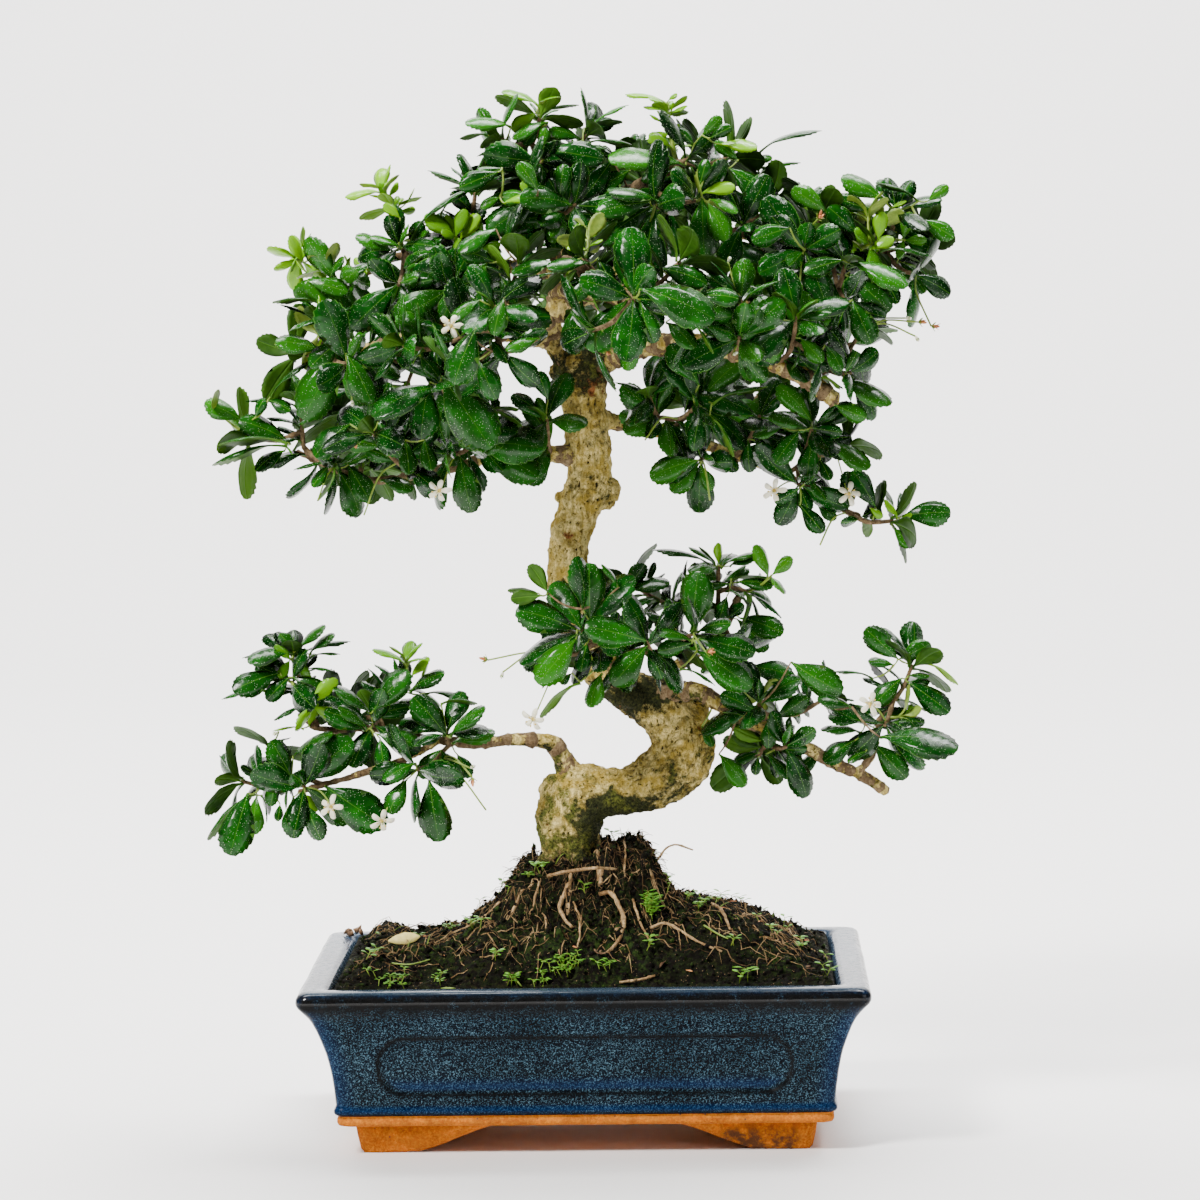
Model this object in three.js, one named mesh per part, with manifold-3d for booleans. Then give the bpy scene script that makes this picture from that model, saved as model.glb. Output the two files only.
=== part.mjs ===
// A fukien tea bonsai in its glazed pot, as a scene graph of closed solids.
// Millimetres, +Z up, the pot's front faces -Y, the feet stand on Z = 0.
import * as THREE from "three";
import { mergeVertices } from "three/addons/utils/BufferGeometryUtils.js";
import Module from "manifold-3d";

const wasm = await Module();
wasm.setup();

// Driving dimensions
const CLEARANCE = 0.3;
// Room beyond the clearance that foliage, shoots and soil keep from other bodies.
const SPARE = { leaf: 0.05, shoot: 0.4, soil: 0.05 };
const TOLERANCE = 0.06;
const CORNER_STEPS = 2;
const POT = {
  halfWidth: 125,
  halfDepth: 90,
  cornerRadius: 4,
  footHeight: 13,
  footHalfWidth: 99,
  footSpread: 3,
  footThickness: 10,
  footLength: 22,
  footCurveLength: 46,
  floorTop: 21,
  drainRadius: 11,
  drainSides: 8,
  drainSpacing: 110,
  panelHalfWidth: 90,
  panelHalfDepth: 55,
  panelBottom: 27.5,
  panelTop: 53,
  panelDepth: 1.5,
  panelCorner: 12,
};
// Half width of the wall at each height, from the base flange up to the rim and down inside.
const POT_OUTSIDE = [
  [104, 13], [109.3, 15.5], [109.6, 20], [110.5, 32], [113, 46], [118, 60], [124.5, 68], [125, 70.5],
  [121, 75],
];
const POT_INSIDE = [[98, POT.floorTop], [107, 50], [109.5, 72], [112, 75], [112, 80]];
// The curve of a foot's apron: shares [along, up] of its end, and of the handles and knots up to the base.
const APRON = { end: [0.04, 0.12], lowHandle: [0.3, 0.2], knot: [0.45, 0.5], highHandle: [0.65, 0.85] };
const APRON_LARGEST = 0.85;
const SCREEN = { size: 30, thickness: 1.2, bar: 4, holesPerSide: 2 };
const SOIL = {
  wall: [[98, 22.6], [106.8, 50], [108.5, 69]],
  rings: [0.94, 0.76, 0.52, 0.34, 0.18],
  halfWidth: 108,
  halfDepth: 73,
  ringHalfDepth: 72,
  roundness: 40,
  edgeHeight: 72,
  rise: 25,
  tilt: 0.05,
  slope: 17,
  coneX: 3,
  coneHeight: 27,
  coneRadius: 27,
  coneDepth: 1.1,
  lump: { height: 1.6, waveX: 0.16, shiftX: 1, waveY: 0.19, shiftY: 0.5, fade: 12 },
};

// Wood: centre line points [x, y, z, radius] of the trunk, from the root ball to the old cut top.
const TRUNK = [
  [-4, 0, 62, 9], [-4, 0, 88, 15], [-5, 0, 104, 17], [-6, 0, 122, 12.8], [-7, 0, 137, 15.2],
  [-2, -1, 147, 15.6], [9, -2, 150, 11.2], [19, -3, 151, 10.6], [30, -3, 155, 12.4], [40, -2, 162, 14.2],
  [44, 0, 173, 14], [38, 2, 184, 13.2], [27, 3, 192, 10.8], [13, 2, 200, 8.6], [2, 0, 212, 8],
  [-4, -1, 228, 7.8], [-7, -1, 244, 8.4], [-6, 0, 256, 9.2], [-5, 0, 267, 8.9], [-1, 0, 277, 9.2],
  [3, 0, 287, 10.4], [4, 0, 298, 9.5], [3, 0, 310, 9.8], [2, 0, 323, 9.4], [1, 0, 341, 11],
  [2, 0, 349, 10.2],
];
const TRUNK_SIDES = 8;
const FLUTE_DEPTH = 0.06;

// Branches that grow out of the trunk or out of each other, in the same form.
const BRANCHES = {
  leader: [
    [-3, 0, 340, 7], [-9, -1, 350, 5.4], [-12, -2, 359, 4.6], [-10, -2, 371, 3.9], [-9, -1, 384, 3.3],
    [-11, 0, 398, 2.8], [-13, 0, 415, 2.1], [-16, 0, 433, 1.5], [-16, 0, 446, 1.1],
  ],
  low_left: [
    [-6, 0, 157, 5.5], [-12, -3, 170, 4], [-16, -5, 174, 3.3], [-31, -10, 176, 2.5], [-43, -14, 175, 2.3],
    [-61, -14, 176, 2.1], [-78, -10, 178, 1.7], [-95, -6, 181, 1.5], [-119, -4, 181, 1.3],
    [-128, -4, 188, 1.1],
  ],
  low_left_under: [[-64, -14, 176, 1.2], [-82, -20, 168, 1.5], [-103, -26, 162, 1.4], [-127, -24, 155, 1.2]],
  low_right: [
    [30, 0, 191, 5], [48, -9, 197, 3.9], [61, -12, 191, 3.5], [72, -15, 184, 3.2], [94, -14, 174, 2.9],
    [111, -10, 164, 2.7], [125, -6, 157, 2.5], [135, -4, 150, 2.4],
  ],
  low_right_up: [[122, -7, 158, 1.6], [129, -9, 168, 1.7], [131, -10, 179, 1.5], [136, -8, 192, 1.2]],
  mid_front: [[13, 0, 200, 4.5], [15, -18, 209, 3.2], [11, -32, 218, 2.5], [4, -44, 223, 1.8]],
  mid_side: [[25, 3, 194, 4.5], [41, 14, 205, 3.1], [58, 12, 218, 2.5], [66, 6, 229, 2.1], [70, 2, 238, 1.7]],
  right_low: [
    [5, 4, 319, 5], [19, 9, 316, 3.3], [43, 8, 310, 2.6], [57, 3, 306, 2.4], [84, -6, 296, 1.9],
    [99, -9, 289, 1.6], [111, -10, 280, 1.3], [124, -10, 274, 1.1],
  ],
  left_low: [
    [0, 0, 302, 5], [-20, -8, 304, 3], [-38, -16, 305, 2.7], [-46, -18, 301, 2.5], [-61, -20, 298, 2.3],
    [-90, -14, 293, 1.7], [-110, -8, 298, 1.4], [-127, -4, 306, 1.1],
  ],
  left_mid: [
    [-10, 0, 354, 4], [-35, -14, 358, 3.7], [-56, -24, 362, 3.1], [-78, -30, 356, 2.5], [-98, -28, 351, 1.8],
    [-110, -24, 355, 1.3],
  ],
  right_mid: [
    [5, 0, 342, 5.8], [27, -12, 351, 5.2], [54, -24, 352, 4.5], [79, -32, 346, 4.1], [98, -34, 338, 3.8],
    [113, -34, 327, 3.4],
  ],
  right_high: [
    [-10, 0, 369, 2.9], [14, -8, 383, 3.6], [37, -12, 396, 3.1], [63, -12, 401, 2.6], [94, -12, 397, 2.1],
    [121, -10, 394, 1.6],
  ],
  left_high: [
    [-9, 0, 383, 2.4], [-31, 4, 387, 2.8], [-56, 2, 389, 2.3], [-80, -2, 392, 1.8], [-102, -4, 380, 1.3],
  ],
  front: [[-11, 0, 374, 2.8], [-2, -32, 377, 3], [13, -60, 374, 2.4], [24, -76, 371, 1.7]],
  front_left: [[-12, -2, 362, 3.2], [-24, -36, 363, 3.1], [-39, -62, 359, 2.4], [-51, -76, 351, 1.7]],
  back_left: [[-12, 2, 360, 3.2], [-32, 38, 366, 3.1], [-60, 66, 371, 2.4], [-85, 82, 361, 1.6]],
  back_right: [[-10, 2, 370, 2.8], [18, 38, 374, 3.2], [51, 66, 374, 2.5], [85, 80, 364, 1.6]],
  back: [[-10, 2, 383, 2.3], [-7, 40, 388, 2.6], [1, 76, 385, 1.6]],
  top_right: [[-10, 0, 394, 2], [8, -4, 411, 2.4], [28, -8, 423, 2], [48, -8, 431, 1.4]],
};
const BRANCH_SIDES = 5;

// Roots: two that spread inside the soil, then those that show on the mound.
const ROOTS = [
  [[-6, 0, 92, 9], [-32, 12, 70, 5], [-56, 20, 54, 2]],
  [[0, 2, 92, 9], [28, 8, 70, 5], [52, 4, 50, 2]],
  [[-6, -8, 116, 2.8], [-8, -30, 114, 2], [-12, -40, 103, 1.8], [-8, -44, 84, 1.3]],
  [[4, -8, 114, 2.6], [11, -32, 108, 2.1], [19, -42, 98, 2], [14, -46, 80, 1.4]],
  [[-12, -6, 116, 2.4], [-30, -20, 109, 1.8], [-52, -30, 86, 1.2]],
  [[6, 0, 116, 2.4], [28, -16, 109, 1.8], [50, -28, 88, 1.2]],
  [[8, 4, 118, 2.2], [28, 2, 117, 1.2], [38, 0, 126, 0.9], [48, -2, 124, 0.8]],
];
const ROOT_SIDES = 4;

// Shoots: each spray hangs on one branch, and each of its tips is [x, y, z, leaves, leaf length].
const SPRAYS = [
  {
    name: "left_tip",
    on: "left_low",
    tips: [[-148, -4, 313, 4, 24], [-124, -12, 327, 4, 22], [-108, -16, 299, 4, 25]],
  },
  { name: "left_lower", on: "left_low", tips: [[-90, -42, 316, 4, 27]] },
  {
    name: "left_inner",
    on: "left_low",
    tips: [[-59, -54, 337, 4, 34], [-38, -40, 325, 3, 23], [-57, -36, 305, 4, 27]],
  },
  { name: "left_trunkside", on: "left_low", tips: [[-14, -28, 320, 4, 24]] },
  { name: "left_behind", on: "left_low", tips: [[-112, 24, 319, 4, 25], [-74, 32, 309, 4, 25]] },
  {
    name: "left_mid_tip",
    on: "left_mid",
    tips: [[-114, -26, 364, 4, 23], [-126, -10, 350, 3, 23], [-100, -44, 346, 4, 27]],
  },
  { name: "left_mid_inner", on: "left_mid", tips: [[-75, -57, 354, 4, 25], [-48, -60, 358, 3, 27]] },
  { name: "left_high_tip", on: "left_high", tips: [[-106, -18, 381, 4, 22], [-122, -4, 395, 4, 13]] },
  {
    name: "left_high_mid",
    on: "left_high",
    tips: [[-82, -4, 414, 4, 14], [-79, -16, 397, 4, 22], [-78, -36, 380, 4, 25]],
  },
  {
    name: "left_high_inner",
    on: "left_high",
    tips: [[-54, -14, 398, 4, 22], [-45, -6, 420, 4, 25], [-55, -44, 378, 4, 26]],
  },
  {
    name: "top",
    on: "leader",
    tips: [[-16, 0, 453, 4, 21], [-34, -6, 444, 4, 21], [-15, -16, 433, 4, 23]],
  },
  { name: "top_front", on: "leader", tips: [[-21, -30, 420, 4, 25], [0, -32, 414, 4, 25]] },
  { name: "top_side", on: "leader", tips: [[5, 4, 445, 4, 22]] },
  { name: "top_behind", on: "leader", tips: [[-33, 26, 429, 4, 24], [-2, 36, 424, 4, 24]] },
  {
    name: "top_right",
    on: "top_right",
    tips: [[41, -6, 455, 4, 13], [50, -14, 434, 4, 24], [67, -2, 434, 4, 26]],
  },
  { name: "top_right_front", on: "top_right", tips: [[35, -40, 413, 4, 29], [53, -36, 415, 3, 26]] },
  {
    name: "top_right_behind",
    on: "top_right",
    tips: [[23, 26, 430, 4, 25], [34, 52, 416, 3, 25], [61, 30, 420, 3, 25]],
  },
  { name: "right_high_inner", on: "right_high", tips: [[73, -28, 404, 4, 23], [86, -2, 415, 4, 23]] },
  { name: "right_high_mid", on: "right_high", tips: [[100, -36, 393, 4, 25], [109, -14, 409, 4, 24]] },
  { name: "right_high_under", on: "right_high", tips: [[118, -32, 386, 4, 24], [118, -36, 370, 3, 24]] },
  {
    name: "right_high_tip",
    on: "right_high",
    tips: [[142, -4, 410, 4, 24], [130, -20, 395, 3, 18], [150, -8, 381, 4, 23], [151, 14, 396, 3, 23]],
  },
  { name: "right_high_behind", on: "right_high", tips: [[100, 36, 404, 4, 25], [122, 32, 383, 4, 25]] },
  {
    name: "front",
    on: "front",
    tips: [
      [4, -64, 391, 4, 22], [26, -92, 374, 4, 30], [8, -86, 360, 4, 28], [46, -66, 389, 4, 26],
      [50, -76, 365, 3, 26],
    ],
  },
  {
    name: "front_left",
    on: "front_left",
    tips: [
      [-34, -74, 371, 4, 26], [-24, -54, 389, 3, 23], [-50, -76, 344, 4, 26],
      [-30, -80, 351, 3, 25],
    ],
  },
  { name: "right_mid_inner", on: "right_mid", tips: [[72, -64, 372, 4, 25], [71, -72, 356, 3, 25]] },
  { name: "right_mid_outer", on: "right_mid", tips: [[96, -60, 364, 4, 26], [107, -52, 349, 3, 21]] },
  { name: "right_mid_tip", on: "right_mid", tips: [[120, -38, 339, 4, 23], [125, -24, 357, 3, 23]] },
  { name: "right_low_inner", on: "right_low", tips: [[53, -20, 325, 4, 27], [31, -8, 329, 3, 25]] },
  { name: "right_low_under", on: "right_low", tips: [[54, -8, 300, 4, 24]] },
  { name: "right_low_mid", on: "right_low", tips: [[80, -20, 320, 4, 25]] },
  {
    name: "right_low_outer",
    on: "right_low",
    tips: [[103, -24, 314, 4, 25], [118, -10, 306, 3, 23], [97, -20, 289, 4, 23]],
  },
  { name: "right_low_tip", on: "right_low", tips: [[139, -12, 272, 4, 25]] },
  { name: "right_low_behind", on: "right_low", tips: [[49, 36, 334, 4, 25], [81, 32, 327, 3, 25]] },
  {
    name: "back_left",
    on: "back_left",
    tips: [
      [-86, 88, 369, 4, 25], [-107, 68, 353, 4, 25], [-59, 78, 389, 4, 25], [-39, 92, 366, 3, 25],
      [-82, 70, 332, 4, 25],
    ],
  },
  {
    name: "back_right",
    on: "back_right",
    tips: [
      [54, 86, 387, 4, 25], [82, 84, 374, 4, 25], [109, 64, 371, 4, 25], [122, 42, 349, 3, 25],
      [72, 82, 346, 4, 25],
    ],
  },
  {
    name: "back",
    on: "back",
    tips: [[-11, 84, 402, 4, 25], [15, 88, 389, 4, 25], [-21, 96, 373, 3, 25], [7, 98, 365, 3, 25]],
  },
  { name: "low_left_tip", on: "low_left", tips: [[-130, -4, 214, 4, 23], [-131, -10, 203, 3, 23]] },
  {
    name: "low_left_mid",
    on: "low_left",
    tips: [[-94, -18, 184, 4, 25], [-80, -10, 200, 3, 21], [-109, 10, 189, 4, 23]],
  },
  { name: "low_left_inner", on: "low_left", tips: [[-61, -24, 181, 4, 25], [-74, -30, 165, 4, 28]] },
  {
    name: "low_left_under",
    on: "low_left_under",
    tips: [[-124, -32, 158, 4, 27], [-153, -22, 160, 4, 25], [-140, -12, 174, 3, 23]],
  },
  { name: "low_right_mid", on: "low_right", tips: [[78, -24, 192, 4, 25], [107, -16, 193, 3, 23]] },
  { name: "low_right_under", on: "low_right", tips: [[90, -26, 173, 3, 21], [75, 8, 165, 3, 20]] },
  { name: "low_right_up", on: "low_right_up", tips: [[134, -18, 181, 4, 27], [147, -8, 207, 4, 25]] },
  {
    name: "mid_front",
    on: "mid_front",
    tips: [[1, -56, 229, 4, 30], [-9, -46, 217, 3, 23], [30, -54, 221, 4, 26], [50, -44, 226, 4, 28]],
  },
  {
    name: "mid_side",
    on: "mid_side",
    tips: [[69, -8, 216, 4, 23], [61, 2, 252, 4, 21], [74, 4, 240, 3, 21], [20, 14, 244, 3, 23]],
  },
];

// Flowers: the spray that each grows on, the centre of its petals and the way that it faces.
const FLOWERS = [
  { name: "flower_low_left_a", spray: "low_left_under", at: [-111, -46, 151], faces: [-0.2, -1, 0.1] },
  { name: "flower_low_left_b", spray: "low_left_inner", at: [-89, -42, 144], faces: [0.1, -1, -0.3] },
  { name: "flower_left", spray: "left_inner", at: [-61, -46, 290], faces: [-0.3, -1, -0.2] },
  { name: "flower_left_high", spray: "front_left", at: [-52, -90, 363], faces: [-0.2, -1, 0.1] },
  { name: "flower_middle", spray: "mid_front", at: [-21, -56, 190], faces: [-0.3, -1, -0.4] },
  { name: "flower_low_right", spray: "low_right_up", at: [127, -38, 193], faces: [0.1, -1, 0.4] },
  { name: "flower_right", spray: "right_low_outer", at: [119, -24, 285], faces: [0.2, -1, 0.2] },
  { name: "flower_right_inner", spray: "right_low_outer", at: [86, -24, 287], faces: [-0.2, -1, -0.1] },
];
const FLOWER = {
  petals: 5,
  radius: 5.6,
  shoulder: 4.3,
  shoulderAngle: 18,
  shoulderCup: 0.84,
  notch: 1.6,
  cup: 1.2,
  calyx: 2.6,
  throat: 0.6,
};

// Shoots and leaves. A shoot ends in a short square bud that bears a leaf on each of its sides.
const TWIG = {
  sides: 4,
  stemRadius: 1.6,
  startRadius: 0.8,
  middleRadius: 1.3,
  tipRadius: 1.1,
  forkShare: 0.4,
  forkReach: 7,
  sag: 0.12,
  bud: 1.5,
};
// Where a spray leaves its branch: places along the branch, counted in its centre line's points.
const ATTACH = { steps: 8, first: 0.5, lowest: 0.6, stride: 0.05, backShare: 0.5, farthestBack: 9 };
const PEDICEL = { sides: 3, radius: 0.65, arch: 0.12, from: 0.5 };
const LEAF = {
  halfWidth: 0.285,
  thickness: 1.2,
  waist: [0.4, 0.6],
  shoulder: [0.79, 1.0],
  notch: [0.85, 0.62],
  middle: 0.52,
  crown: 0.05,
  droop: { waist: -0.01, shoulder: -0.06, notch: -0.1, tip: -0.16 },
  openAngle: 80,
  closedAngle: 46,
  smallest: 0.74,
  rootShare: 0.09,
  rootHalf: 0.6,
  ownGap: 0.1,
  turnSpread: 20,
  openSpread: 16,
  rollSpread: 0.5,
  shortest: 0.98,
  lengthSpread: 0.16,
};
// The sides of the bud in the order that its leaves open.
const BUD_SIDES = [0, 2, 1, 3];
// Turns [around the shoot, away from it, size] that a leaf tries until it is clear of everything else.
const LEAF_TRIES = [
  [0, 0, 1], [12, 0, 1], [-12, 0, 1], [0, -14, 1], [0, 14, 1], [24, -8, 1], [-24, -8, 1],
  [24, 12, 1], [-24, 12, 1],
  [12, -26, 1], [-12, -26, 1], [36, 0, 0.94], [-36, 0, 0.94], [0, -20, 0.88], [20, 24, 0.88], [-20, 24, 0.88],
  [36, -16, 0.88], [-36, -16, 0.88], [0, 32, 0.88], [20, -32, 0.8], [-20, -32, 0.8], [36, 18, 0.8],
  [-36, 18, 0.8],
  [0, 0, 0.7], [30, 26, 0.7], [-30, 26, 0.7], [30, -30, 0.7], [-30, -30, 0.7], [0, -40, 0.7], [0, 42, 0.7],
];
// Bends [x, y, z] of a shoot, as shares of its length, tried in the same way.
const TWIG_TRIES = [
  [0, 0, 0], [0, -0.2, 0], [0.2, 0, 0], [-0.2, 0, 0], [0, 0.2, 0], [0, 0, 0.25], [0, 0, -0.2],
  [0.25, -0.25, 0.1], [-0.25, -0.25, 0.1], [0.25, 0.25, 0.1], [-0.25, 0.25, 0.1], [0, -0.4, 0.1],
  [0.4, 0, 0.1], [-0.4, 0, 0.1],
  [0, 0.4, 0.1], [0, 0, 0.45],
];

const COLOURS = {
  glaze: { color: 0x1d3049, roughness: 0.28, metalness: 0 },
  plastic: { color: 0x1b1b1b, roughness: 0.6, metalness: 0 },
  soil: { color: 0x2a1d14, roughness: 0.95, metalness: 0 },
  bark: { color: 0xa08a68, roughness: 0.85, metalness: 0 },
  leaf: { color: 0x1f4a1c, roughness: 0.35, metalness: 0 },
  petal: { color: 0xf2f1e8, roughness: 0.6, metalness: 0 },
};

// A repeatable sequence of numbers from 0 to 1.
let seed = 20240;
function random() {
  seed = (seed * 1664525 + 1013904223) % 4294967296;
  return seed / 4294967296;
}

function vector(point) {
  return new THREE.Vector3(point[0], point[1], point[2]);
}

function degrees(angle) {
  return THREE.MathUtils.degToRad(angle);
}

// Solids and geometries
function solidOf(geometry) {
  geometry.deleteAttribute("normal");
  geometry.deleteAttribute("uv");
  const merged = mergeVertices(geometry, 1e-4);
  return new wasm.Manifold(new wasm.Mesh({
    numProp: 3,
    vertProperties: new Float32Array(merged.attributes.position.array),
    triVerts: new Uint32Array(merged.index.array),
  }));
}

function indexedSolid(points, triangles) {
  const geometry = new THREE.BufferGeometry();
  const numbers = points.flatMap((point) => point.toArray());
  geometry.setAttribute("position", new THREE.Float32BufferAttribute(numbers, 3));
  geometry.setIndex(triangles.flat());
  return solidOf(geometry);
}

function geometryOf(solid) {
  const mesh = solid.getMesh();
  const geometry = new THREE.BufferGeometry();
  geometry.setAttribute("position", new THREE.BufferAttribute(new Float32Array(mesh.vertProperties), 3));
  geometry.setIndex(new THREE.BufferAttribute(new Uint32Array(mesh.triVerts), 1));
  geometry.computeVertexNormals();
  return geometry;
}

function union(solids) {
  return wasm.Manifold.union(solids);
}

// The main body of a cut or joined solid, without scraps, inner voids and slivers finer than the tolerance.
function largestPiece(solid) {
  const pieces = solid.simplify(TOLERANCE).decompose();
  return pieces.reduce((best, piece) => (piece.volume() > best.volume() ? piece : best));
}

// A closed body through rings of points that all run the same way round. Leaves grow from its last band.
function loft(rings, leaves = []) {
  const count = rings[0].length;
  const triangles = [];
  for (let r = 0; r + 1 < rings.length; r += 1) {
    for (let i = 0; i < count; i += 1) {
      const a = r * count + i;
      const b = r * count + ((i + 1) % count);
      triangles.push([a, b, b + count], [a, b + count, a + count]);
    }
  }
  const last = (rings.length - 1) * count;
  for (let i = 1; i + 1 < count; i += 1) {
    triangles.push([0, i + 1, i], [last, last + i, last + i + 1]);
  }
  const points = rings.flat();
  for (const leaf of leaves) {
    const a = last - count + leaf.side;
    const b = last - count + ((leaf.side + 1) % count);
    triangles.splice(triangles.findIndex((one) => one[0] === a && one[1] === b), 2);
    triangles.push(...bladeTriangles([a, b, b + count, a + count], points.length));
    points.push(...bladePoints(leaf));
  }
  return indexedSolid(points, triangles);
}

function rectangleRing(halfX, halfY, radius, z) {
  const ring = [];
  const corners = [[1, 1, 0], [-1, 1, 90], [-1, -1, 180], [1, -1, 270]];
  for (const [sideX, sideY, start] of corners) {
    for (let i = 0; i <= CORNER_STEPS; i += 1) {
      const angle = degrees(start + (90 * i) / CORNER_STEPS);
      const x = sideX * (halfX - radius) + radius * Math.cos(angle);
      const y = sideY * (halfY - radius) + radius * Math.sin(angle);
      ring.push(new THREE.Vector3(x, y, z));
    }
  }
  return ring;
}

function box(halfX, halfY, bottom, top) {
  const geometry = new THREE.BoxGeometry(2 * halfX, 2 * halfY, top - bottom);
  geometry.translate(0, 0, (bottom + top) / 2);
  return solidOf(geometry);
}

// Rings across a centre line of [x, y, z, radius] points, each square to the line there.
function tubeRings(points, sides, grow, fluted, spin = 0) {
  const centres = points.map(vector);
  const tangents = centres.map((_, i) => {
    const before = centres[Math.max(i - 1, 0)];
    const after = centres[Math.min(i + 1, centres.length - 1)];
    return after.clone().sub(before).normalize();
  });
  centres[0].addScaledVector(tangents[0], -grow);
  centres[centres.length - 1].addScaledVector(tangents[tangents.length - 1], grow);
  let side = new THREE.Vector3(0, 1, 0);
  if (Math.abs(tangents[0].y) > 0.9) {
    side = new THREE.Vector3(1, 0, 0);
  }
  return centres.map((centre, i) => {
    side.addScaledVector(tangents[i], -side.dot(tangents[i])).normalize();
    const other = tangents[i].clone().cross(side);
    const ring = [];
    for (let k = 0; k < sides; k += 1) {
      const angle = degrees(spin) + (2 * Math.PI * k) / sides;
      const flute = fluted ? 1 + FLUTE_DEPTH * Math.sin(3 * angle + 0.9 * i) : 1;
      const reach = points[i][3] * flute + grow;
      const point = centre.clone();
      point.addScaledVector(side, reach * Math.cos(angle));
      point.addScaledVector(other, reach * Math.sin(angle));
      ring.push(point);
    }
    return ring;
  });
}

function tube(points, sides, grow = 0) {
  return loft(tubeRings(points, sides, grow, false));
}

function woodSolid(grow) {
  const branches = Object.values(BRANCHES).map((points) => tube(points, BRANCH_SIDES, grow));
  const roots = ROOTS.map((points) => tube(points, ROOT_SIDES, grow));
  const trunk = loft(tubeRings(TRUNK, TRUNK_SIDES, grow, true));
  return largestPiece(union([trunk, ...branches, ...roots]));
}

// The pot, fired in one piece: walls, base flange, four bracket feet and two drain holes.
function potRings(profile, shrink) {
  const inset = POT.halfWidth - POT.halfDepth;
  const ringAt = ([half, z]) => rectangleRing(half - shrink, half - inset - shrink, POT.cornerRadius, z);
  return profile.map(ringAt);
}

// A shape in the plane of a wall, drawn right through the pot.
function cutterThrough(shape, alongX) {
  const depth = 2.2 * POT.halfWidth;
  const geometry = new THREE.ExtrudeGeometry(shape, { depth, bevelEnabled: false, curveSegments: 2 });
  geometry.translate(0, 0, -depth / 2);
  geometry.rotateX(Math.PI / 2);
  if (!alongX) {
    geometry.rotateZ(Math.PI / 2);
  }
  return solidOf(geometry);
}

function panelCutter(halfLength, alongX) {
  const { panelBottom, panelTop, panelCorner: r } = POT;
  const shape = new THREE.Shape();
  shape.absarc(halfLength - r, panelTop - r, r, 0, Math.PI / 2);
  shape.absarc(-halfLength + r, panelTop - r, r, Math.PI / 2, Math.PI);
  shape.absarc(-halfLength + r, panelBottom + r, r, Math.PI, 1.5 * Math.PI);
  shape.absarc(halfLength - r, panelBottom + r, r, 1.5 * Math.PI, 2 * Math.PI);
  return cutterThrough(shape, alongX);
}

// The opening between two feet, which rises in a double curve from each foot to the base.
function archCutter(halfLength, alongX) {
  const foot = halfLength - POT.footLength;
  const curve = Math.min(POT.footCurveLength, APRON_LARGEST * foot);
  const x = ([along]) => foot - along * curve;
  const z = ([, up]) => up * POT.footHeight;
  const { end, lowHandle, knot, highHandle } = APRON;
  const base = [1, 1];
  const shape = new THREE.Shape();
  shape.moveTo(-foot, -1);
  shape.lineTo(foot, -1);
  shape.lineTo(x(end), z(end));
  shape.quadraticCurveTo(x(lowHandle), z(lowHandle), x(knot), z(knot));
  shape.quadraticCurveTo(x(highHandle), z(highHandle), x(base), z(base));
  shape.lineTo(-x(base), z(base));
  shape.quadraticCurveTo(-x(highHandle), z(highHandle), -x(knot), z(knot));
  shape.quadraticCurveTo(-x(lowHandle), z(lowHandle), -x(end), z(end));
  return cutterThrough(shape, alongX);
}

function potSolid() {
  const outside = loft(potRings(POT_OUTSIDE, 0));
  const inset = POT.halfWidth - POT.halfDepth;
  const cavity = loft(potRings(POT_INSIDE, 0));
  const panelFloor = loft(potRings(POT_OUTSIDE, POT.panelDepth));
  const panels = [panelCutter(POT.panelHalfWidth, true), panelCutter(POT.panelHalfDepth, false)];
  const carved = panels.reduce((body, cutter) => body.subtract(cutter.subtract(panelFloor)), outside);

  const footTop = [POT.footHalfWidth + POT.footSpread, POT.footHeight + 1];
  const footOuter = loft(potRings([[POT.footHalfWidth, 0], footTop], 0));
  const insideHalf = POT.footHalfWidth - POT.footThickness;
  const footInner = box(insideHalf, insideHalf - inset, -1, POT.footHeight);
  const arches = union([
    archCutter(POT.footHalfWidth, true),
    archCutter(POT.footHalfWidth - inset, false),
  ]);
  const feet = footOuter.subtract(footInner).subtract(arches);

  const drains = [-1, 1].map((side) => {
    const { drainRadius, drainSides, floorTop } = POT;
    const hole = new THREE.CylinderGeometry(drainRadius, drainRadius, 2 * floorTop, drainSides);
    hole.rotateX(Math.PI / 2);
    hole.translate((side * POT.drainSpacing) / 2, 0, POT.footHeight);
    return solidOf(hole);
  });
  return largestPiece(carved.add(feet).subtract(cavity).subtract(union(drains)));
}

// A mesh screen that lies over a drain hole: a plate with square openings.
function screenSolid(side) {
  const half = SCREEN.size / 2;
  const bottom = POT.floorTop + CLEARANCE;
  const pitch = (SCREEN.size - SCREEN.bar) / SCREEN.holesPerSide;
  const openings = [];
  for (let i = 0; i < SCREEN.holesPerSide; i += 1) {
    for (let j = 0; j < SCREEN.holesPerSide; j += 1) {
      const opening = new THREE.BoxGeometry(pitch - SCREEN.bar, pitch - SCREEN.bar, 3 * SCREEN.thickness);
      const middle = (SCREEN.holesPerSide - 1) / 2;
      opening.translate((i - middle) * pitch, (j - middle) * pitch, bottom);
      openings.push(solidOf(opening));
    }
  }
  const plate = box(half, half, bottom, bottom + SCREEN.thickness).subtract(union(openings));
  return plate.translate((side * POT.drainSpacing) / 2, 0, 0);
}

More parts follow.
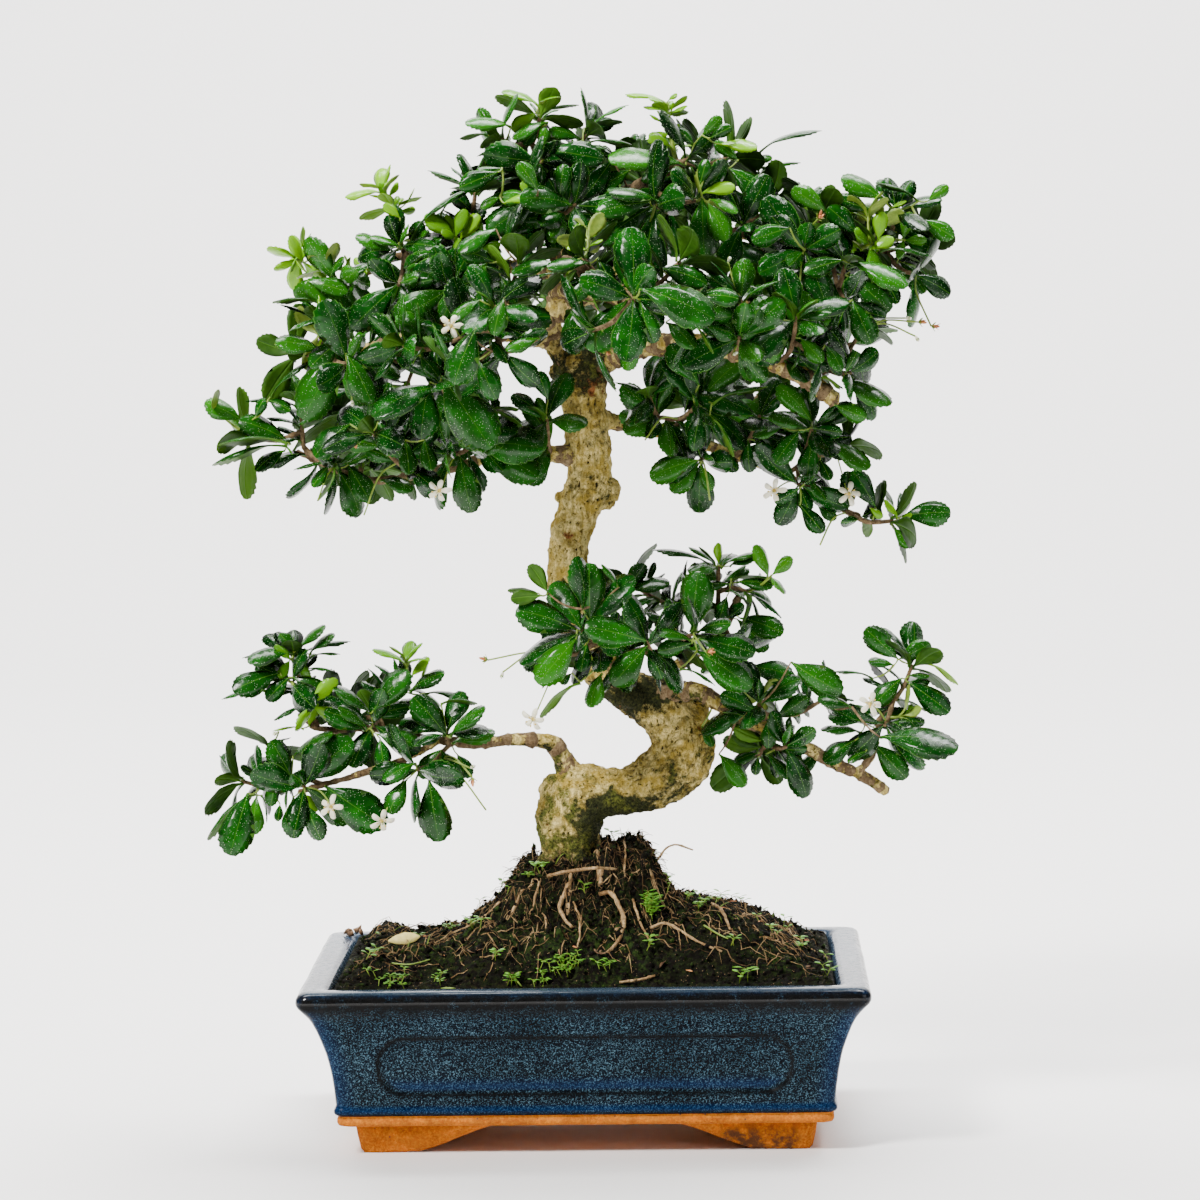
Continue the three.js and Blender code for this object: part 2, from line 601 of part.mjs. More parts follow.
// The soil fills the pot and rises to the foot of the trunk.
function soilHeight(x, y) {
  const { lump } = SOIL;
  const inward = Math.max(Math.min(SOIL.halfWidth - Math.abs(x), SOIL.halfDepth - Math.abs(y)), 0);
  const rise = (SOIL.rise + SOIL.tilt * x) * (1 - Math.exp(-inward / SOIL.slope));
  const fromTrunk = Math.hypot(x - SOIL.coneX, y * SOIL.coneDepth);
  const cone = SOIL.coneHeight * Math.exp(-((fromTrunk / SOIL.coneRadius) ** 2));
  const wave = Math.sin(lump.waveX * x + lump.shiftX) * Math.cos(lump.waveY * y + lump.shiftY);
  return SOIL.edgeHeight + rise + cone + lump.height * wave * Math.min(1, inward / lump.fade);
}

function soilSolid(space) {
  const rings = potRings(SOIL.wall, CLEARANCE + SPARE.soil);
  for (const share of SOIL.rings) {
    const radius = POT.cornerRadius + SOIL.roundness * (1 - share) * share;
    const flat = rectangleRing(SOIL.halfWidth * share, SOIL.ringHalfDepth * share, radius, 0);
    rings.push(flat.map((point) => new THREE.Vector3(point.x, point.y, soilHeight(point.x, point.y))));
  }
  return largestPiece(loft(rings).subtract(space));
}

// Where a shoot leaves its branch: a little nearer to the trunk than the closest point of the branch.
function attachPoint(branch, target) {
  const centres = branch.map(vector);
  let best = null;
  for (let i = 0; i + 1 < centres.length; i += 1) {
    for (let step = 0; step < ATTACH.steps; step += 1) {
      const share = step / ATTACH.steps;
      const point = centres[i].clone().lerp(centres[i + 1], share);
      const distance = point.distanceTo(target);
      if (i + share > ATTACH.first && (best === null || distance < best.distance)) {
        best = { point, distance, place: i + share };
      }
    }
  }
  const back = Math.min(ATTACH.backShare * best.distance, ATTACH.farthestBack);
  let place = best.place;
  let point = best.point;
  while (place > ATTACH.lowest && point.distanceTo(best.point) < back) {
    place -= ATTACH.stride;
    const i = Math.floor(place);
    point = centres[i].clone().lerp(centres[i + 1], place - i);
  }
  return point;
}

// Solids already placed, each with its owner. Within its own spray a leaf counts without its root.
const placed = [];

function place(solid, owner, rootless = solid) {
  placed.push({ solid, owner, rootless });
}

function apart(one, other, gap) {
  const { min, max } = one.boundingBox();
  const far = other.boundingBox();
  for (let axis = 0; axis < 3; axis += 1) {
    if (min[axis] - gap > far.max[axis] || max[axis] + gap < far.min[axis]) {
      return true;
    }
  }
  return one.minGap(other, gap + 0.1) >= gap;
}

function isClear(solid, owner, gap) {
  return placed.every((other) => other.owner === owner || apart(solid, other.solid, gap));
}

function isClearOfOwn(solid, owner, gap) {
  return placed.every((other) => other.owner !== owner || apart(solid, other.rootless, gap));
}

function nearest(points, target) {
  const nearer = (best, point) => (point.distanceTo(target) < best.distanceTo(target) ? point : best);
  return points.reduce(nearer);
}

function pathPoints(centres, radii) {
  return centres.map((point, i) => [point.x, point.y, point.z, radii[i]]);
}

// The twigs of a spray: the straightest runs from the branch through a fork to its tip, and each of
// the others leaves the nearest joint that is there.
function growTwigs(spray) {
  const { stemRadius, startRadius, middleRadius, tipRadius, sides } = TWIG;
  const centre = new THREE.Vector3();
  spray.tips.forEach((tip) => centre.addScaledVector(vector(tip), 1 / spray.tips.length));
  const root = attachPoint(BRANCHES[spray.on], centre);
  const reach = Math.max(TWIG.forkShare * root.distanceTo(centre), TWIG.forkReach);
  const fork = root.clone().addScaledVector(centre.clone().sub(root).normalize(), reach);
  const bendTo = (tip) => vector(tip).sub(fork).angleTo(fork.clone().sub(root));
  spray.tips.sort((one, other) => bendTo(one) - bendTo(other));
  const tips = spray.tips.map(vector);
  const joints = tips.length > 1 ? [fork] : [root];
  spray.stalks = [];
  spray.shoots = tips.map((tip, number) => {
    const start = nearest(joints, tip);
    const length = start.distanceTo(tip);
    const sagging = start.clone().lerp(tip, 0.5).add(new THREE.Vector3(0, 0, -TWIG.sag * length));
    const bent = TWIG_TRIES.map((bend) => sagging.clone().addScaledVector(vector(bend), length));
    const middle = bent.find((point) => {
      const outer = [start.clone().lerp(point, 0.6), point, tip];
      const solid = tube(pathPoints(outer, [middleRadius, middleRadius, tipRadius]), sides);
      return isClear(solid, spray.name, CLEARANCE + SPARE.shoot);
    });
    if (middle === undefined) {
      throw new Error(`no clear way for a shoot of ${spray.name}`);
    }
    joints.push(middle);
    const budStart = tip.clone().addScaledVector(tip.clone().sub(middle).normalize(), -TWIG.bud);
    const centres = [start, middle, budStart, tip];
    const radii = [startRadius, middleRadius, tipRadius, tipRadius];
    if (number === 0) {
      radii[0] = stemRadius;
    }
    if (number === 0 && tips.length > 1) {
      centres.unshift(root);
      radii.unshift(stemRadius);
    }
    const rings = tubeRings(pathPoints(centres, radii), sides, 0, false, 360 * random());
    place(loft(rings), spray.name);
    return { middle, tip, rings, leaves: [] };
  });
}

// A flower: five petals in a shallow cup, over a calyx that narrows to the stalk.
function flowerSolid(flower) {
  const axis = vector(flower.faces).normalize();
  const side = new THREE.Vector3(0, 0, 1).cross(axis).normalize();
  const up = axis.clone().cross(side);
  const at = vector(flower.at);
  const corner = (radius, angle, height) => at.clone()
    .addScaledVector(side, radius * Math.cos(angle))
    .addScaledVector(up, radius * Math.sin(angle))
    .addScaledVector(axis, height);
  const rim = [];
  for (let k = 0; k < FLOWER.petals; k += 1) {
    const middle = (2 * Math.PI * k) / FLOWER.petals;
    const shoulder = degrees(FLOWER.shoulderAngle);
    rim.push(corner(FLOWER.notch, middle - Math.PI / FLOWER.petals, 0));
    rim.push(corner(FLOWER.shoulder, middle - shoulder, FLOWER.shoulderCup));
    rim.push(corner(FLOWER.radius, middle, FLOWER.cup));
    rim.push(corner(FLOWER.shoulder, middle + shoulder, FLOWER.shoulderCup));
  }
  const throat = at.clone().addScaledVector(axis, FLOWER.throat);
  const calyx = at.clone().addScaledVector(axis, -FLOWER.calyx);
  const count = rim.length;
  const triangles = [];
  for (let i = 0; i < count; i += 1) {
    const next = (i + 1) % count;
    triangles.push([i, next, count], [next, i, count + 1]);
  }
  return { solid: indexedSolid([...rim, throat, calyx], triangles), calyx, axis };
}

function growFlower(flower, spray) {
  const { solid, calyx, axis } = flowerSolid(flower);
  const end = calyx.clone().addScaledVector(axis, -CLEARANCE);
  const starts = spray.shoots.map((shoot) => shoot.middle.clone().lerp(shoot.tip, PEDICEL.from));
  const start = nearest(starts, end);
  const length = start.distanceTo(end);
  const middle = start.clone().lerp(end, 0.5).add(new THREE.Vector3(0, 0, PEDICEL.arch * length));
  middle.addScaledVector(axis, -PEDICEL.arch * length);
  const thin = PEDICEL.radius;
  const stalk = tube(pathPoints([start, middle, end], [thin, thin, thin]), PEDICEL.sides);
  spray.stalks.push(stalk);
  place(stalk, spray.name);
  place(solid, flower.name);
  return solid;
}

// The points of a leaf: its outline from one side of the waist to the other, then its two faces' middles.
function bladePoints(leaf) {
  const across = leaf.normal.clone().cross(leaf.along).normalize();
  const half = LEAF.halfWidth * leaf.length;
  const corner = ([share, side], height) => leaf.root.clone()
    .addScaledVector(leaf.along, share * leaf.length)
    .addScaledVector(across, side * half)
    .addScaledVector(leaf.normal, height);
  const { waist, shoulder, notch, middle } = LEAF;
  const drop = (name) => LEAF.droop[name] * leaf.length;
  const mirrored = ([share, side]) => [share, -side];
  const crown = LEAF.crown * leaf.length;
  return [
    corner(mirrored(waist), drop("waist")),
    corner(mirrored(shoulder), drop("shoulder")),
    corner(mirrored(notch), drop("notch")),
    corner([1, 0], drop("tip")),
    corner(notch, drop("notch")),
    corner(shoulder, drop("shoulder")),
    corner(waist, drop("waist")),
    corner([middle, 0], crown),
    corner([middle, 0], crown - LEAF.thickness),
  ];
}

// The triangles of a leaf with the corners a, b, c, d as its root and with its own points from first on.
function bladeTriangles([a, b, c, d], first) {
  const upper = first + 7;
  const under = first + 8;
  const outline = [d, 0, 1, 2, 3, 4, 5, 6, c].map((point, i) => (i === 0 || i === 8 ? point : first + point));
  const triangles = [[upper, c, d], [under, a, b], [a, first, d], [b, c, first + 6]];
  for (let i = 0; i < 8; i += 1) {
    triangles.push([upper, outline[i], outline[i + 1]]);
  }
  const lower = [a, ...outline.slice(1, 8), b];
  for (let i = 0; i < 8; i += 1) {
    triangles.push([under, lower[i + 1], lower[i]]);
  }
  return triangles;
}

// A leaf as a body of its own, from a small root at a share of its length, to test it against the rest.
function testBlade(leaf, share) {
  const across = leaf.normal.clone().cross(leaf.along).normalize();
  const root = [[-1, -1], [1, -1], [1, 1], [-1, 1]].map(([side, height]) => leaf.root.clone()
    .addScaledVector(leaf.along, share * leaf.length)
    .addScaledVector(across, side * LEAF.rootHalf)
    .addScaledVector(leaf.normal, height * LEAF.rootHalf));
  const triangles = bladeTriangles([0, 1, 2, 3], 4);
  triangles.push([0, 2, 1], [0, 3, 2]);
  return indexedSolid([...root, ...bladePoints(leaf)], triangles);
}

// A leaf on one side of the bud, turned from the middle of that side by its draws and an attempt.
function leafAt(shoot, rank, side, size, draws, [turn, tilt, scale]) {
  const axis = shoot.tip.clone().sub(shoot.middle).normalize();
  const [low, high] = shoot.rings.slice(-2);
  const next = (side + 1) % TWIG.sides;
  const root = new THREE.Vector3();
  [low[side], low[next], high[side], high[next]].forEach((corner) => root.addScaledVector(corner, 0.25));
  const outward = root.clone().sub(shoot.tip);
  outward.addScaledVector(axis, -outward.dot(axis)).normalize();
  outward.applyAxisAngle(axis, degrees(LEAF.turnSpread * (draws[0] - 0.5) + turn));
  const opening = LEAF.openAngle + (LEAF.closedAngle - LEAF.openAngle) * rank;
  const open = degrees(opening + LEAF.openSpread * (draws[1] - 0.5) + tilt);
  const along = axis.clone().multiplyScalar(Math.cos(open)).addScaledVector(outward, Math.sin(open));
  const normal = axis.clone().multiplyScalar(Math.sin(open)).addScaledVector(outward, -Math.cos(open));
  normal.applyAxisAngle(along, LEAF.rollSpread * (draws[2] - 0.5));
  const share = (1 + (LEAF.smallest - 1) * rank) * (LEAF.shortest + LEAF.lengthSpread * draws[3]);
  const length = size * scale * share;
  return { side, root, along, normal, length };
}

// The leaves open in opposite pairs, the largest first, each clear of everything that is already there.
function growLeaves(spray) {
  spray.shoots.forEach((shoot, index) => {
    const [, , , count, size] = spray.tips[index];
    for (let number = 0; number < count; number += 1) {
      const draws = [random(), random(), random(), random()];
      const rank = count > 1 ? number / (count - 1) : 0;
      for (const attempt of LEAF_TRIES) {
        const leaf = leafAt(shoot, rank, BUD_SIDES[number], size, draws, attempt);
        const blade = testBlade(leaf, 0);
        const rootless = testBlade(leaf, LEAF.rootShare);
        const clearOfOwn = isClearOfOwn(rootless, spray.name, LEAF.ownGap);
        if (clearOfOwn && isClear(blade, spray.name, CLEARANCE + SPARE.leaf)) {
          shoot.leaves.push(leaf);
          place(blade, spray.name, rootless);
          break;
        }
      }
    }
  });
}

function spraySolid(spray) {
  const shoots = spray.shoots.map((shoot) => loft(shoot.rings, shoot.leaves));
  return largestPiece(union([...spray.stalks, ...shoots]).subtract(woodSpace));
}

function named(name, solid, look) {
  const mesh = new THREE.Mesh(geometryOf(solid), new THREE.MeshStandardMaterial(look));
  mesh.name = name;
  return mesh;
}

const wood = woodSolid(0);
const woodSpace = woodSolid(CLEARANCE);
const pot = potSolid();
const soil = soilSolid(woodSpace);
place(wood, "trunk");
place(pot, "pot");
place(soil, "soil");

SPRAYS.forEach(growTwigs);
const flowers = FLOWERS.map((flower) => {
  const spray = SPRAYS.find((one) => one.name === flower.spray);
  return named(flower.name, growFlower(flower, spray), COLOURS.petal);
});
SPRAYS.forEach(growLeaves);

const bonsai = new THREE.Group();
bonsai.name = "fukien_tea_bonsai";
bonsai.add(named("pot", pot, COLOURS.glaze));
bonsai.add(named("drain_screen_left", screenSolid(-1), COLOURS.plastic));
bonsai.add(named("drain_screen_right", screenSolid(1), COLOURS.plastic));
bonsai.add(named("soil", soil, COLOURS.soil));
bonsai.add(named("trunk", wood, COLOURS.bark));
SPRAYS.forEach((spray) => bonsai.add(named(`spray_${spray.name}`, spraySolid(spray), COLOURS.leaf)));
bonsai.add(...flowers);

// The origin is on the ground under the middle of the whole object.
const extent = new THREE.Box3().setFromObject(bonsai);
const middle = extent.getCenter(new THREE.Vector3());
bonsai.position.set(-middle.x, -middle.y, -extent.min.z);

export default bonsai;
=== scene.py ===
"""Dresses the fukien tea bonsai: glazed pot, soil, bark, leaves, flowers, weeds, and the light and camera.

Points are in millimetres from the middle of the pot's foot, as in the part's source, and become
metres of the frame when a mesh is made. The pot's front faces -Y.
"""
import math
import random

import bmesh
import bpy
import numpy as np
from mathutils import Matrix, Vector, noise
from mathutils.bvhtree import BVHTree
from mathutils.kdtree import KDTree


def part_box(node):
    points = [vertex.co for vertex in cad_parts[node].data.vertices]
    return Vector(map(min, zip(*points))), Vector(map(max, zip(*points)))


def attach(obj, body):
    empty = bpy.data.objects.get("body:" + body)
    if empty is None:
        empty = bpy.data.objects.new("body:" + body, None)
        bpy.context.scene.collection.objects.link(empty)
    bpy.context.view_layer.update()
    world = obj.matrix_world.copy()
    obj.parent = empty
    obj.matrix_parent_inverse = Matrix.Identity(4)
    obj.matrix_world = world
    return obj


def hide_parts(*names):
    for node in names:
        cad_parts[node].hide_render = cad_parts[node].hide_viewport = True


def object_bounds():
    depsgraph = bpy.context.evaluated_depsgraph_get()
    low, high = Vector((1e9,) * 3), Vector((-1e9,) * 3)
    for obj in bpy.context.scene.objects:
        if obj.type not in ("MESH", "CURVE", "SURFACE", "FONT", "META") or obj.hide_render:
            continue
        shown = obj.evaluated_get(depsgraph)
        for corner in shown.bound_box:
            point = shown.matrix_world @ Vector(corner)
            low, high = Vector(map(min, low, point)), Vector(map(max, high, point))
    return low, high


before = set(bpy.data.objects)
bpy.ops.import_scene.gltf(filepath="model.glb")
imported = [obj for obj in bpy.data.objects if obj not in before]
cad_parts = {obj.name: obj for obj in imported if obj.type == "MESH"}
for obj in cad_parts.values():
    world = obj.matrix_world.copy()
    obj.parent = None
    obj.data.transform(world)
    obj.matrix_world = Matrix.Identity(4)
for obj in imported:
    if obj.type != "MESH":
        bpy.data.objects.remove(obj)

CAD_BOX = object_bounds()
POT_LOW, POT_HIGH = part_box("pot")
SHIFT = np.array([(POT_LOW[0] + POT_HIGH[0]) / 2, (POT_LOW[1] + POT_HIGH[1]) / 2, POT_LOW[2]])
BOX_LOW = (np.array(CAD_BOX[0]) - SHIFT) * 1000 + 0.02
BOX_HIGH = (np.array(CAD_BOX[1]) - SHIFT) * 1000 - 0.02
LIMIT_LOW, LIMIT_HIGH = BOX_LOW + 0.6, BOX_HIGH - 0.6
chance = random.Random(41)

# The photograph's camera: where it stands, how it is turned and its focal length in pixels of 1200.
CAMERA_AT = np.array([58.1, -2064.7, 408.8])
YAW, PITCH, ROLL = math.radians(-1.398), math.radians(4.747), math.radians(-0.795)
FOCAL = 4619.0
PIXELS = 1200

# Centre lines [x, y, z, radius] of the trunk, the branches and the roots.
TRUNK = [
    [-4, 0, 62, 9], [-4, 0, 88, 15], [-5, 0, 104, 17], [-6, 0, 122, 12.8], [-7, 0, 137, 15.2],
    [-2, -1, 147, 15.6], [9, -2, 150, 11.2], [19, -3, 151, 10.6], [30, -3, 155, 12.4],
    [40, -2, 162, 14.2], [44, 0, 173, 14], [38, 2, 184, 13.2], [27, 3, 192, 10.8], [13, 2, 200, 8.6],
    [2, 0, 212, 8], [-4, -1, 228, 7.8], [-7, -1, 244, 8.4], [-6, 0, 256, 9.2], [-5, 0, 267, 8.9],
    [-1, 0, 277, 9.2], [3, 0, 287, 10.4], [4, 0, 298, 9.5], [3, 0, 310, 9.8], [2, 0, 323, 9.4],
    [1, 0, 341, 11], [2, 0, 349, 10.2],
]
BRANCHES = {
    "leader": [
        [-3, 0, 340, 7], [-9, -1, 350, 5.4], [-12, -2, 359, 4.6], [-10, -2, 371, 3.9],
        [-9, -1, 384, 3.3], [-11, 0, 398, 2.8], [-13, 0, 415, 2.1], [-16, 0, 433, 1.5],
        [-16, 0, 446, 1.1],
    ],
    "low_left": [
        [-6, 0, 157, 5.5], [-12, -3, 170, 4], [-16, -5, 174, 3.3], [-31, -10, 176, 2.5],
        [-43, -14, 175, 2.3], [-61, -14, 176, 2.1], [-78, -10, 178, 1.7], [-95, -6, 181, 1.5],
        [-119, -4, 181, 1.3], [-128, -4, 188, 1.1],
    ],
    "low_left_under": [
        [-64, -14, 176, 1.2], [-82, -20, 168, 1.5], [-103, -26, 162, 1.4], [-127, -24, 155, 1.2],
    ],
    "low_right": [
        [30, 0, 191, 5], [48, -9, 197, 3.9], [61, -12, 191, 3.5], [72, -15, 184, 3.2],
        [94, -14, 174, 2.9], [111, -10, 164, 2.7], [125, -6, 157, 2.5], [135, -4, 150, 2.4],
    ],
    "low_right_up": [
        [122, -7, 158, 1.6], [129, -9, 168, 1.7], [131, -10, 179, 1.5], [136, -8, 192, 1.2],
    ],
    "mid_front": [
        [13, 0, 200, 4.5], [15, -18, 209, 3.2], [11, -32, 218, 2.5], [4, -44, 223, 1.8],
    ],
    "mid_side": [
        [25, 3, 194, 4.5], [41, 14, 205, 3.1], [58, 12, 218, 2.5], [66, 6, 229, 2.1],
        [70, 2, 238, 1.7],
    ],
    "right_low": [
        [5, 4, 319, 5], [19, 9, 316, 3.3], [43, 8, 310, 2.6], [57, 3, 306, 2.4], [84, -6, 296, 1.9],
        [99, -9, 289, 1.6], [111, -10, 280, 1.3], [124, -10, 274, 1.1],
    ],
    "left_low": [
        [0, 0, 302, 5], [-20, -8, 304, 3], [-38, -16, 305, 2.7], [-46, -18, 301, 2.5],
        [-61, -20, 298, 2.3], [-90, -14, 293, 1.7], [-110, -8, 298, 1.4], [-127, -4, 306, 1.1],
    ],
    "left_mid": [
        [-10, 0, 354, 4], [-35, -14, 358, 3.7], [-56, -24, 362, 3.1], [-78, -30, 356, 2.5],
        [-98, -28, 351, 1.8], [-110, -24, 355, 1.3],
    ],
    "right_mid": [
        [5, 0, 342, 5.8], [27, -12, 351, 5.2], [54, -24, 352, 4.5], [79, -32, 346, 4.1],
        [98, -34, 338, 3.8], [113, -34, 327, 3.4],
    ],
    "right_high": [
        [-10, 0, 369, 2.9], [14, -8, 383, 3.6], [37, -12, 396, 3.1], [63, -12, 401, 2.6],
        [94, -12, 397, 2.1], [121, -10, 394, 1.6],
    ],
    "left_high": [
        [-9, 0, 383, 2.4], [-31, 4, 387, 2.8], [-56, 2, 389, 2.3], [-80, -2, 392, 1.8],
        [-102, -4, 380, 1.3],
    ],
    "front": [
        [-11, 0, 374, 2.8], [-2, -32, 377, 3], [13, -60, 374, 2.4], [24, -76, 371, 1.7],
    ],
    "front_left": [
        [-12, -2, 362, 3.2], [-24, -36, 363, 3.1], [-39, -62, 359, 2.4], [-51, -76, 351, 1.7],
    ],
    "back_left": [
        [-12, 2, 360, 3.2], [-32, 38, 366, 3.1], [-60, 66, 371, 2.4], [-85, 82, 361, 1.6],
    ],
    "back_right": [
        [-10, 2, 370, 2.8], [18, 38, 374, 3.2], [51, 66, 374, 2.5], [85, 80, 364, 1.6],
    ],
    "back": [
        [-10, 2, 383, 2.3], [-7, 40, 388, 2.6], [1, 76, 385, 1.6],
    ],
    "top_right": [
        [-10, 0, 394, 2], [8, -4, 411, 2.4], [28, -8, 423, 2], [48, -8, 431, 1.4],
    ],
}
ROOTS = [
    [[-6, 0, 92, 9], [-32, 12, 70, 5], [-56, 20, 54, 2]],
    [[0, 2, 92, 9], [28, 8, 70, 5], [52, 4, 50, 2]],
    [[-6, -8, 116, 2.8], [-8, -30, 114, 2], [-12, -40, 103, 1.8], [-8, -44, 84, 1.3]],
    [[4, -8, 114, 2.6], [11, -32, 108, 2.1], [19, -42, 98, 2], [14, -46, 80, 1.4]],
    [[-12, -6, 116, 2.4], [-30, -20, 109, 1.8], [-52, -30, 86, 1.2]],
    [[6, 0, 116, 2.4], [28, -16, 109, 1.8], [50, -28, 88, 1.2]],
    [[8, 4, 118, 2.2], [28, 2, 117, 1.2], [38, 0, 126, 0.9], [48, -2, 124, 0.8]],
]

# Sprays: name, branch, and for each shoot [x, y, z, leaves, leaf length].
SPRAYS = [
    ("left_tip", "left_low", [[-148, -4, 313, 4, 24], [-124, -12, 327, 4, 22], [-108, -16, 299, 4, 25]]),
    ("left_lower", "left_low", [[-90, -42, 316, 4, 27]]),
    ("left_inner", "left_low", [[-59, -54, 337, 4, 34], [-38, -40, 325, 3, 23], [-57, -36, 305, 4, 27]]),
    ("left_trunkside", "left_low", [[-14, -28, 320, 4, 24]]),
    ("left_behind", "left_low", [[-112, 24, 319, 4, 25], [-74, 32, 309, 4, 25]]),
    ("left_mid_tip", "left_mid", [
        [-114, -26, 364, 4, 23], [-126, -10, 350, 3, 23], [-100, -44, 346, 4, 27],
    ]),
    ("left_mid_inner", "left_mid", [[-75, -57, 354, 4, 25], [-48, -60, 358, 3, 27]]),
    ("left_high_tip", "left_high", [[-106, -18, 381, 4, 22], [-122, -4, 395, 4, 13]]),
    ("left_high_mid", "left_high", [
        [-82, -4, 414, 4, 14], [-79, -16, 397, 4, 22], [-78, -36, 380, 4, 25],
    ]),
    ("left_high_inner", "left_high", [
        [-54, -14, 398, 4, 22], [-45, -6, 420, 4, 25], [-55, -44, 378, 4, 26],
    ]),
    ("top", "leader", [[-16, 0, 453, 4, 21], [-34, -6, 444, 4, 21], [-15, -16, 433, 4, 23]]),
    ("top_front", "leader", [[-21, -30, 420, 4, 25], [0, -32, 414, 4, 25]]),
    ("top_side", "leader", [[5, 4, 445, 4, 22]]),
    ("top_behind", "leader", [[-33, 26, 429, 4, 24], [-2, 36, 424, 4, 24]]),
    ("top_right", "top_right", [[41, -6, 455, 4, 13], [50, -14, 434, 4, 24], [67, -2, 434, 4, 26]]),
    ("top_right_front", "top_right", [[35, -40, 413, 4, 29], [53, -36, 415, 3, 26]]),
    ("top_right_behind", "top_right", [[23, 26, 430, 4, 25], [34, 52, 416, 3, 25], [61, 30, 420, 3, 25]]),
    ("right_high_inner", "right_high", [[73, -28, 404, 4, 23], [86, -2, 415, 4, 23]]),
    ("right_high_mid", "right_high", [[100, -36, 393, 4, 25], [109, -14, 409, 4, 24]]),
    ("right_high_under", "right_high", [[118, -32, 386, 4, 24], [118, -36, 370, 3, 24]]),
    ("right_high_tip", "right_high", [
        [142, -4, 410, 4, 24], [130, -20, 395, 3, 18], [150, -8, 381, 4, 23], [151, 14, 396, 3, 23],
    ]),
    ("right_high_behind", "right_high", [[100, 36, 404, 4, 25], [122, 32, 383, 4, 25]]),
    ("front", "front", [
        [4, -64, 391, 4, 22], [26, -92, 374, 4, 30], [8, -86, 360, 4, 28], [46, -66, 389, 4, 26],
        [50, -76, 365, 3, 26],
    ]),
    ("front_left", "front_left", [
        [-34, -74, 371, 4, 26], [-24, -54, 389, 3, 23], [-50, -76, 344, 4, 26], [-30, -80, 351, 3, 25],
    ]),
    ("right_mid_inner", "right_mid", [[72, -64, 372, 4, 25], [71, -72, 356, 3, 25]]),
    ("right_mid_outer", "right_mid", [[96, -60, 364, 4, 26], [107, -52, 349, 3, 21]]),
    ("right_mid_tip", "right_mid", [[120, -38, 339, 4, 23], [125, -24, 357, 3, 23]]),
    ("right_low_inner", "right_low", [[53, -20, 325, 4, 27], [31, -8, 329, 3, 25]]),
    ("right_low_under", "right_low", [[54, -8, 300, 4, 24]]),
    ("right_low_mid", "right_low", [[80, -20, 320, 4, 25]]),
    ("right_low_outer", "right_low", [
        [103, -24, 314, 4, 25], [118, -10, 306, 3, 23], [97, -20, 289, 4, 23],
    ]),
    ("right_low_tip", "right_low", [[139, -12, 272, 4, 25]]),
    ("right_low_behind", "right_low", [[49, 36, 334, 4, 25], [81, 32, 327, 3, 25]]),
    ("back_left", "back_left", [
        [-86, 88, 369, 4, 25], [-107, 68, 353, 4, 25], [-59, 78, 389, 4, 25], [-39, 92, 366, 3, 25],
        [-82, 70, 332, 4, 25],
    ]),
    ("back_right", "back_right", [
        [54, 86, 387, 4, 25], [82, 84, 374, 4, 25], [109, 64, 371, 4, 25], [122, 42, 349, 3, 25],
        [72, 82, 346, 4, 25],
    ]),
    ("back", "back", [
        [-11, 84, 402, 4, 25], [15, 88, 389, 4, 25], [-21, 96, 373, 3, 25], [7, 98, 365, 3, 25],
    ]),
    ("low_left_tip", "low_left", [[-130, -4, 214, 4, 23], [-131, -10, 203, 3, 23]]),
    ("low_left_mid", "low_left", [
        [-94, -18, 184, 4, 25], [-80, -10, 200, 3, 21], [-109, 10, 189, 4, 23],
    ]),
    ("low_left_inner", "low_left", [[-61, -24, 181, 4, 25], [-74, -30, 165, 4, 28]]),
    ("low_left_under", "low_left_under", [
        [-124, -32, 158, 4, 27], [-153, -22, 160, 4, 25], [-140, -12, 174, 3, 23],
    ]),
    ("low_right_mid", "low_right", [[78, -24, 192, 4, 25], [107, -16, 193, 3, 23]]),
    ("low_right_under", "low_right", [[90, -26, 173, 3, 21], [75, 8, 165, 3, 20]]),
    ("low_right_up", "low_right_up", [[134, -18, 181, 4, 27], [147, -8, 207, 4, 25]]),
    ("mid_front", "mid_front", [
        [1, -56, 229, 4, 30], [-9, -46, 217, 3, 23], [30, -54, 221, 4, 26], [50, -44, 226, 4, 28],
    ]),
    ("mid_side", "mid_side", [
        [69, -8, 216, 4, 23], [61, 2, 252, 4, 21], [74, 4, 240, 3, 21], [20, 14, 244, 3, 23],
    ]),
]

# Flowers: name, spray, the middle of the petals and the way they face.
FLOWERS = [
    ("flower_low_left_a", "low_left_under", [-111, -46, 151], [-0.2, -1, 0.1]),
    ("flower_low_left_b", "low_left_inner", [-89, -42, 144], [0.1, -1, -0.3]),
    ("flower_left", "left_inner", [-61, -46, 290], [-0.3, -1, -0.2]),
    ("flower_left_high", "front_left", [-52, -90, 363], [-0.2, -1, 0.1]),
    ("flower_middle", "mid_front", [-21, -56, 190], [-0.3, -1, -0.4]),
    ("flower_low_right", "low_right_up", [127, -38, 193], [0.1, -1, 0.4]),
    ("flower_right", "right_low_outer", [119, -24, 285], [0.2, -1, 0.2]),
    ("flower_right_inner", "right_low_outer", [86, -24, 287], [-0.2, -1, -0.1]),
]

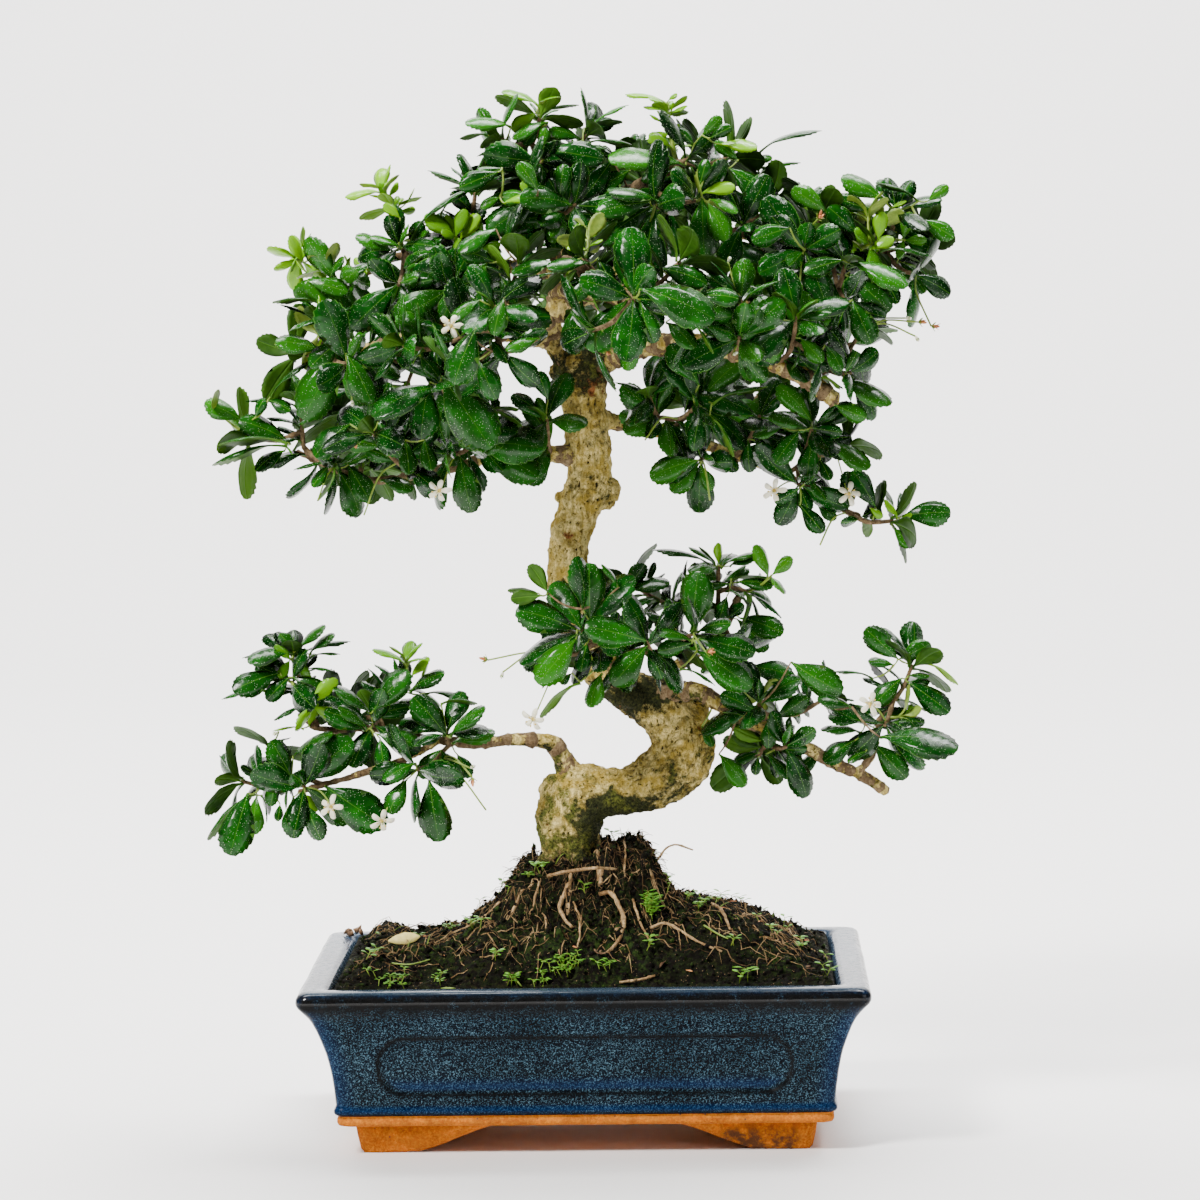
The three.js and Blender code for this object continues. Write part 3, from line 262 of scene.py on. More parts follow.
# How shoots and leaves grow, with the attempts that each may have taken.
BUD_SIDES = [0, 2, 1, 3]
LEAF_TRIES = [
    [0, 0, 1], [12, 0, 1], [-12, 0, 1], [0, -14, 1], [0, 14, 1], [24, -8, 1], [-24, -8, 1],
    [24, 12, 1], [-24, 12, 1], [12, -26, 1], [-12, -26, 1], [36, 0, 0.94], [-36, 0, 0.94],
    [0, -20, 0.88], [20, 24, 0.88], [-20, 24, 0.88], [36, -16, 0.88], [-36, -16, 0.88], [0, 32, 0.88],
    [20, -32, 0.8], [-20, -32, 0.8], [36, 18, 0.8], [-36, 18, 0.8], [0, 0, 0.7], [30, 26, 0.7],
    [-30, 26, 0.7], [30, -30, 0.7], [-30, -30, 0.7], [0, -40, 0.7], [0, 42, 0.7],
]
TWIG_TRIES = [
    [0, 0, 0], [0, -0.2, 0], [0.2, 0, 0], [-0.2, 0, 0], [0, 0.2, 0], [0, 0, 0.25], [0, 0, -0.2],
    [0.25, -0.25, 0.1], [-0.25, -0.25, 0.1], [0.25, 0.25, 0.1], [-0.25, 0.25, 0.1], [0, -0.4, 0.1],
    [0.4, 0, 0.1], [-0.4, 0, 0.1], [0, 0.4, 0.1], [0, 0, 0.45],
]


# Vectors, noise and the soil's height


def unit(v):
    return v / max(np.linalg.norm(v), 1e-12)


def vec(*numbers):
    return np.array(numbers, dtype=float)


def turned(v, axis, angle):
    """v turned about a unit axis."""
    c, s = math.cos(angle), math.sin(angle)
    return v * c + np.cross(axis, v) * s + axis * np.dot(axis, v) * (1 - c)


def smooth(low, high, x):
    t = min(max((x - low) / (high - low), 0.0), 1.0)
    return t * t * (3 - 2 * t)


def bell(x, width):
    """1 where x is 0, and close to 0 from twice the width on."""
    return math.exp(-((x / width) ** 2))


def bumps(x, y, z, size, octaves=3):
    """Fractal noise, about -1 to 1, with lumps of about that size."""
    return noise.fractal(Vector((x / size, y / size, z / size)), 0.7, 2.1, octaves)


def soil_height(x, y):
    inward = max(min(108 - abs(x), 73 - abs(y)), 0)
    rise = (25 + 0.05 * x) * (1 - math.exp(-inward / 17))
    cone = 27 * bell(math.hypot(x - 3, y * 1.1), 27)
    wave = math.sin(0.16 * x + 1) * math.cos(0.19 * y + 0.5)
    return 72 + rise + cone + 1.6 * wave * min(1, inward / 12)


def camera_axes():
    forward = vec(math.sin(YAW) * math.cos(PITCH), math.cos(YAW) * math.cos(PITCH), -math.sin(PITCH))
    flat = vec(math.cos(YAW), -math.sin(YAW), 0)
    rise = np.cross(flat, forward)
    right = flat * math.cos(ROLL) + rise * math.sin(ROLL)
    up = -flat * math.sin(ROLL) + rise * math.cos(ROLL)
    return right, up, forward


RIGHT, UP, FORWARD = camera_axes()


def ray(px, py):
    return unit(FORWARD * FOCAL + RIGHT * (px - PIXELS / 2) - UP * (py - PIXELS / 2))


def at_depth(px, py, y):
    """The point that a pixel shows at a given depth."""
    way = ray(px, py)
    return CAMERA_AT + way * ((y - CAMERA_AT[1]) / way[1])


def on_soil(px, py):
    """The point of the soil that a pixel shows."""
    way = ray(px, py)
    low, high = 1900.0, 2200.0
    for step in range(400):
        reach = low + (high - low) * step / 399
        point = CAMERA_AT + way * reach
        if abs(point[0]) < 108 and abs(point[1]) < 73 and point[2] <= mound(point[0], point[1]):
            return point
    return None


# Meshes


class Form:
    """A mesh in the making: points in millimetres, faces with a material each, and numbers on the points."""

    def __init__(self, *numbers):
        self.points = []
        self.faces = []
        self.slots = []
        self.numbers = {name: [] for name in numbers}

    def add(self, points, faces, slot=0, **numbers):
        first = len(self.points)
        self.points.extend(tuple(p) for p in points)
        self.faces.extend(tuple(first + i for i in face) for face in faces)
        if isinstance(slot, int):
            slot = [slot] * len(faces)
        self.slots.extend(slot)
        for name, kept in self.numbers.items():
            value = numbers.get(name, 0.0)
            kept.extend(value if isinstance(value, list) else [value] * len(points))

    def mesh(self, name):
        mesh = bpy.data.meshes.new(name)
        points = np.array(self.points) * 0.001 + SHIFT
        mesh.from_pydata(points.tolist(), [], self.faces)
        mesh.polygons.foreach_set("material_index", self.slots)
        mesh.polygons.foreach_set("use_smooth", [True] * len(self.faces))
        for label, values in self.numbers.items():
            flat = np.array(values, dtype=np.float32)
            kind = "FLOAT_VECTOR" if flat.ndim == 2 else "FLOAT"
            store = mesh.attributes.new(label, kind, "POINT")
            store.data.foreach_set("vector" if flat.ndim == 2 else "value", flat.ravel())
        mesh.update()
        return mesh


def piece(form, name, looks, slot, *nodes):
    """An object of the part from a form or a finished mesh, in place of the nodes that are named."""
    mesh = form.mesh(name) if isinstance(form, Form) else form
    for look in looks:
        mesh.materials.append(look)
    thing = bpy.data.objects.new(name, mesh)
    bpy.context.scene.collection.objects.link(thing)
    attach(thing, "root")
    if nodes:
        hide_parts(*nodes)
    return thing


def tube_rings(points, sides, grow=0.0, spin=0.0, wobble=None):
    """Rings across a centre line of [x, y, z, radius], each square to the line there."""
    centres = [np.array(p[:3], dtype=float) for p in points]
    last = len(centres) - 1
    tangents = [unit(centres[min(i + 1, last)] - centres[max(i - 1, 0)]) for i in range(last + 1)]
    side = vec(1, 0, 0) if abs(tangents[0][1]) > 0.9 else vec(0, 1, 0)
    rings = []
    for i, centre in enumerate(centres):
        side = unit(side - tangents[i] * np.dot(side, tangents[i]))
        other = np.cross(tangents[i], side)
        ring = []
        for k in range(sides):
            angle = spin + 2 * math.pi * k / sides
            reach = points[i][3] + grow
            if wobble:
                reach *= wobble(i, angle)
            ring.append(centre + side * reach * math.cos(angle) + other * reach * math.sin(angle))
        rings.append(ring)
    return rings


def ring_faces(rings, sides, first=0):
    faces = []
    for r in range(rings - 1):
        for k in range(sides):
            a, b = first + r * sides + k, first + r * sides + (k + 1) % sides
            faces.append((a, b, b + sides, a + sides))
    return faces


def add_tube(form, points, sides, slot=0, wobble=None, spin=0.0, **numbers):
    """A closed tube with a rounded far end."""
    rings = tube_rings(points, sides, 0.0, spin, wobble)
    flat = [p for ring in rings for p in ring]
    faces = ring_faces(len(rings), sides)
    before, middle = np.mean(rings[-2], axis=0), np.mean(rings[-1], axis=0)
    flat.append(middle + unit(middle - before) * points[-1][3] * 0.6)
    last = len(flat) - 1
    faces += [(last - sides + k, last - sides + (k + 1) % sides, last) for k in range(sides)]
    faces.append(tuple(reversed(range(sides))))
    form.add(flat, faces, slot, **numbers)


def curve_points(points, step):
    """A smooth line of [x, y, z, radius] through the given ones, with points about step apart."""
    p = np.array(points, dtype=float)
    padded = np.vstack([2 * p[0] - p[1], p, 2 * p[-1] - p[-2]])
    out = []
    for i in range(len(p) - 1):
        a, b, c, d = padded[i:i + 4]
        count = max(1, round(np.linalg.norm(c[:3] - b[:3]) / step))
        for k in range(count):
            t = k / count
            out.append(0.5 * (2 * b + (c - a) * t + (2 * a - 5 * b + 4 * c - d) * t * t
                              + (3 * b - a - 3 * c + d) * t ** 3))
    out.append(p[-1])
    return [list(q[:3]) + [max(q[3], 0.2)] for q in out]


# Materials


class Look:
    """A material made of nodes."""

    def __init__(self, name, **settings):
        self.material = bpy.data.materials.new(name)
        self.material.use_nodes = True
        self.tree = self.material.node_tree
        self.shader = self.tree.nodes["Principled BSDF"]
        for socket, value in settings.items():
            self.shader.inputs[socket.replace("_", " ")].default_value = value
        self.place = self.node("ShaderNodeTexCoord").outputs["Object"]

    def node(self, kind, inputs=None, **settings):
        node = self.tree.nodes.new(kind)
        for key, value in settings.items():
            setattr(node, key, value)
        for key, value in (inputs or {}).items():
            self.put(node.inputs[key], value)
        return node

    def put(self, socket, value):
        if isinstance(value, bpy.types.NodeSocket):
            self.tree.links.new(value, socket)
        else:
            socket.default_value = value

    def number(self, name):
        return self.node("ShaderNodeAttribute", attribute_name=name).outputs["Fac"]

    def vector(self, name):
        return self.node("ShaderNodeAttribute", attribute_name=name).outputs["Vector"]

    def scaled(self, place, scale):
        """The place in millimetres, stretched by the scale along each axis."""
        node = self.node("ShaderNodeVectorMath", {0: place, 1: scale}, operation="MULTIPLY")
        return node.outputs[0]

    def lumps(self, size, place):
        """The inputs of a texture with lumps of that size in millimetres."""
        if place is None:
            return {"Vector": self.place, "Scale": 1000.0 / size}
        return {"Vector": place, "Scale": 1.0 / size}

    def noise(self, size, detail=4.0, roughness=0.55, place=None):
        inputs = {**self.lumps(size, place), "Detail": detail, "Roughness": roughness}
        return self.node("ShaderNodeTexNoise", inputs).outputs["Fac"]

    def cells(self, size, place=None):
        return self.node("ShaderNodeTexVoronoi", self.lumps(size, place)).outputs["Distance"]

    def math(self, operation, a, b=0.0, clamp=False):
        return self.node("ShaderNodeMath", {0: a, 1: b}, operation=operation, use_clamp=clamp).outputs[0]

    def plus(self, a, b, clamp=False):
        return self.math("ADD", a, b, clamp)

    def times(self, a, b, clamp=False):
        return self.math("MULTIPLY", a, b, clamp)

    def span(self, value, low, high, start=0.0, end=1.0):
        """value mapped from low..high to start..end and held there."""
        inputs = {"Value": value, "From Min": low, "From Max": high, "To Min": start, "To Max": end}
        return self.node("ShaderNodeMapRange", inputs).outputs["Result"]

    def mix(self, share, a, b):
        node = self.node("ShaderNodeMix", data_type="RGBA")
        self.put(node.inputs[0], share)
        for socket, value in ((node.inputs[6], a), (node.inputs[7], b)):
            self.put(socket, value if isinstance(value, bpy.types.NodeSocket) else (*value, 1.0))
        return node.outputs[2]

    def blend(self, value, low, high, a, b):
        """Colour a up to the low value, b from the high one on and a mixture between."""
        return self.mix(self.span(value, low, high), a, b)

    def bump(self, height, distance, below=None):
        """Relief of that height in millimetres, on top of another."""
        inputs = {"Height": height, "Distance": distance * 0.001, "Strength": 1.0}
        if below is not None:
            inputs["Normal"] = below
        return self.node("ShaderNodeBump", inputs).outputs["Normal"]

    def finish(self, colour, roughness=None, normal=None, **others):
        self.put(self.shader.inputs["Base Color"], colour)
        if roughness is not None:
            self.put(self.shader.inputs["Roughness"], roughness)
        if normal is not None:
            self.put(self.shader.inputs["Normal"], normal)
        for socket, value in others.items():
            self.put(self.shader.inputs[socket.replace("_", " ")], value)
        return self.material


def glaze_look():
    """Dark blue glaze with a fine pale speckle, nearly black where it runs thin on edges, and with painted
    shade under the lip and along the sunken panel's step.
    """
    look = Look("glaze", Roughness=0.3, Coat_Roughness=0.04, IOR=1.12)
    thin, pool, shade = look.number("thin"), look.number("pool"), look.number("shade")
    grain = look.noise(0.75, 4.0, 0.75)
    fleck = look.noise(0.38, 3.0, 0.75)
    cloud = look.noise(26.0, 4.0, 0.6)
    deep = look.blend(cloud, 0.35, 0.68, (0.0004, 0.001, 0.002), (0.001, 0.003, 0.007))
    light = look.blend(cloud, 0.3, 0.7, (0.031, 0.08, 0.12), (0.088, 0.176, 0.238))
    speckle = look.plus(look.times(grain, 0.6), look.times(fleck, 0.4))
    mottled = look.blend(speckle, 0.536, 0.562, deep, light)
    blue = look.blend(grain, 0.38, 0.66, (0.0008, 0.006, 0.026), (0.006, 0.032, 0.105))
    pooled = look.mix(look.times(pool, 0.75, clamp=True), mottled, blue)
    # Nearly black where the glaze runs thin on the lip and foot, and painted shade in the band under the lip
    # and along the panel's step.
    darkened = look.times(thin, look.span(look.noise(5.0, 3.0), 0.2, 0.5, 0.35, 1.0), clamp=True)
    edged = look.mix(darkened, pooled, (0.004, 0.004, 0.004))
    top = look.blend(grain, 0.35, 0.7, (0.014, 0.03, 0.055), (0.055, 0.085, 0.12))
    colour = look.mix(shade, edged, top)
    rough = look.span(look.noise(3.0, 4.0), 0.3, 0.7, 0.16, 0.34)
    dimple = look.bump(look.noise(2.2, 3.0, 0.5), 0.12)
    pits = look.bump(look.span(look.cells(4.5), 0.0, 0.09), 0.18, below=dimple)
    # The lip's upper side, from 70 mm up, is glossy and its underside isn't.
    height = look.node("ShaderNodeSeparateXYZ", {"Vector": look.place}).outputs["Z"]
    lip = look.times(look.span(thin, 0.6, 1.0, 0.0, 0.42), look.span(height, 0.0694, 0.0706))
    clear = look.plus(lip, look.times(shade, 0.4), clamp=True)
    return look.finish(colour, rough, pits, Coat_Weight=look.plus(clear, 0.04, clamp=True))


def clay_look():
    """Bare fired clay, orange brown and stained."""
    look = Look("terracotta", Roughness=0.85, Specular_IOR_Level=0.1)
    cloud = look.noise(15.0, 5.0, 0.65)
    base = look.blend(cloud, 0.3, 0.7, (0.28, 0.052, 0.002), (0.72, 0.18, 0.007))
    grain = look.mix(look.span(look.noise(1.1, 4.0, 0.7), 0.4, 0.72), base, (0.80, 0.27, 0.014))
    blotch = look.span(look.noise(5.0, 5.0, 0.7), 0.35, 0.58)
    stain = look.times(look.number("stain"), blotch, clamp=True)
    stained = look.mix(stain, grain, (0.035, 0.022, 0.015))
    specks = look.span(look.cells(6.0), 0.05, 0.09)
    colour = look.mix(specks, (0.12, 0.05, 0.03), stained)
    relief = look.bump(look.noise(0.9, 5.0, 0.7), 0.25)
    return look.finish(colour, None, look.bump(look.noise(6.0, 3.0), 0.5, below=relief))


def soil_look():
    """Dark peat with lighter crumbs and a green bloom in places."""
    look = Look("soil", Roughness=0.95, Specular_IOR_Level=0.12)
    grain = look.noise(1.0, 6.0, 0.75)
    clod = look.noise(6.0, 5.0, 0.65)
    dark = look.blend(grain, 0.35, 0.7, (0.0007, 0.0005, 0.0004), (0.0065, 0.004, 0.002))
    brown = look.blend(grain, 0.4, 0.7, (0.0025, 0.0016, 0.0008), (0.026, 0.015, 0.007))
    base = look.blend(clod, 0.5, 0.7, dark, brown)
    green = look.blend(grain, 0.35, 0.7, (0.010, 0.028, 0.004), (0.055, 0.12, 0.015))
    spread = look.span(look.noise(3.0, 5.0, 0.7), 0.45, 0.6)
    bloom = look.times(look.number("moss"), spread, clamp=True)
    crumbs = look.span(look.cells(1.5), 0.1, 0.2, 1.0, 0.0)
    crumbly = look.times(crumbs, look.span(look.noise(4.0, 4.0, 0.7), 0.46, 0.56))
    pale = look.blend(grain, 0.4, 0.6, (0.10, 0.055, 0.022), (0.34, 0.23, 0.12))
    flecked = look.mix(crumbly, base, pale)
    colour = look.mix(bloom, flecked, green)
    wet = look.span(look.noise(4.0, 3.0), 0.5, 0.75, 0.95, 0.55)
    relief = look.bump(look.noise(0.7, 6.0, 0.8), 0.5)
    return look.finish(colour, wet, look.bump(look.cells(1.7), 0.5, below=relief))


def bark_look(name, pale, mid, dark):
    """Fissured bark. Its points carry how high they stand, and where moss, dark algae and scars are; the
    black of the algae is also painted shade where the trunk faces down or lies under its low bend.
    """
    look = Look(name, Roughness=0.88, Specular_IOR_Level=0.15)
    grain = look.noise(1.1, 6.0, 0.75)
    cloud = look.noise(7.0, 5.0, 0.65)
    pores = look.noise(2.6, 5.0, 0.7)
    base = look.blend(cloud, 0.4, 0.6, mid, pale)
    speckled = look.blend(grain, 0.38, 0.54, look.mix(0.5, base, dark), base)
    darkened = look.blend(pores, 0.34, 0.42, dark, speckled)
    height = look.number("height")
    cracked = look.blend(height, 0.12, 0.42, dark, darkened)
    fine = look.span(look.cells(2.6, look.scaled(look.place, (1000, 1000, 420))), 0.03, 0.2)
    some = look.plus(fine, look.span(look.noise(5.0, 4.0, 0.7), 0.40, 0.48, 0.0, 1.0), clamp=True)
    seams = look.noise(1.0, 5.0, 0.7, look.scaled(look.place, (1000, 1000, 190)))
    netted = look.mix(some, look.mix(0.7, cracked, dark), cracked)
    seamed = look.blend(seams, 0.6, 0.68, netted, look.mix(0.8, cracked, dark))
    streak = look.noise(1.5, 4.0, 0.65, look.scaled(look.place, (1000, 1000, 150)))
    brown = look.mix(0.35, look.mix(0.55, mid, dark), seamed)
    flecked = look.mix(look.span(streak, 0.45, 0.6, 0.0, 0.85), seamed, brown)
    patch = look.noise(3.2, 6.0, 0.72)
    # Black algae patches, which also stand for painted shade where the trunk faces down or lies under its low
    # bend.
    algae = look.span(look.plus(look.number("algae"), patch), 0.92, 1.12)
    black = look.blend(grain, 0.4, 0.65, (0.004, 0.005, 0.002), (0.045, 0.05, 0.012))
    with_algae_and_shade = look.mix(algae, flecked, black)
    moss = look.span(look.plus(look.number("moss"), look.noise(3.6, 6.0, 0.8)), 0.96, 1.14)
    olive = look.blend(grain, 0.4, 0.65, (0.014, 0.018, 0.003), (0.15, 0.16, 0.022))
    mossed = look.mix(moss, with_algae_and_shade, olive)
    scar = look.span(look.plus(look.number("scar"), patch), 0.95, 1.1)
    rusty = look.blend(grain, 0.35, 0.65, (0.05, 0.014, 0.004), (0.40, 0.15, 0.045))
    colour = look.mix(scar, mossed, rusty)
    relief = look.bump(grain, 0.6)
    return look.finish(colour, look.span(grain, 0.3, 0.7, 0.95, 0.75), look.bump(pores, 0.9, below=relief))


def leaf_look(name, under):
    """Glossy leaf with raised white dots and a fine midrib; the underside is paler and mat. A negative tone
    paints shade on leaves deep in the crown, and the top's edge has a painted highlight.
    """
    look = Look(name, Roughness=0.5 if under else 0.3, IOR=1.4, Specular_IOR_Level=0.22 if under else 0.34)
    place, tint = look.vector("place"), look.number("tint")
    parts = look.node("ShaderNodeSeparateXYZ", {"Vector": place})
    across, along = parts.outputs["X"], parts.outputs["Y"]
    aside = look.math("ABSOLUTE", across)
    cloud = look.noise(5.0, 3.0, 0.6, place)
    fine = look.noise(0.5, 3.0, 0.6, place)
    if under:
        mature = look.blend(cloud, 0.3, 0.7, (0.016, 0.06, 0.003), (0.036, 0.1, 0.006))
        young = (0.2, 0.41, 0.002)
    else:
        lot = look.span(look.noise(16.0, 1.0, 0.5, place), 0.32, 0.68)
        deep = look.blend(cloud, 0.3, 0.7, (0.0003, 0.009, 0.0006), (0.0012, 0.03, 0.0012))
        fresh = look.blend(cloud, 0.3, 0.7, (0.001, 0.032, 0.0008), (0.005, 0.095, 0.002))
        mature = look.mix(lot, deep, fresh)
        young = (0.17, 0.40, 0.0)
    middle = (0.022, 0.15, 0.003) if not under else (0.08, 0.2, 0.01)
    # Painted shade: a negative tone darkens leaves that posed ones stand before, nearly to black.
    crown_painted_shade = look.mix(look.span(tint, -0.6, -0.05, 1.0, 0.0), mature, (0.0002, 0.004, 0.0005))
    half = look.blend(tint, 0.0, 0.5, crown_painted_shade, middle)
    base = look.blend(tint, 0.45, 1.0, half, young)
    slant = look.math("SUBTRACT", along, look.times(aside, 0.75))
    ribs = look.math("ABSOLUTE", look.math("SINE", look.times(slant, 0.85)))
    vein = look.span(ribs, 0.0, 0.16, 1.0, 0.0)
    rib = look.span(aside, 0.08, 0.26, 1.0, 0.0)
    fade = look.span(along, 6.0, 26.0, 1.0, 0.3)
    pale = look.mix(look.times(vein, 0.1), base, (0.03, 0.15, 0.01))
    ribbed = look.mix(look.times(rib, look.times(fade, 0.5)), pale, (0.09, 0.25, 0.02))
    relief = look.bump(ribs, 0.05)
    if under:
        return look.finish(ribbed, None, look.bump(look.span(aside, 0.0, 0.7, 1.0, 0.0), 0.3, below=relief))
    # Painted highlight: a pale line along the edge of the leaf's top.
    edge_highlight = look.mix(look.span(look.number("edge"), 0.92, 0.99, 0.0, 0.5), ribbed, (0.10, 0.27, 0.035))
    dots = look.span(look.cells(0.85, place), 0.1, 0.2, 1.0, 0.0)
    some = look.span(look.noise(7.0, 2.0, 0.5, place), 0.25, 0.5, 0.45, 1.0)
    shown = look.times(look.times(dots, some), look.span(tint, 0.3, 0.8, 0.75, 0.1))
    colour = look.mix(shown, edge_highlight, (0.44, 0.57, 0.36))
    rough = look.span(fine, 0.3, 0.7, 0.13, 0.28)
    raised = look.bump(dots, 0.06, below=relief)
    mat = look.plus(rough, look.times(shown, 0.3))
    return look.finish(colour, mat, look.bump(fine, 0.03, below=raised))


def tender_look(name, low, high, roughness=0.5, size=2.0, **settings):
    """A soft part of the plant in two close colours."""
    look = Look(name, Roughness=roughness, **settings)
    colour = look.mix(look.span(look.noise(size, 4.0, 0.6), 0.3, 0.7), low, high)
    return look.finish(colour, None, look.bump(look.noise(0.5, 3.0), 0.1))


GLAZE = glaze_look()
CLAY = clay_look()
SOIL = soil_look()
BARK = bark_look("bark", (0.87, 0.70, 0.26), (0.46, 0.32, 0.055), (0.014, 0.009, 0.002))
TWIG_BARK = bark_look("twig_bark", (0.30, 0.21, 0.11), (0.15, 0.095, 0.045), (0.035, 0.02, 0.01))
ROOT = bark_look("root_bark", (0.68, 0.46, 0.23), (0.30, 0.17, 0.07), (0.014, 0.008, 0.004))
LEAF_TOP = leaf_look("leaf_top", False)
LEAF_UNDER = leaf_look("leaf_under", True)
STEM = tender_look("green_stem", (0.11, 0.20, 0.015), (0.26, 0.36, 0.035))
PETAL = tender_look("petal", (0.80, 0.74, 0.48), (0.93, 0.90, 0.72), 0.55, Subsurface_Weight=0.15)
ANTHER = tender_look("anther", (0.46, 0.32, 0.05), (0.72, 0.56, 0.16), 0.7)
WITHERED = tender_look("withered", (0.42, 0.10, 0.03), (0.70, 0.33, 0.12), 0.7)
WEED = tender_look("weed", (0.05, 0.22, 0.006), (0.18, 0.44, 0.02), 0.45)
YELLOW = tender_look("yellow_leaf", (0.62, 0.50, 0.12), (0.80, 0.68, 0.24), 0.6)
DEBRIS = tender_look("debris", (0.05, 0.024, 0.011), (0.24, 0.13, 0.06), 0.85)
PLASTIC = tender_look("screen_plastic", (0.012, 0.012, 0.012), (0.03, 0.03, 0.03), 0.55)


# The pot

# Half width and height of its outside, from the base up to the rim and down to the floor inside.
WALL = [
    (99, 13), (104, 13), (106.5, 13.1), (108.2, 13.7), (108.8, 14.8), (108.8, 16.4), (108.4, 17.4),
    (108.6, 17.9), (109.6, 18.5), (110.2, 19.4), (110.2, 20.5), (109.6, 21.5), (109.3, 22.6),
    (109.5, 25), (109.9, 28.5), (110.4, 32), (110.9, 35.5), (111.5, 39), (112.2, 42.5), (113, 46),
    (114.1, 49.5), (115.3, 53), (116.6, 56.5), (118.2, 60), (120.2, 63), (122.3, 65.6), (124.0, 67.6),
    (124.8, 69.2), (125, 70.6), (124.7, 72.2), (123.8, 73.6), (122.4, 74.6), (120.6, 75), (117, 74.9),
    (114.2, 74.9), (112.8, 74.5), (111.6, 73.6), (110.6, 72), (109.6, 68), (108.6, 61), (107, 50),
    (104, 40), (101, 30), (98, 21),
]
PANEL_ROWS = range(12, 25)
# The pot is this much less deep than wide, from the middle.
LESS_DEEP = 35
# The panel pressed into each side: its lower and upper edge, its round corners and half its width.
PANEL_LOW, PANEL_HIGH, PANEL_CORNER = 27.5, 53, 12
PANEL_FRONT, PANEL_END = 90, 55
# The underside, the floor inside and the two drain holes.
BASE, FLOOR = 13, 21
HOLE_AT, HOLE_RADIUS, HOLE_SIDES = 55, 11, 40
# The feet: half of what they measure across, their thickness, top, flare and round corner.
FOOT_X, FOOT_Y, FOOT_THICK = 99, 64, 10
FOOT_TOP, FOOT_FLARE, FOOT_CORNER = 13.4, 2.9, 4


def panel_distance(reach, z, half):
    """How far a point of the wall lies outside the rounded panel."""
    dx = abs(reach) - (half - PANEL_CORNER)
    dz = abs(z - (PANEL_LOW + PANEL_HIGH) / 2) - ((PANEL_HIGH - PANEL_LOW) / 2 - PANEL_CORNER)
    return math.hypot(max(dx, 0), max(dz, 0)) + min(max(dx, dz), 0) - PANEL_CORNER


def pot_form():
    form = Form("thin", "pool", "shade", "stain")
    profile = []
    for i in range(len(WALL) - 1):
        (h0, z0), (h1, z1) = WALL[i], WALL[i + 1]
        count = 3 if i in PANEL_ROWS else 1
        profile += [(h0 + (h1 - h0) * k / count, z0 + (z1 - z0) * k / count) for k in range(count)]
    profile.append(WALL[-1])
    # One line round the pot: a step about every 1.5 mm, each with its side and its place along it.
    corners = [(1, -1), (1, 1), (-1, 1), (-1, -1)]
    steps = []
    for c in range(4):
        start, end = corners[c], corners[(c + 1) % 4]
        count = 120 if c % 2 == 0 else 168
        for k in range(count):
            t = k / count
            steps.append((c, start[0] + (end[0] - start[0]) * t, start[1] + (end[1] - start[1]) * t))
    count = len(steps)
    rows = []
    for half, z in profile:
        row = []
        radius = 5.0 if z > 60 else 4.0
        deep = half - LESS_DEEP
        for _, u, v in steps:
            x, y = u * half, v * deep
            inx, iny = half - radius, deep - radius
            over_x, over_y = abs(x) - inx, abs(y) - iny
            if over_x > 0 and over_y > 0:
                # The corner is round: the point slides onto its arc.
                angle = math.atan2(over_y, over_x)
                x = math.copysign(inx + radius * math.cos(angle), x)
                y = math.copysign(iny + radius * math.sin(angle), y)
            row.append([x, y, z])
        rows.append(row)
    outer = next(i for i, (_, z) in enumerate(profile) if z >= 74.9)
    points, thin, pool, shade, stain = [], [], [], [], []
    for i, row in enumerate(rows):
        z = profile[i][1]
        outside = i < outer
        for j, (x, y, _) in enumerate(row):
            along_x = steps[j][0] % 2 == 1
            away = panel_distance(x, z, PANEL_FRONT) if along_x else panel_distance(y, z, PANEL_END)
            pressed = outside and 22 < z < 60
            sunk = 1.5 * smooth(1.1, -1.1, away) - 0.25 * bell(away - 1.6, 0.9) if pressed else 0
            n = bumps(x, y, z, 34) * 0.35 + bumps(x, y, z, 9) * 0.08
            if z < 13.05:
                n = 0
            push = n - sunk
            nx, ny = (0, math.copysign(1, y)) if along_x else (math.copysign(1, x), 0)
            if not outside:
                push = -n * 0.5
            points.append((x + nx * push, y + ny * push, z))
            lip = bell(z - 70.2, 1.9) if outside else 0
            # Painted shade along the step round the sunken panel, where the glaze also breaks thin over the
            # edge.
            edge = 1.3 * bell(away - 0.3, 1.0) if pressed else 0
            # Painted shade on the flare under the lip, where the glaze also runs thin: it darkens that band
            # through thin.
            lip_shade_and_thin_glaze = 0.8 * smooth(61, 68, z) if outside else 0
            foot = bell(z - 18.3, 0.8)
            thin.append(min(1.0, lip + edge + lip_shade_and_thin_glaze + foot))
            low_panel = smooth(-1, -3, away) * smooth(36, 29, z) if outside else 0
            ridge = bell(z - 20.6, 1.6) + bell(z - 73.8, 1.2)
            ends = smooth(0.9, 0.99, abs(steps[j][1 if along_x else 2])) * 0.7
            pool.append(min(1.0, low_panel + ridge + ends) if outside or z > 73 else 0.2)
            shade.append(smooth(74.2, 74.85, z) if not outside or z > 74 else 0)
            if not outside and z < 74.2:
                shade[-1] = 0.75
            stain.append(0.35)
    faces, slots = [], []
    for i in range(len(rows) - 1):
        bare = profile[i + 1][1] <= 18.0 and i < outer
        for j in range(count):
            a, b = i * count + j, i * count + (j + 1) % count
            faces.append((a, b, b + count, a + count))
            slots.append(1 if bare else 0)
    form.add(points, faces, slots, thin=thin, pool=pool, shade=shade, stain=stain)
    return form, count, len(rows)


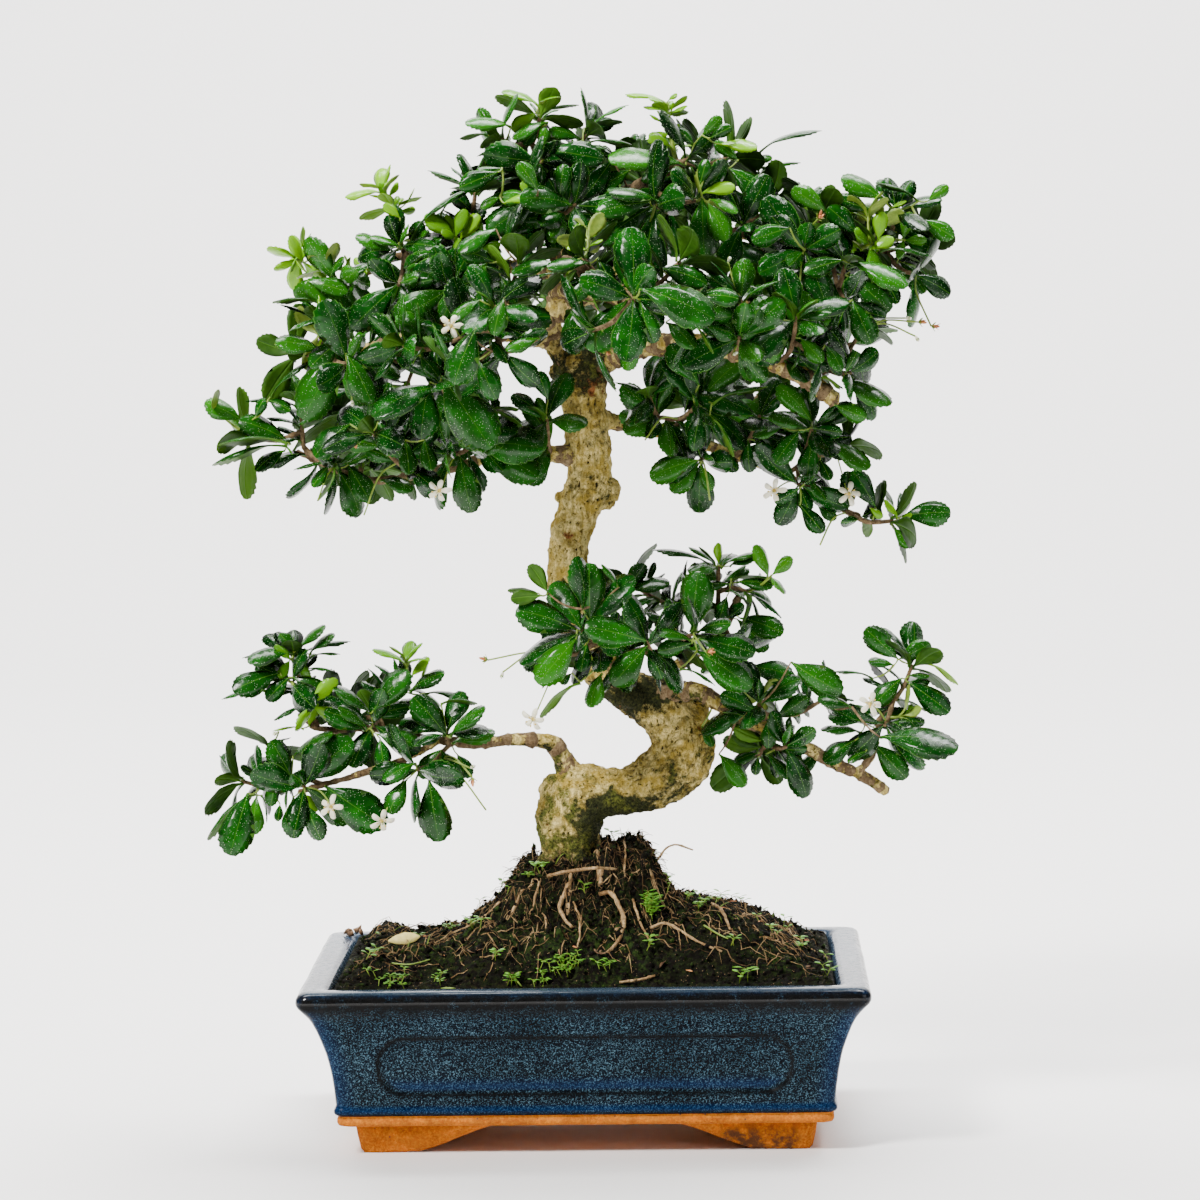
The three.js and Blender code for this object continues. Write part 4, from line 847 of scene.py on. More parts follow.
def outline_grid(form, ring, z, up, slot):
    """Fills a ring of the form with a sheet that leaves the two drain holes open."""
    mesh = bmesh.new()
    edge = [mesh.verts.new(Vector(form.points[i])) for i in ring]
    edges = [mesh.edges.new((edge[i], edge[(i + 1) % len(edge)])) for i in range(len(edge))]
    for side in (-1, 1):
        hole = []
        for k in range(HOLE_SIDES):
            angle = 2 * math.pi * k / HOLE_SIDES
            x, y = side * HOLE_AT + HOLE_RADIUS * math.cos(angle), HOLE_RADIUS * math.sin(angle)
            hole.append(mesh.verts.new((x, y, z)))
        edges += [mesh.edges.new((hole[i], hole[(i + 1) % HOLE_SIDES])) for i in range(HOLE_SIDES)]
    bmesh.ops.triangle_fill(mesh, edges=edges, use_beauty=True)
    mesh.verts.index_update()
    order = {vert: i for i, vert in enumerate(mesh.verts)}
    first = len(form.points)
    extra = len(mesh.verts) - len(ring)
    place = {i: ring[i] for i in range(len(ring))}
    place.update({len(ring) + k: first + k for k in range(extra)})
    new_points = [tuple(v.co) for v in list(mesh.verts)[len(ring):]]
    faces = []
    for face in mesh.faces:
        loop = [place[order[v]] for v in face.verts]
        if (face.normal.z > 0) != up:
            loop.reverse()
        faces.append(loop)
    mesh.free()
    form.points.extend(new_points)
    for kept in form.numbers.values():
        kept.extend([0.3] * extra)
    form.faces.extend(tuple(f) for f in faces)
    form.slots.extend([slot] * len(faces))
    return list(range(first, first + extra))


def add_feet(form):
    """Four bracket feet: a thick corner each, with an apron that sweeps up to the base on both sides."""
    def apron(t):
        """Height of the opening at a share of the way from the foot's end to the middle."""
        return BASE * (t * t * (3 - 2 * t)) ** 0.85

    for sx in (-1, 1):
        for sy in (-1, 1):
            for along_x in (True, False):
                full, face = (FOOT_X, FOOT_Y) if along_x else (FOOT_Y, FOOT_X)
                back = face - FOOT_THICK
                foot = full - 22
                curve = min(46, 0.85 * foot)
                stops = [full, full - 4, full - 8, full - 12, full - 17, foot + 2.4, foot + 0.8, foot]
                stops += [foot - curve * k / 14 for k in range(1, 15)]
                rings = []
                for at in stops:
                    low = 0.0 if at >= foot + 0.4 else apron((foot - at) / curve)
                    if foot - 0.2 < at < foot + 1.6:
                        low = 0.5
                    low = min(low, 12.7)
                    rise = FOOT_TOP - low
                    section = [(face - 0.7, low), (face + 0.35, low + rise * 0.08),
                               (face + 1.6, low + rise * 0.5)]
                    section += [(face + FOOT_FLARE, FOOT_TOP), (back, FOOT_TOP), (back, low + 0.35),
                                (back + 0.6, low)]
                    ring = []
                    for depth, z in section:
                        lengthen = FOOT_FLARE * z / FOOT_TOP if at > full - 0.5 else 0
                        reach = at + lengthen
                        x, y = (sx * reach, sy * depth) if along_x else (sx * depth, sy * reach)
                        ring.append((x, y, z))
                    rings.append(ring)
                flat = []
                for ring in rings:
                    for x, y, z in ring:
                        n = bumps(x, y, z, 7) * 0.3
                        # The foot's outer corner is round.
                        flare = FOOT_FLARE * z / FOOT_TOP
                        ox = abs(x) - (FOOT_X - FOOT_CORNER + flare)
                        oy = abs(y) - (FOOT_Y - FOOT_CORNER + flare)
                        if ox > 0 and oy > 0:
                            far = math.hypot(ox, oy)
                            if far > FOOT_CORNER:
                                x -= math.copysign(ox * (1 - FOOT_CORNER / far), x)
                                y -= math.copysign(oy * (1 - FOOT_CORNER / far), y)
                        flat.append((x, y + n, z) if along_x else (x + n, y, z))
                n = len(rings[0])
                faces = ring_faces(len(rings), n)
                faces += [tuple(range(n)), tuple(reversed([len(flat) - n + k for k in range(n)]))]
                # The front right foot is stained.
                stained = sx > 0 and sy < 0
                mark = [0.9 if stained and 60 < abs(p[0]) < 92 and p[2] < 9 else 0.3 for p in flat]
                if (sx * sy > 0) == along_x:
                    faces = [tuple(reversed(face)) for face in faces]
                form.add(flat, faces, 1, thin=0.0, pool=0.0, shade=0.0, stain=mark)


def build_pot():
    form, count, rows = pot_form()
    # The floor and the underside are closed round the two drain holes.
    floor = outline_grid(form, [(rows - 1) * count + j for j in range(count)], FLOOR, True, 0)
    base = outline_grid(form, list(range(count)), BASE, False, 1)
    for first in (0, HOLE_SIDES):
        for k in range(HOLE_SIDES):
            a, b = first + k, first + (k + 1) % HOLE_SIDES
            form.faces.append((floor[a], floor[b], base[b], base[a]))
            form.slots.append(1)
    add_feet(form)
    mesh = form.mesh("pot_fired")
    tidy = bmesh.new()
    tidy.from_mesh(mesh)
    bmesh.ops.recalc_face_normals(tidy, faces=tidy.faces)
    tidy.to_mesh(mesh)
    tidy.free()
    piece(mesh, "pot_fired", [GLAZE, CLAY], "glaze", "pot")


build_pot()
for node in ("drain_screen_left", "drain_screen_right"):
    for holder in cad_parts[node].material_slots:
        holder.material = PLASTIC


# The soil, with crumbs, fibres, roots and weeds


# Half the width and half the depth of the soil at the rim.
SOIL_X, SOIL_Y = 109.8, 74.8


def mound(x, y):
    """The soil's height with its clods."""
    inward = min(SOIL_X - abs(x), SOIL_Y - abs(y))
    low = 6.3 * smooth(-44, -60, x) * smooth(-97, -80, x) + 8 * smooth(50, 90, x) * smooth(108, 98, x)
    z = max(soil_height(x, y) - low, 74 + 0.45 * max(inward, 0) - 0.02 * inward * inward)
    # A ball of matted roots holds the foot of the trunk.
    side = bell(max(-24 - x, x - 25, 0), 14 if x < 0 else 9)
    top = 120 + 6 * smooth(-10, 6, x)
    z += max(0, top - z) * 0.95 * side * smooth(-27, -11, y) * smooth(44, 16, y)
    near = bell(math.hypot(x - 3, y), 46)
    rough = 0.6 + 0.9 * near + 0.5 * side
    lumps = bumps(x, y, 3, 10, 4) * 2.4 + abs(bumps(x, y, 9, 4.4, 3)) * 3.4 - 1.1
    lumps += bumps(x, y, 5, 2.1, 2) * 1.5
    return z + lumps * rough * smooth(-2, 6, inward) + 0.7 * bumps(x, y, 2, 5, 3) * smooth(6, 0, inward)


# Where the soil is wet and green: middle and radius.
WET = [
    (-58, -30, 22), (12, -52, 20), (50, -20, 16), (-20, -45, 14), (85, -52, 12), (-90, -20, 14), (0, 50, 25),
]
# The radius of the soil's round corners, and half its width at two levels down to the pot's floor.
SOIL_CORNER = 6
SOIL_LEVELS = ((106.3, 50), (97.4, 22.7))


def build_soil():
    form = Form("moss")
    step = 0.95
    nx, ny = round(216 / step), round(145 / step)
    points, moss = [], []
    for j in range(ny + 1):
        for i in range(nx + 1):
            x, y = SOIL_X * (2 * i / nx - 1), SOIL_Y * (2 * j / ny - 1)
            rim = i in (0, nx) or j in (0, ny)
            z = 72.5 if rim else mound(x, y)
            # The corners follow the round ones of the pot.
            start_x, start_y = SOIL_X - SOIL_CORNER, SOIL_Y - SOIL_CORNER
            over_x, over_y = abs(x) - start_x, abs(y) - start_y
            if over_x > 0 and over_y > 0:
                shrink = max(over_x, over_y) / math.hypot(over_x, over_y)
                x = math.copysign(start_x + over_x * shrink, x)
                y = math.copysign(start_y + over_y * shrink, y)
            points.append((x, y, z))
            green = sum(bell(math.hypot(x - a, y - b), r) for a, b, r in WET)
            moss.append(min(0.9, 0.15 + 0.5 * green))
    faces = []
    for j in range(ny):
        for i in range(nx):
            a = j * (nx + 1) + i
            faces.append((a, a + 1, a + nx + 2, a + nx + 1))
    border = list(range(nx)) + [nx + j * (nx + 1) for j in range(ny)]
    border += [ny * (nx + 1) + i for i in range(nx, 0, -1)] + [j * (nx + 1) for j in range(ny, 0, -1)]
    first = len(points)
    for half, z in SOIL_LEVELS:
        for k in border:
            x, y, _ = points[k]
            points.append((x * half / SOIL_X, y * (half - LESS_DEEP) / SOIL_Y, z))
            moss.append(0)
    n = len(border)
    for k in range(n):
        a, b = border[k], border[(k + 1) % n]
        c, d = first + k, first + (k + 1) % n
        faces.append((b, a, c, d))
        faces.append((d, c, c + n, d + n))
    faces.append(tuple(first + n + k for k in range(n - 1, -1, -1)))
    form.add(points, faces, 0, moss=moss)
    piece(form, "soil_ball", [SOIL], "soil", "soil")


def crumb(form, at, size, slot=0, **numbers):
    """A small angular lump."""
    spin = unit(vec(chance.uniform(-1, 1), chance.uniform(-1, 1), chance.uniform(-1, 1)))
    angle = chance.uniform(0, 6.28)
    corners = [(1, 0, 0), (-1, 0, 0), (0, 1, 0), (0, -1, 0), (0, 0, 1), (0, 0, -1)]
    shape = vec(chance.uniform(0.6, 1.5), chance.uniform(0.5, 1.2), chance.uniform(0.4, 0.9)) * size
    points = [at + turned(vec(*c) * shape * chance.uniform(0.8, 1.2), spin, angle) for c in corners]
    faces = [(0, 2, 4), (2, 1, 4), (1, 3, 4), (3, 0, 4), (2, 0, 5), (1, 2, 5), (3, 1, 5), (0, 3, 5)]
    form.add(points, faces, slot, **numbers)


def ground_point(reach=1.0):
    x, y = chance.uniform(-107, 107) * reach, chance.uniform(-72, 72) * reach
    return vec(x, y, mound(x, y))


def build_crumbs():
    form = Form("moss")
    for _ in range(7000):
        if chance.random() < 0.4:
            x, y = chance.gauss(4, 26), chance.gauss(-6, 24)
            if abs(x) > 104 or abs(y) > 70:
                continue
            at = vec(x, y, mound(x, y))
        else:
            at = ground_point()
        size = chance.choice([0.4, 0.5, 0.7, 0.9, 1.2, 1.6])
        crumb(form, at + vec(0, 0, size * 0.3), size, 0, moss=chance.choice([0, 0.2, 0.6]))
    piece(form, "soil_crumbs", [SOIL], "soil")


def surface_path(x, y, way, length, lift):
    """Points along the mound from (x, y), wandering as they go."""
    sway, step = 0.5, 2.2
    out = []
    gone = 0.0
    while gone < length:
        if abs(x) > 105 or abs(y) > 70:
            break
        out.append([x, y, mound(x, y) + lift])
        gone += math.dist(out[-1], out[-2]) if len(out) > 1 else 0
        way += chance.uniform(-sway, sway)
        x += step * math.cos(way)
        y += step * math.sin(way)
    return out


def build_fibres():
    """Fine roots and straw lying on the mound, most of them near the trunk."""
    form = Form("height", "algae", "moss", "scar")
    for number in range(1100):
        close = number % 5 < 2
        if close:
            angle = chance.uniform(0, 6.28)
            far = abs(chance.gauss(0, 24)) + 8
            x, y = 3 + far * math.cos(angle), far * math.sin(angle)
            way = angle + chance.gauss(0, 1.2)
        else:
            x, y = chance.uniform(-98, 98), chance.uniform(-64, 64)
            way = chance.uniform(0, 6.28)
        if abs(x) > 100 or abs(y) > 66:
            continue
        path = surface_path(x, y, way, chance.uniform(6, 20 if close else 16), chance.uniform(0.2, 0.8))
        if len(path) < 3:
            continue
        thick = chance.choice([0.13, 0.16, 0.2, 0.26, 0.34]) * (0.75 if close else 1)
        dull = close and chance.random() < 0.72
        bright = chance.uniform(-0.05, 0.28) if dull else chance.uniform(0.15, 1.0)
        rise = chance.uniform(0, 2.6)
        points = []
        for i, (px, py, pz) in enumerate(path):
            bow = rise * math.sin(math.pi * i / (len(path) - 1))
            points.append([px, py, pz + bow, thick * (1.1 - 0.7 * i / len(path))])
        algae, scar = chance.uniform(0, 0.35), chance.uniform(0, 0.3)
        add_tube(form, points, 3, 0, height=bright, algae=algae, moss=0.0, scar=scar)
    # Hair roots that curl off the top of the mound.
    for _ in range(300):
        angle = chance.uniform(0, 6.28)
        far = chance.uniform(10, 42)
        x, y = 4 + far * math.cos(angle), 0.7 * far * math.sin(angle)
        z = mound(x, y)
        out = vec(math.cos(angle), math.sin(angle), chance.uniform(0.1, 1.0))
        points = []
        at = vec(x, y, z - 0.5)
        for i in range(6):
            points.append([*at, 0.2 - 0.02 * i])
            out = unit(out + vec(chance.uniform(-0.5, 0.5), chance.uniform(-0.5, 0.5), -0.25))
            at = at + out * chance.uniform(1.0, 1.9)
        add_tube(form, points, 3, 0, height=0.2, algae=0.2, moss=0.0, scar=0.1)
    piece(form, "root_fibres", [ROOT], "bark")


# The roots that show on the soil: the pixels along each, and its radius.
SURFACE_ROOTS = [
    ([(571, 878), (570, 889), (563, 901), (560, 914), (566, 926), (572, 933)], 1.3),
    ([(599, 900), (611, 903), (620, 912), (624, 927), (619, 943), (608, 957)], 1.25),
    ([(540, 884), (537, 895), (534, 906), (530, 916)], 0.8),
    ([(574, 905), (580, 925), (578, 950)], 0.6),
    ([(624, 846), (626, 860), (624, 872), (625, 884)], 0.55),
    ([(542, 916), (546, 925), (545, 942)], 0.5),
    ([(633, 905), (640, 925), (650, 945)], 0.7),
    ([(505, 868), (520, 862), (540, 862)], 0.8),
    ([(650, 930), (665, 928), (680, 934), (700, 945), (722, 955)], 0.8),
    ([(712, 906), (722, 915), (730, 932)], 0.9),
    ([(620, 988), (640, 982), (655, 978)], 0.9),
    ([(500, 905), (488, 915), (470, 928), (452, 936)], 0.6),
]
# One root crosses in front of the trunk's foot: the pixels along it, with their depth.
CROSSING_ROOT = [(548, 876, -19), (560, 873, -25), (578, 870, -27.5), (597, 868, -27), (616, 869, -19)]


def root_routes():
    routes = [[[*at_depth(*spot), 1.0] for spot in CROSSING_ROOT]]
    for pixels, radius in SURFACE_ROOTS:
        found = [on_soil(*pixel) for pixel in pixels]
        # They are half buried.
        routes.append([[x, y, mound(x, y) + radius * 1.1, radius] for x, y, _ in
                       (at for at in found if at is not None)])
    return [route for route in routes if len(route) >= 3]


def build_roots():
    """The roots that show: knobbly and tan."""
    form = Form("height", "algae", "moss", "scar")
    for route in root_routes():
        line = curve_points(route, 1.4)
        knob = chance.uniform(0, 9)
        for i, q in enumerate(line):
            q[3] *= 0.85 + 0.35 * noise.noise(Vector((i * 0.5, knob, 0)))
            q[3] *= 1 - 0.35 * (i / len(line)) ** 2
            q[0] += 0.5 * noise.noise(Vector((i * 0.35, knob, 5)))

        def knobbly(i, a):
            return 1 + 0.16 * noise.noise(Vector((i * 0.6, 2 * math.cos(a), 2 * math.sin(a) + knob)))

        sides = 8
        high = []
        for i in range(len(line)):
            high += [0.75 + 0.5 * noise.noise(Vector((i * 0.9, k, knob))) for k in range(sides)]
        add_tube(form, line, sides, 0, knobbly, height=high + [0.5], algae=0.1, moss=0.05, scar=0.2)
    piece(form, "surface_roots", [ROOT], "bark")


def leaflet(form, root, along, normal, length, half, slot=0, bend=0.2, thickness=0.16, **numbers):
    """A small closed oval leaf."""
    across = unit(np.cross(normal, along))
    shape = [(0.0, 0.12), (0.25, 0.7), (0.55, 1.0), (0.82, 0.7), (1.0, 0.08)]
    points = []
    for side in (1, -1):
        for s, w in shape:
            lift = -bend * length * s * s + (thickness / 2) * side
            centre = root + along * s * length + normal * lift
            ridge = centre + normal * 0.06 * length * w * 0.5
            points += [centre - across * w * half, ridge, centre + across * w * half]
    faces = []
    n = len(shape) * 3
    for i in range(len(shape) - 1):
        a = i * 3
        faces += [(a, a + 1, a + 4, a + 3), (a + 1, a + 2, a + 5, a + 4)]
        b = a + n
        faces += [(b + 1, b, b + 3, b + 4), (b + 2, b + 1, b + 4, b + 5)]
        faces += [(a + 3, b + 3, b, a), (a + 2, b + 2, b + 5, a + 5)]
    faces += [(0, n, n + 1, 1), (1, n + 1, n + 2, 2)]
    e = n - 3
    faces += [(e + 1, e + n + 1, e + n, e), (e + 2, e + n + 2, e + n + 1, e + 1)]
    form.add(points, faces, slot, **numbers)


def weed(form, at, size, leaves):
    """A seedling: a short leaning stem with pairs of small leaves."""
    lean = 0.5
    lean_way = chance.uniform(0, 6.28)
    up = unit(vec(lean * math.cos(lean_way), lean * math.sin(lean_way), 1.0))
    top = at + up * size * 1.3
    add_tube(form, [[*(at - up * 0.8), 0.22], [*(at + up * size * 0.6), 0.2], [*top, 0.16]], 4, 1)
    for k in range(leaves):
        angle = 2.4 * k + chance.uniform(-0.4, 0.4)
        share = 1 - 0.45 * (k // 2) / max(1, leaves // 2)
        way = unit(vec(math.cos(angle), math.sin(angle), chance.uniform(0.15, 0.7)))
        root = at + up * size * 1.3 * share
        normal = unit(vec(0, 0, 1) - way * way[2])
        stalk = root + way * size * 0.4
        add_tube(form, [[*root, 0.14], [*stalk, 0.12]], 3, 1)
        length, half = size * chance.uniform(0.7, 1.05), size * chance.uniform(0.25, 0.38)
        leaflet(form, stalk, way, normal, length, half, 0, 0.25)


# Clumps of weeds: the pixel, the size of a seedling, how many there are and over how many pixels.
WEED_SPOTS = [
    (650, 903, 3.2, 5, 4.5), (645, 912, 2.8, 9, 6), (654, 915, 2.6, 9, 5), (560, 972, 2.4, 12, 8),
    (548, 982, 2.4, 8, 6), (572, 966, 2.2, 8, 6), (541, 876, 3.4, 3, 3), (583, 896, 3.0, 2, 2),
    (503, 893, 3.6, 2, 3), (478, 930, 3.4, 2, 3), (470, 928, 3.0, 2, 3), (494, 962, 3.4, 2, 2),
    (512, 984, 3.6, 3, 4), (606, 970, 3.4, 3, 3), (648, 948, 3.4, 2, 2), (742, 982, 4.0, 3, 4),
    (708, 905, 3.2, 4, 7), (700, 912, 2.6, 4, 6), (737, 947, 3.0, 2, 3), (830, 975, 3.8, 3, 4),
    (828, 962, 3.0, 2, 3), (372, 960, 3.4, 2, 4), (378, 985, 2.2, 5, 8), (392, 988, 2.2, 5, 7),
    (404, 978, 2.2, 3, 6), (362, 935, 3.0, 2, 4), (440, 985, 2.4, 3, 6), (615, 845, 3.6, 1, 1),
    (527, 880, 2.6, 2, 2), (667, 884, 2.6, 2, 3), (690, 900, 2.6, 2, 4), (775, 935, 2.6, 2, 4),
    (805, 950, 2.4, 2, 4), (455, 905, 2.4, 2, 4),
]
# Blades of grass: the pixels along each, how far it stands up and its thickness.
GRASS = [
    ([(512, 978), (520, 990), (527, 1003), (532, 1014)], 6, 0.5),
    ([(704, 928), (718, 938), (728, 944)], 3, 0.45),
    ([(392, 966), (410, 968), (430, 964)], 2, 0.4),
]


def build_weeds():
    form = Form()
    for px, py, size, count, spread in WEED_SPOTS:
        for _ in range(count):
            at = on_soil(px + chance.gauss(0, spread), py + chance.gauss(0, spread * 0.6))
            if at is not None:
                at[2] = mound(at[0], at[1])
                weed(form, at, size * chance.uniform(0.7, 1.1), chance.choice([2, 4, 4, 6]))
    # Behind the trunk, where the photograph doesn't show, they grow as thinly as in front.
    for _ in range(40):
        x, y = chance.uniform(-98, 98), chance.uniform(5, 64)
        weed(form, vec(x, y, mound(x, y)), chance.uniform(1.6, 3.2), chance.choice([2, 4]))
    piece(form, "weeds", [WEED, STEM], "leaf")
    blades = Form()
    for pixels, proud, thick in GRASS:
        foot = on_soil(*pixels[0])
        points = []
        for k, (px, py) in enumerate(pixels):
            at = on_soil(px, py)
            if at is None:
                at = at_depth(px, py, foot[1] - 3.0 * k)
            points.append([at[0], at[1], at[2] + 1.2 + proud * 0.2 * k, thick * (1 - 0.16 * k)])
        add_tube(blades, curve_points(points, 2.0), 5, 0)
    for _ in range(16):
        at = ground_point(0.9)
        lean = unit(vec(chance.gauss(0, 0.5), chance.gauss(0, 0.5), 0.7))
        points = [[*(at + lean * 2.2 * k + vec(0, 0, -0.16 * k * k)), 0.24 - 0.03 * k] for k in range(6)]
        add_tube(blades, points, 4, 0)
    piece(blades, "grass_blades", [STEM], "leaf")


# Pixels of what has fallen: a yellow leaf, a green one and clumps of bark bits.
YELLOW_LEAF_AT = (404, 944)
GREEN_LEAF_AT = (447, 990)
BARK_BITS_AT = ((474, 955), (708, 976), (601, 956), (660, 972))


def build_litter():
    """Fallen leaves, bits of bark on the soil and the rim, and pink sprout tips."""
    form = Form()
    root = on_soil(*YELLOW_LEAF_AT) + vec(-7, -1.5, 1.6)
    leaflet(form, root, unit(vec(1, 0.1, 0.16)), unit(vec(-0.1, -0.8, 0.6)), 14.5, 3.2, 0, 0.08, 0.3)
    root = on_soil(*GREEN_LEAF_AT) + vec(-4, 0, 1.0)
    leaflet(form, root, unit(vec(1, -0.1, 0.0)), vec(0, 0, 1), 8, 1.8, 2, 0.02, 0.3)
    for pixel in BARK_BITS_AT:
        at = on_soil(*pixel)
        if at is None:
            continue
        for _ in range(3):
            way = unit(vec(chance.gauss(0, 1), chance.gauss(0, 1), 0.5))
            root = vec(at[0], at[1], mound(at[0], at[1]) + 0.4)
            length, half = chance.uniform(2.5, 4.5), chance.uniform(0.8, 1.5)
            leaflet(form, root, way, unit(np.cross(way, vec(0.3, 1, 0))), length, half, 1, 0.3)
    for k in range(9):
        at = vec(-113 + chance.gauss(0, 2.5), 74 + chance.gauss(0, 2.5), 76 + 0.8 * (k % 3))
        crumb(form, at, chance.uniform(1.2, 2.6), 1)
    for _ in range(60):
        root = ground_point() + vec(0, 0, 0.8)
        way = unit(vec(chance.gauss(0, 1), chance.gauss(0, 1), 0.15))
        normal = unit(vec(0, 0, 1) - way * way[2])
        length, half = chance.uniform(2, 5), chance.uniform(0.4, 1.2)
        leaflet(form, root, way, normal, length, half, chance.choice([1, 1, 3]), 0.2)
    piece(form, "litter", [YELLOW, DEBRIS, STEM, WITHERED], "bark")


build_soil()
build_crumbs()
build_fibres()
build_roots()
build_weeds()
build_litter()


# The wood

# Craters of lost branches on the trunk: middle, radius.
KNOTS = [
    ((-6, -9.5, 267), 5.2), ((10, -8, 341), 3.6), ((14, -2, 287), 4.2), ((44, -13, 172), 3.2),
    ((-18, -11, 137), 2.6), ((-8, -15, 124), 2.2), ((30, -12, 160), 2.6), ((52, -8, 180), 2.6),
    ((6, -9, 331), 3.0), ((-2, -10, 322), 2.4),
]
# Swellings of the trunk: middle, radius.
SWELLINGS = [
    ((12.8, -1, 287), 4.4), ((-9.5, 2, 284), 2.8), ((11, 2, 281), 3.7), ((-10, -6, 268), 4.0),
    ((-2, -10, 344), 4), ((48, 4, 186), 8), ((-14, 2, 152), 7), ((33, -6, 150), 6.5), ((-17, -5, 118), 6),
    ((8, -6, 106), 9), ((8, 4, 345), 5), ((-9, 2, 340), 5), ((-16, 0, 108), 7), ((52, -4, 168), 6),
    ((22, -6, 194), 5.5),
]
# The collar of a branch: distance from its root, and share of its radius there.
COLLAR = ((0, 1.1), (4, 1.05), (9, 0.85), (14, 0.66))
# Branches thinner than this are left to the mesh of the outer branches.
THIN = 2.3


def random_pit():
    return Vector((chance.uniform(-25, 60), chance.uniform(-18, 18), chance.uniform(88, 348)))


PITS = [random_pit() for _ in range(200)]


def knob(form, at, radius):
    """A rough ball, to be merged with the wood."""
    mesh = bmesh.new()
    bmesh.ops.create_icosphere(mesh, subdivisions=2, radius=radius)
    points = [np.array(v.co) + vec(*at) for v in mesh.verts]
    faces = [[v.index for v in face.verts] for face in mesh.faces]
    mesh.free()
    form.add(points, faces)


def trunk_wobble(i, a):
    return 1 + 0.05 * math.sin(3 * a + 0.08 * i) + 0.03 * math.sin(5 * a - 0.11 * i)


def wood_form():
    form = Form()
    line = curve_points(TRUNK, 2.0)
    add_tube(form, line, 28, 0, trunk_wobble)
    for path in BRANCHES.values():
        thick = [q for q in path if q[3] > THIN] or path[:2]
        if len(thick) < len(path):
            thick = path[:len(thick) + 1]
        add_tube(form, curve_points(thick, 2.0), 12, 0)
        # A collar where it leaves the wood.
        start, second = vec(*path[0][:3]), vec(*path[1][:3])
        way = unit(second - start)
        collar = [[*(start + way * s), path[0][3] * share] for s, share in COLLAR]
        add_tube(form, collar, 12, 0)
    for path in ROOTS[:2]:
        add_tube(form, curve_points(path, 3.0), 10, 0)
    for at, radius in SWELLINGS:
        knob(form, at, radius)
    # A ring of callus under the old cut, sloping as the cut does.
    callus = 20
    for k in range(callus):
        angle = 2 * math.pi * k / callus
        knob(form, (1 + 9.6 * math.cos(angle), 9.4 * math.sin(angle), 343 + 1.4 * math.cos(angle + 0.6)), 2.4)
    return form


def merged_wood():
    """The wood's tubes and balls as one closed mesh."""
    rough = wood_form().mesh("wood_rough")
    holder = bpy.data.objects.new("wood_rough", rough)
    bpy.context.scene.collection.objects.link(holder)
    shape = holder.modifiers.new("one_body", "REMESH")
    shape.mode = "VOXEL"
    shape.voxel_size = 0.00092
    shape.adaptivity = 0.0
    graph = bpy.context.evaluated_depsgraph_get()
    solid = bpy.data.meshes.new_from_object(holder.evaluated_get(graph))
    bpy.data.objects.remove(holder)
    return solid


def tree_of(points):
    tree = KDTree(len(points))
    for i, point in enumerate(points):
        tree.insert(Vector(point), i)
    tree.balance()
    return tree


# The trunk's centre line, to run the bark's fissures along it.
CENTRE_LINE = [vec(*q[:3]) for q in curve_points(TRUNK, 2.0)]
CENTRE_TREE = tree_of(CENTRE_LINE)
PIT_TREE = tree_of(PITS)


def bark_relief(at, far, index):
    """How far the bark stands out at a point, how bright it is and how red."""
    x, y, z = at
    i = min(max(index, 1), len(CENTRE_LINE) - 2)
    run = unit(CENTRE_LINE[i + 1] - CENTRE_LINE[i - 1])
    away = np.array(at) - CENTRE_LINE[index]
    slide = float(np.dot(away, run))
    arc = index * 2.0 + slide
    flat = away - run * slide
    # Fissures run along the trunk: the noise is stretched that way.
    long = Vector(flat * 0.42 + run * arc * 0.085)
    ridge = 1 - 2.2 * abs(noise.noise(long + Vector((7, 3, 1))))
    fine = noise.noise(Vector(flat * 1.1 + run * arc * 0.3))
    lump = noise.noise(at / 12.0) * 1.1 + noise.noise(at / 4.6) * 0.8
    plates = noise.noise(Vector((x / 2.2, y / 2.2, z / 3.0))) * 0.55 + noise.noise(at / 1.3) * 0.2
    gaps = abs(noise.noise(Vector((x / 3.4, y / 3.4, z / 4.4)) + Vector((9, 1, 5))))
    up = lump * 0.8 + max(ridge, -0.9) * 0.42 + fine * 0.35 + plates - 0.8 * max(0, 0.12 - gaps) / 0.12
    # Across the trunk run low ridges.
    up += noise.noise(Vector((arc * 0.33, far * 0.02, 4))) * 0.4 * smooth(30, 20, far)
    shade = 0.54 + 0.34 * ridge + 0.6 * fine + 0.55 * plates - 0.5 * max(0, 0.1 - gaps) / 0.1
    red = 0.0
    for middle, radius in KNOTS:
        d = math.dist(at, middle)
        if d < radius * 2:
            up += 1.1 * bell(d - radius, radius * 0.28) - 1.3 * bell(d, radius * 0.55)
            broken = smooth(-0.2, 0.35, noise.noise(at / 3.0 + Vector((3, 8, 1))))
            shade += 0.5 * bell(d - radius * 0.75, radius * 0.3)
            shade -= 0.55 * broken * bell(d - radius * 1.2, radius * 0.15) + 0.6 * bell(d, radius * 0.3)
            red = max(red, 0.5 * bell(d, radius * 0.55))
    _, _, pit = PIT_TREE.find(at)
    if pit < 2.6:
        up += 0.7 * bell(pit - 1.3, 0.5) - 0.9 * bell(pit, 0.8)
        shade -= 0.8 * bell(pit, 0.7)
    return up, shade, red


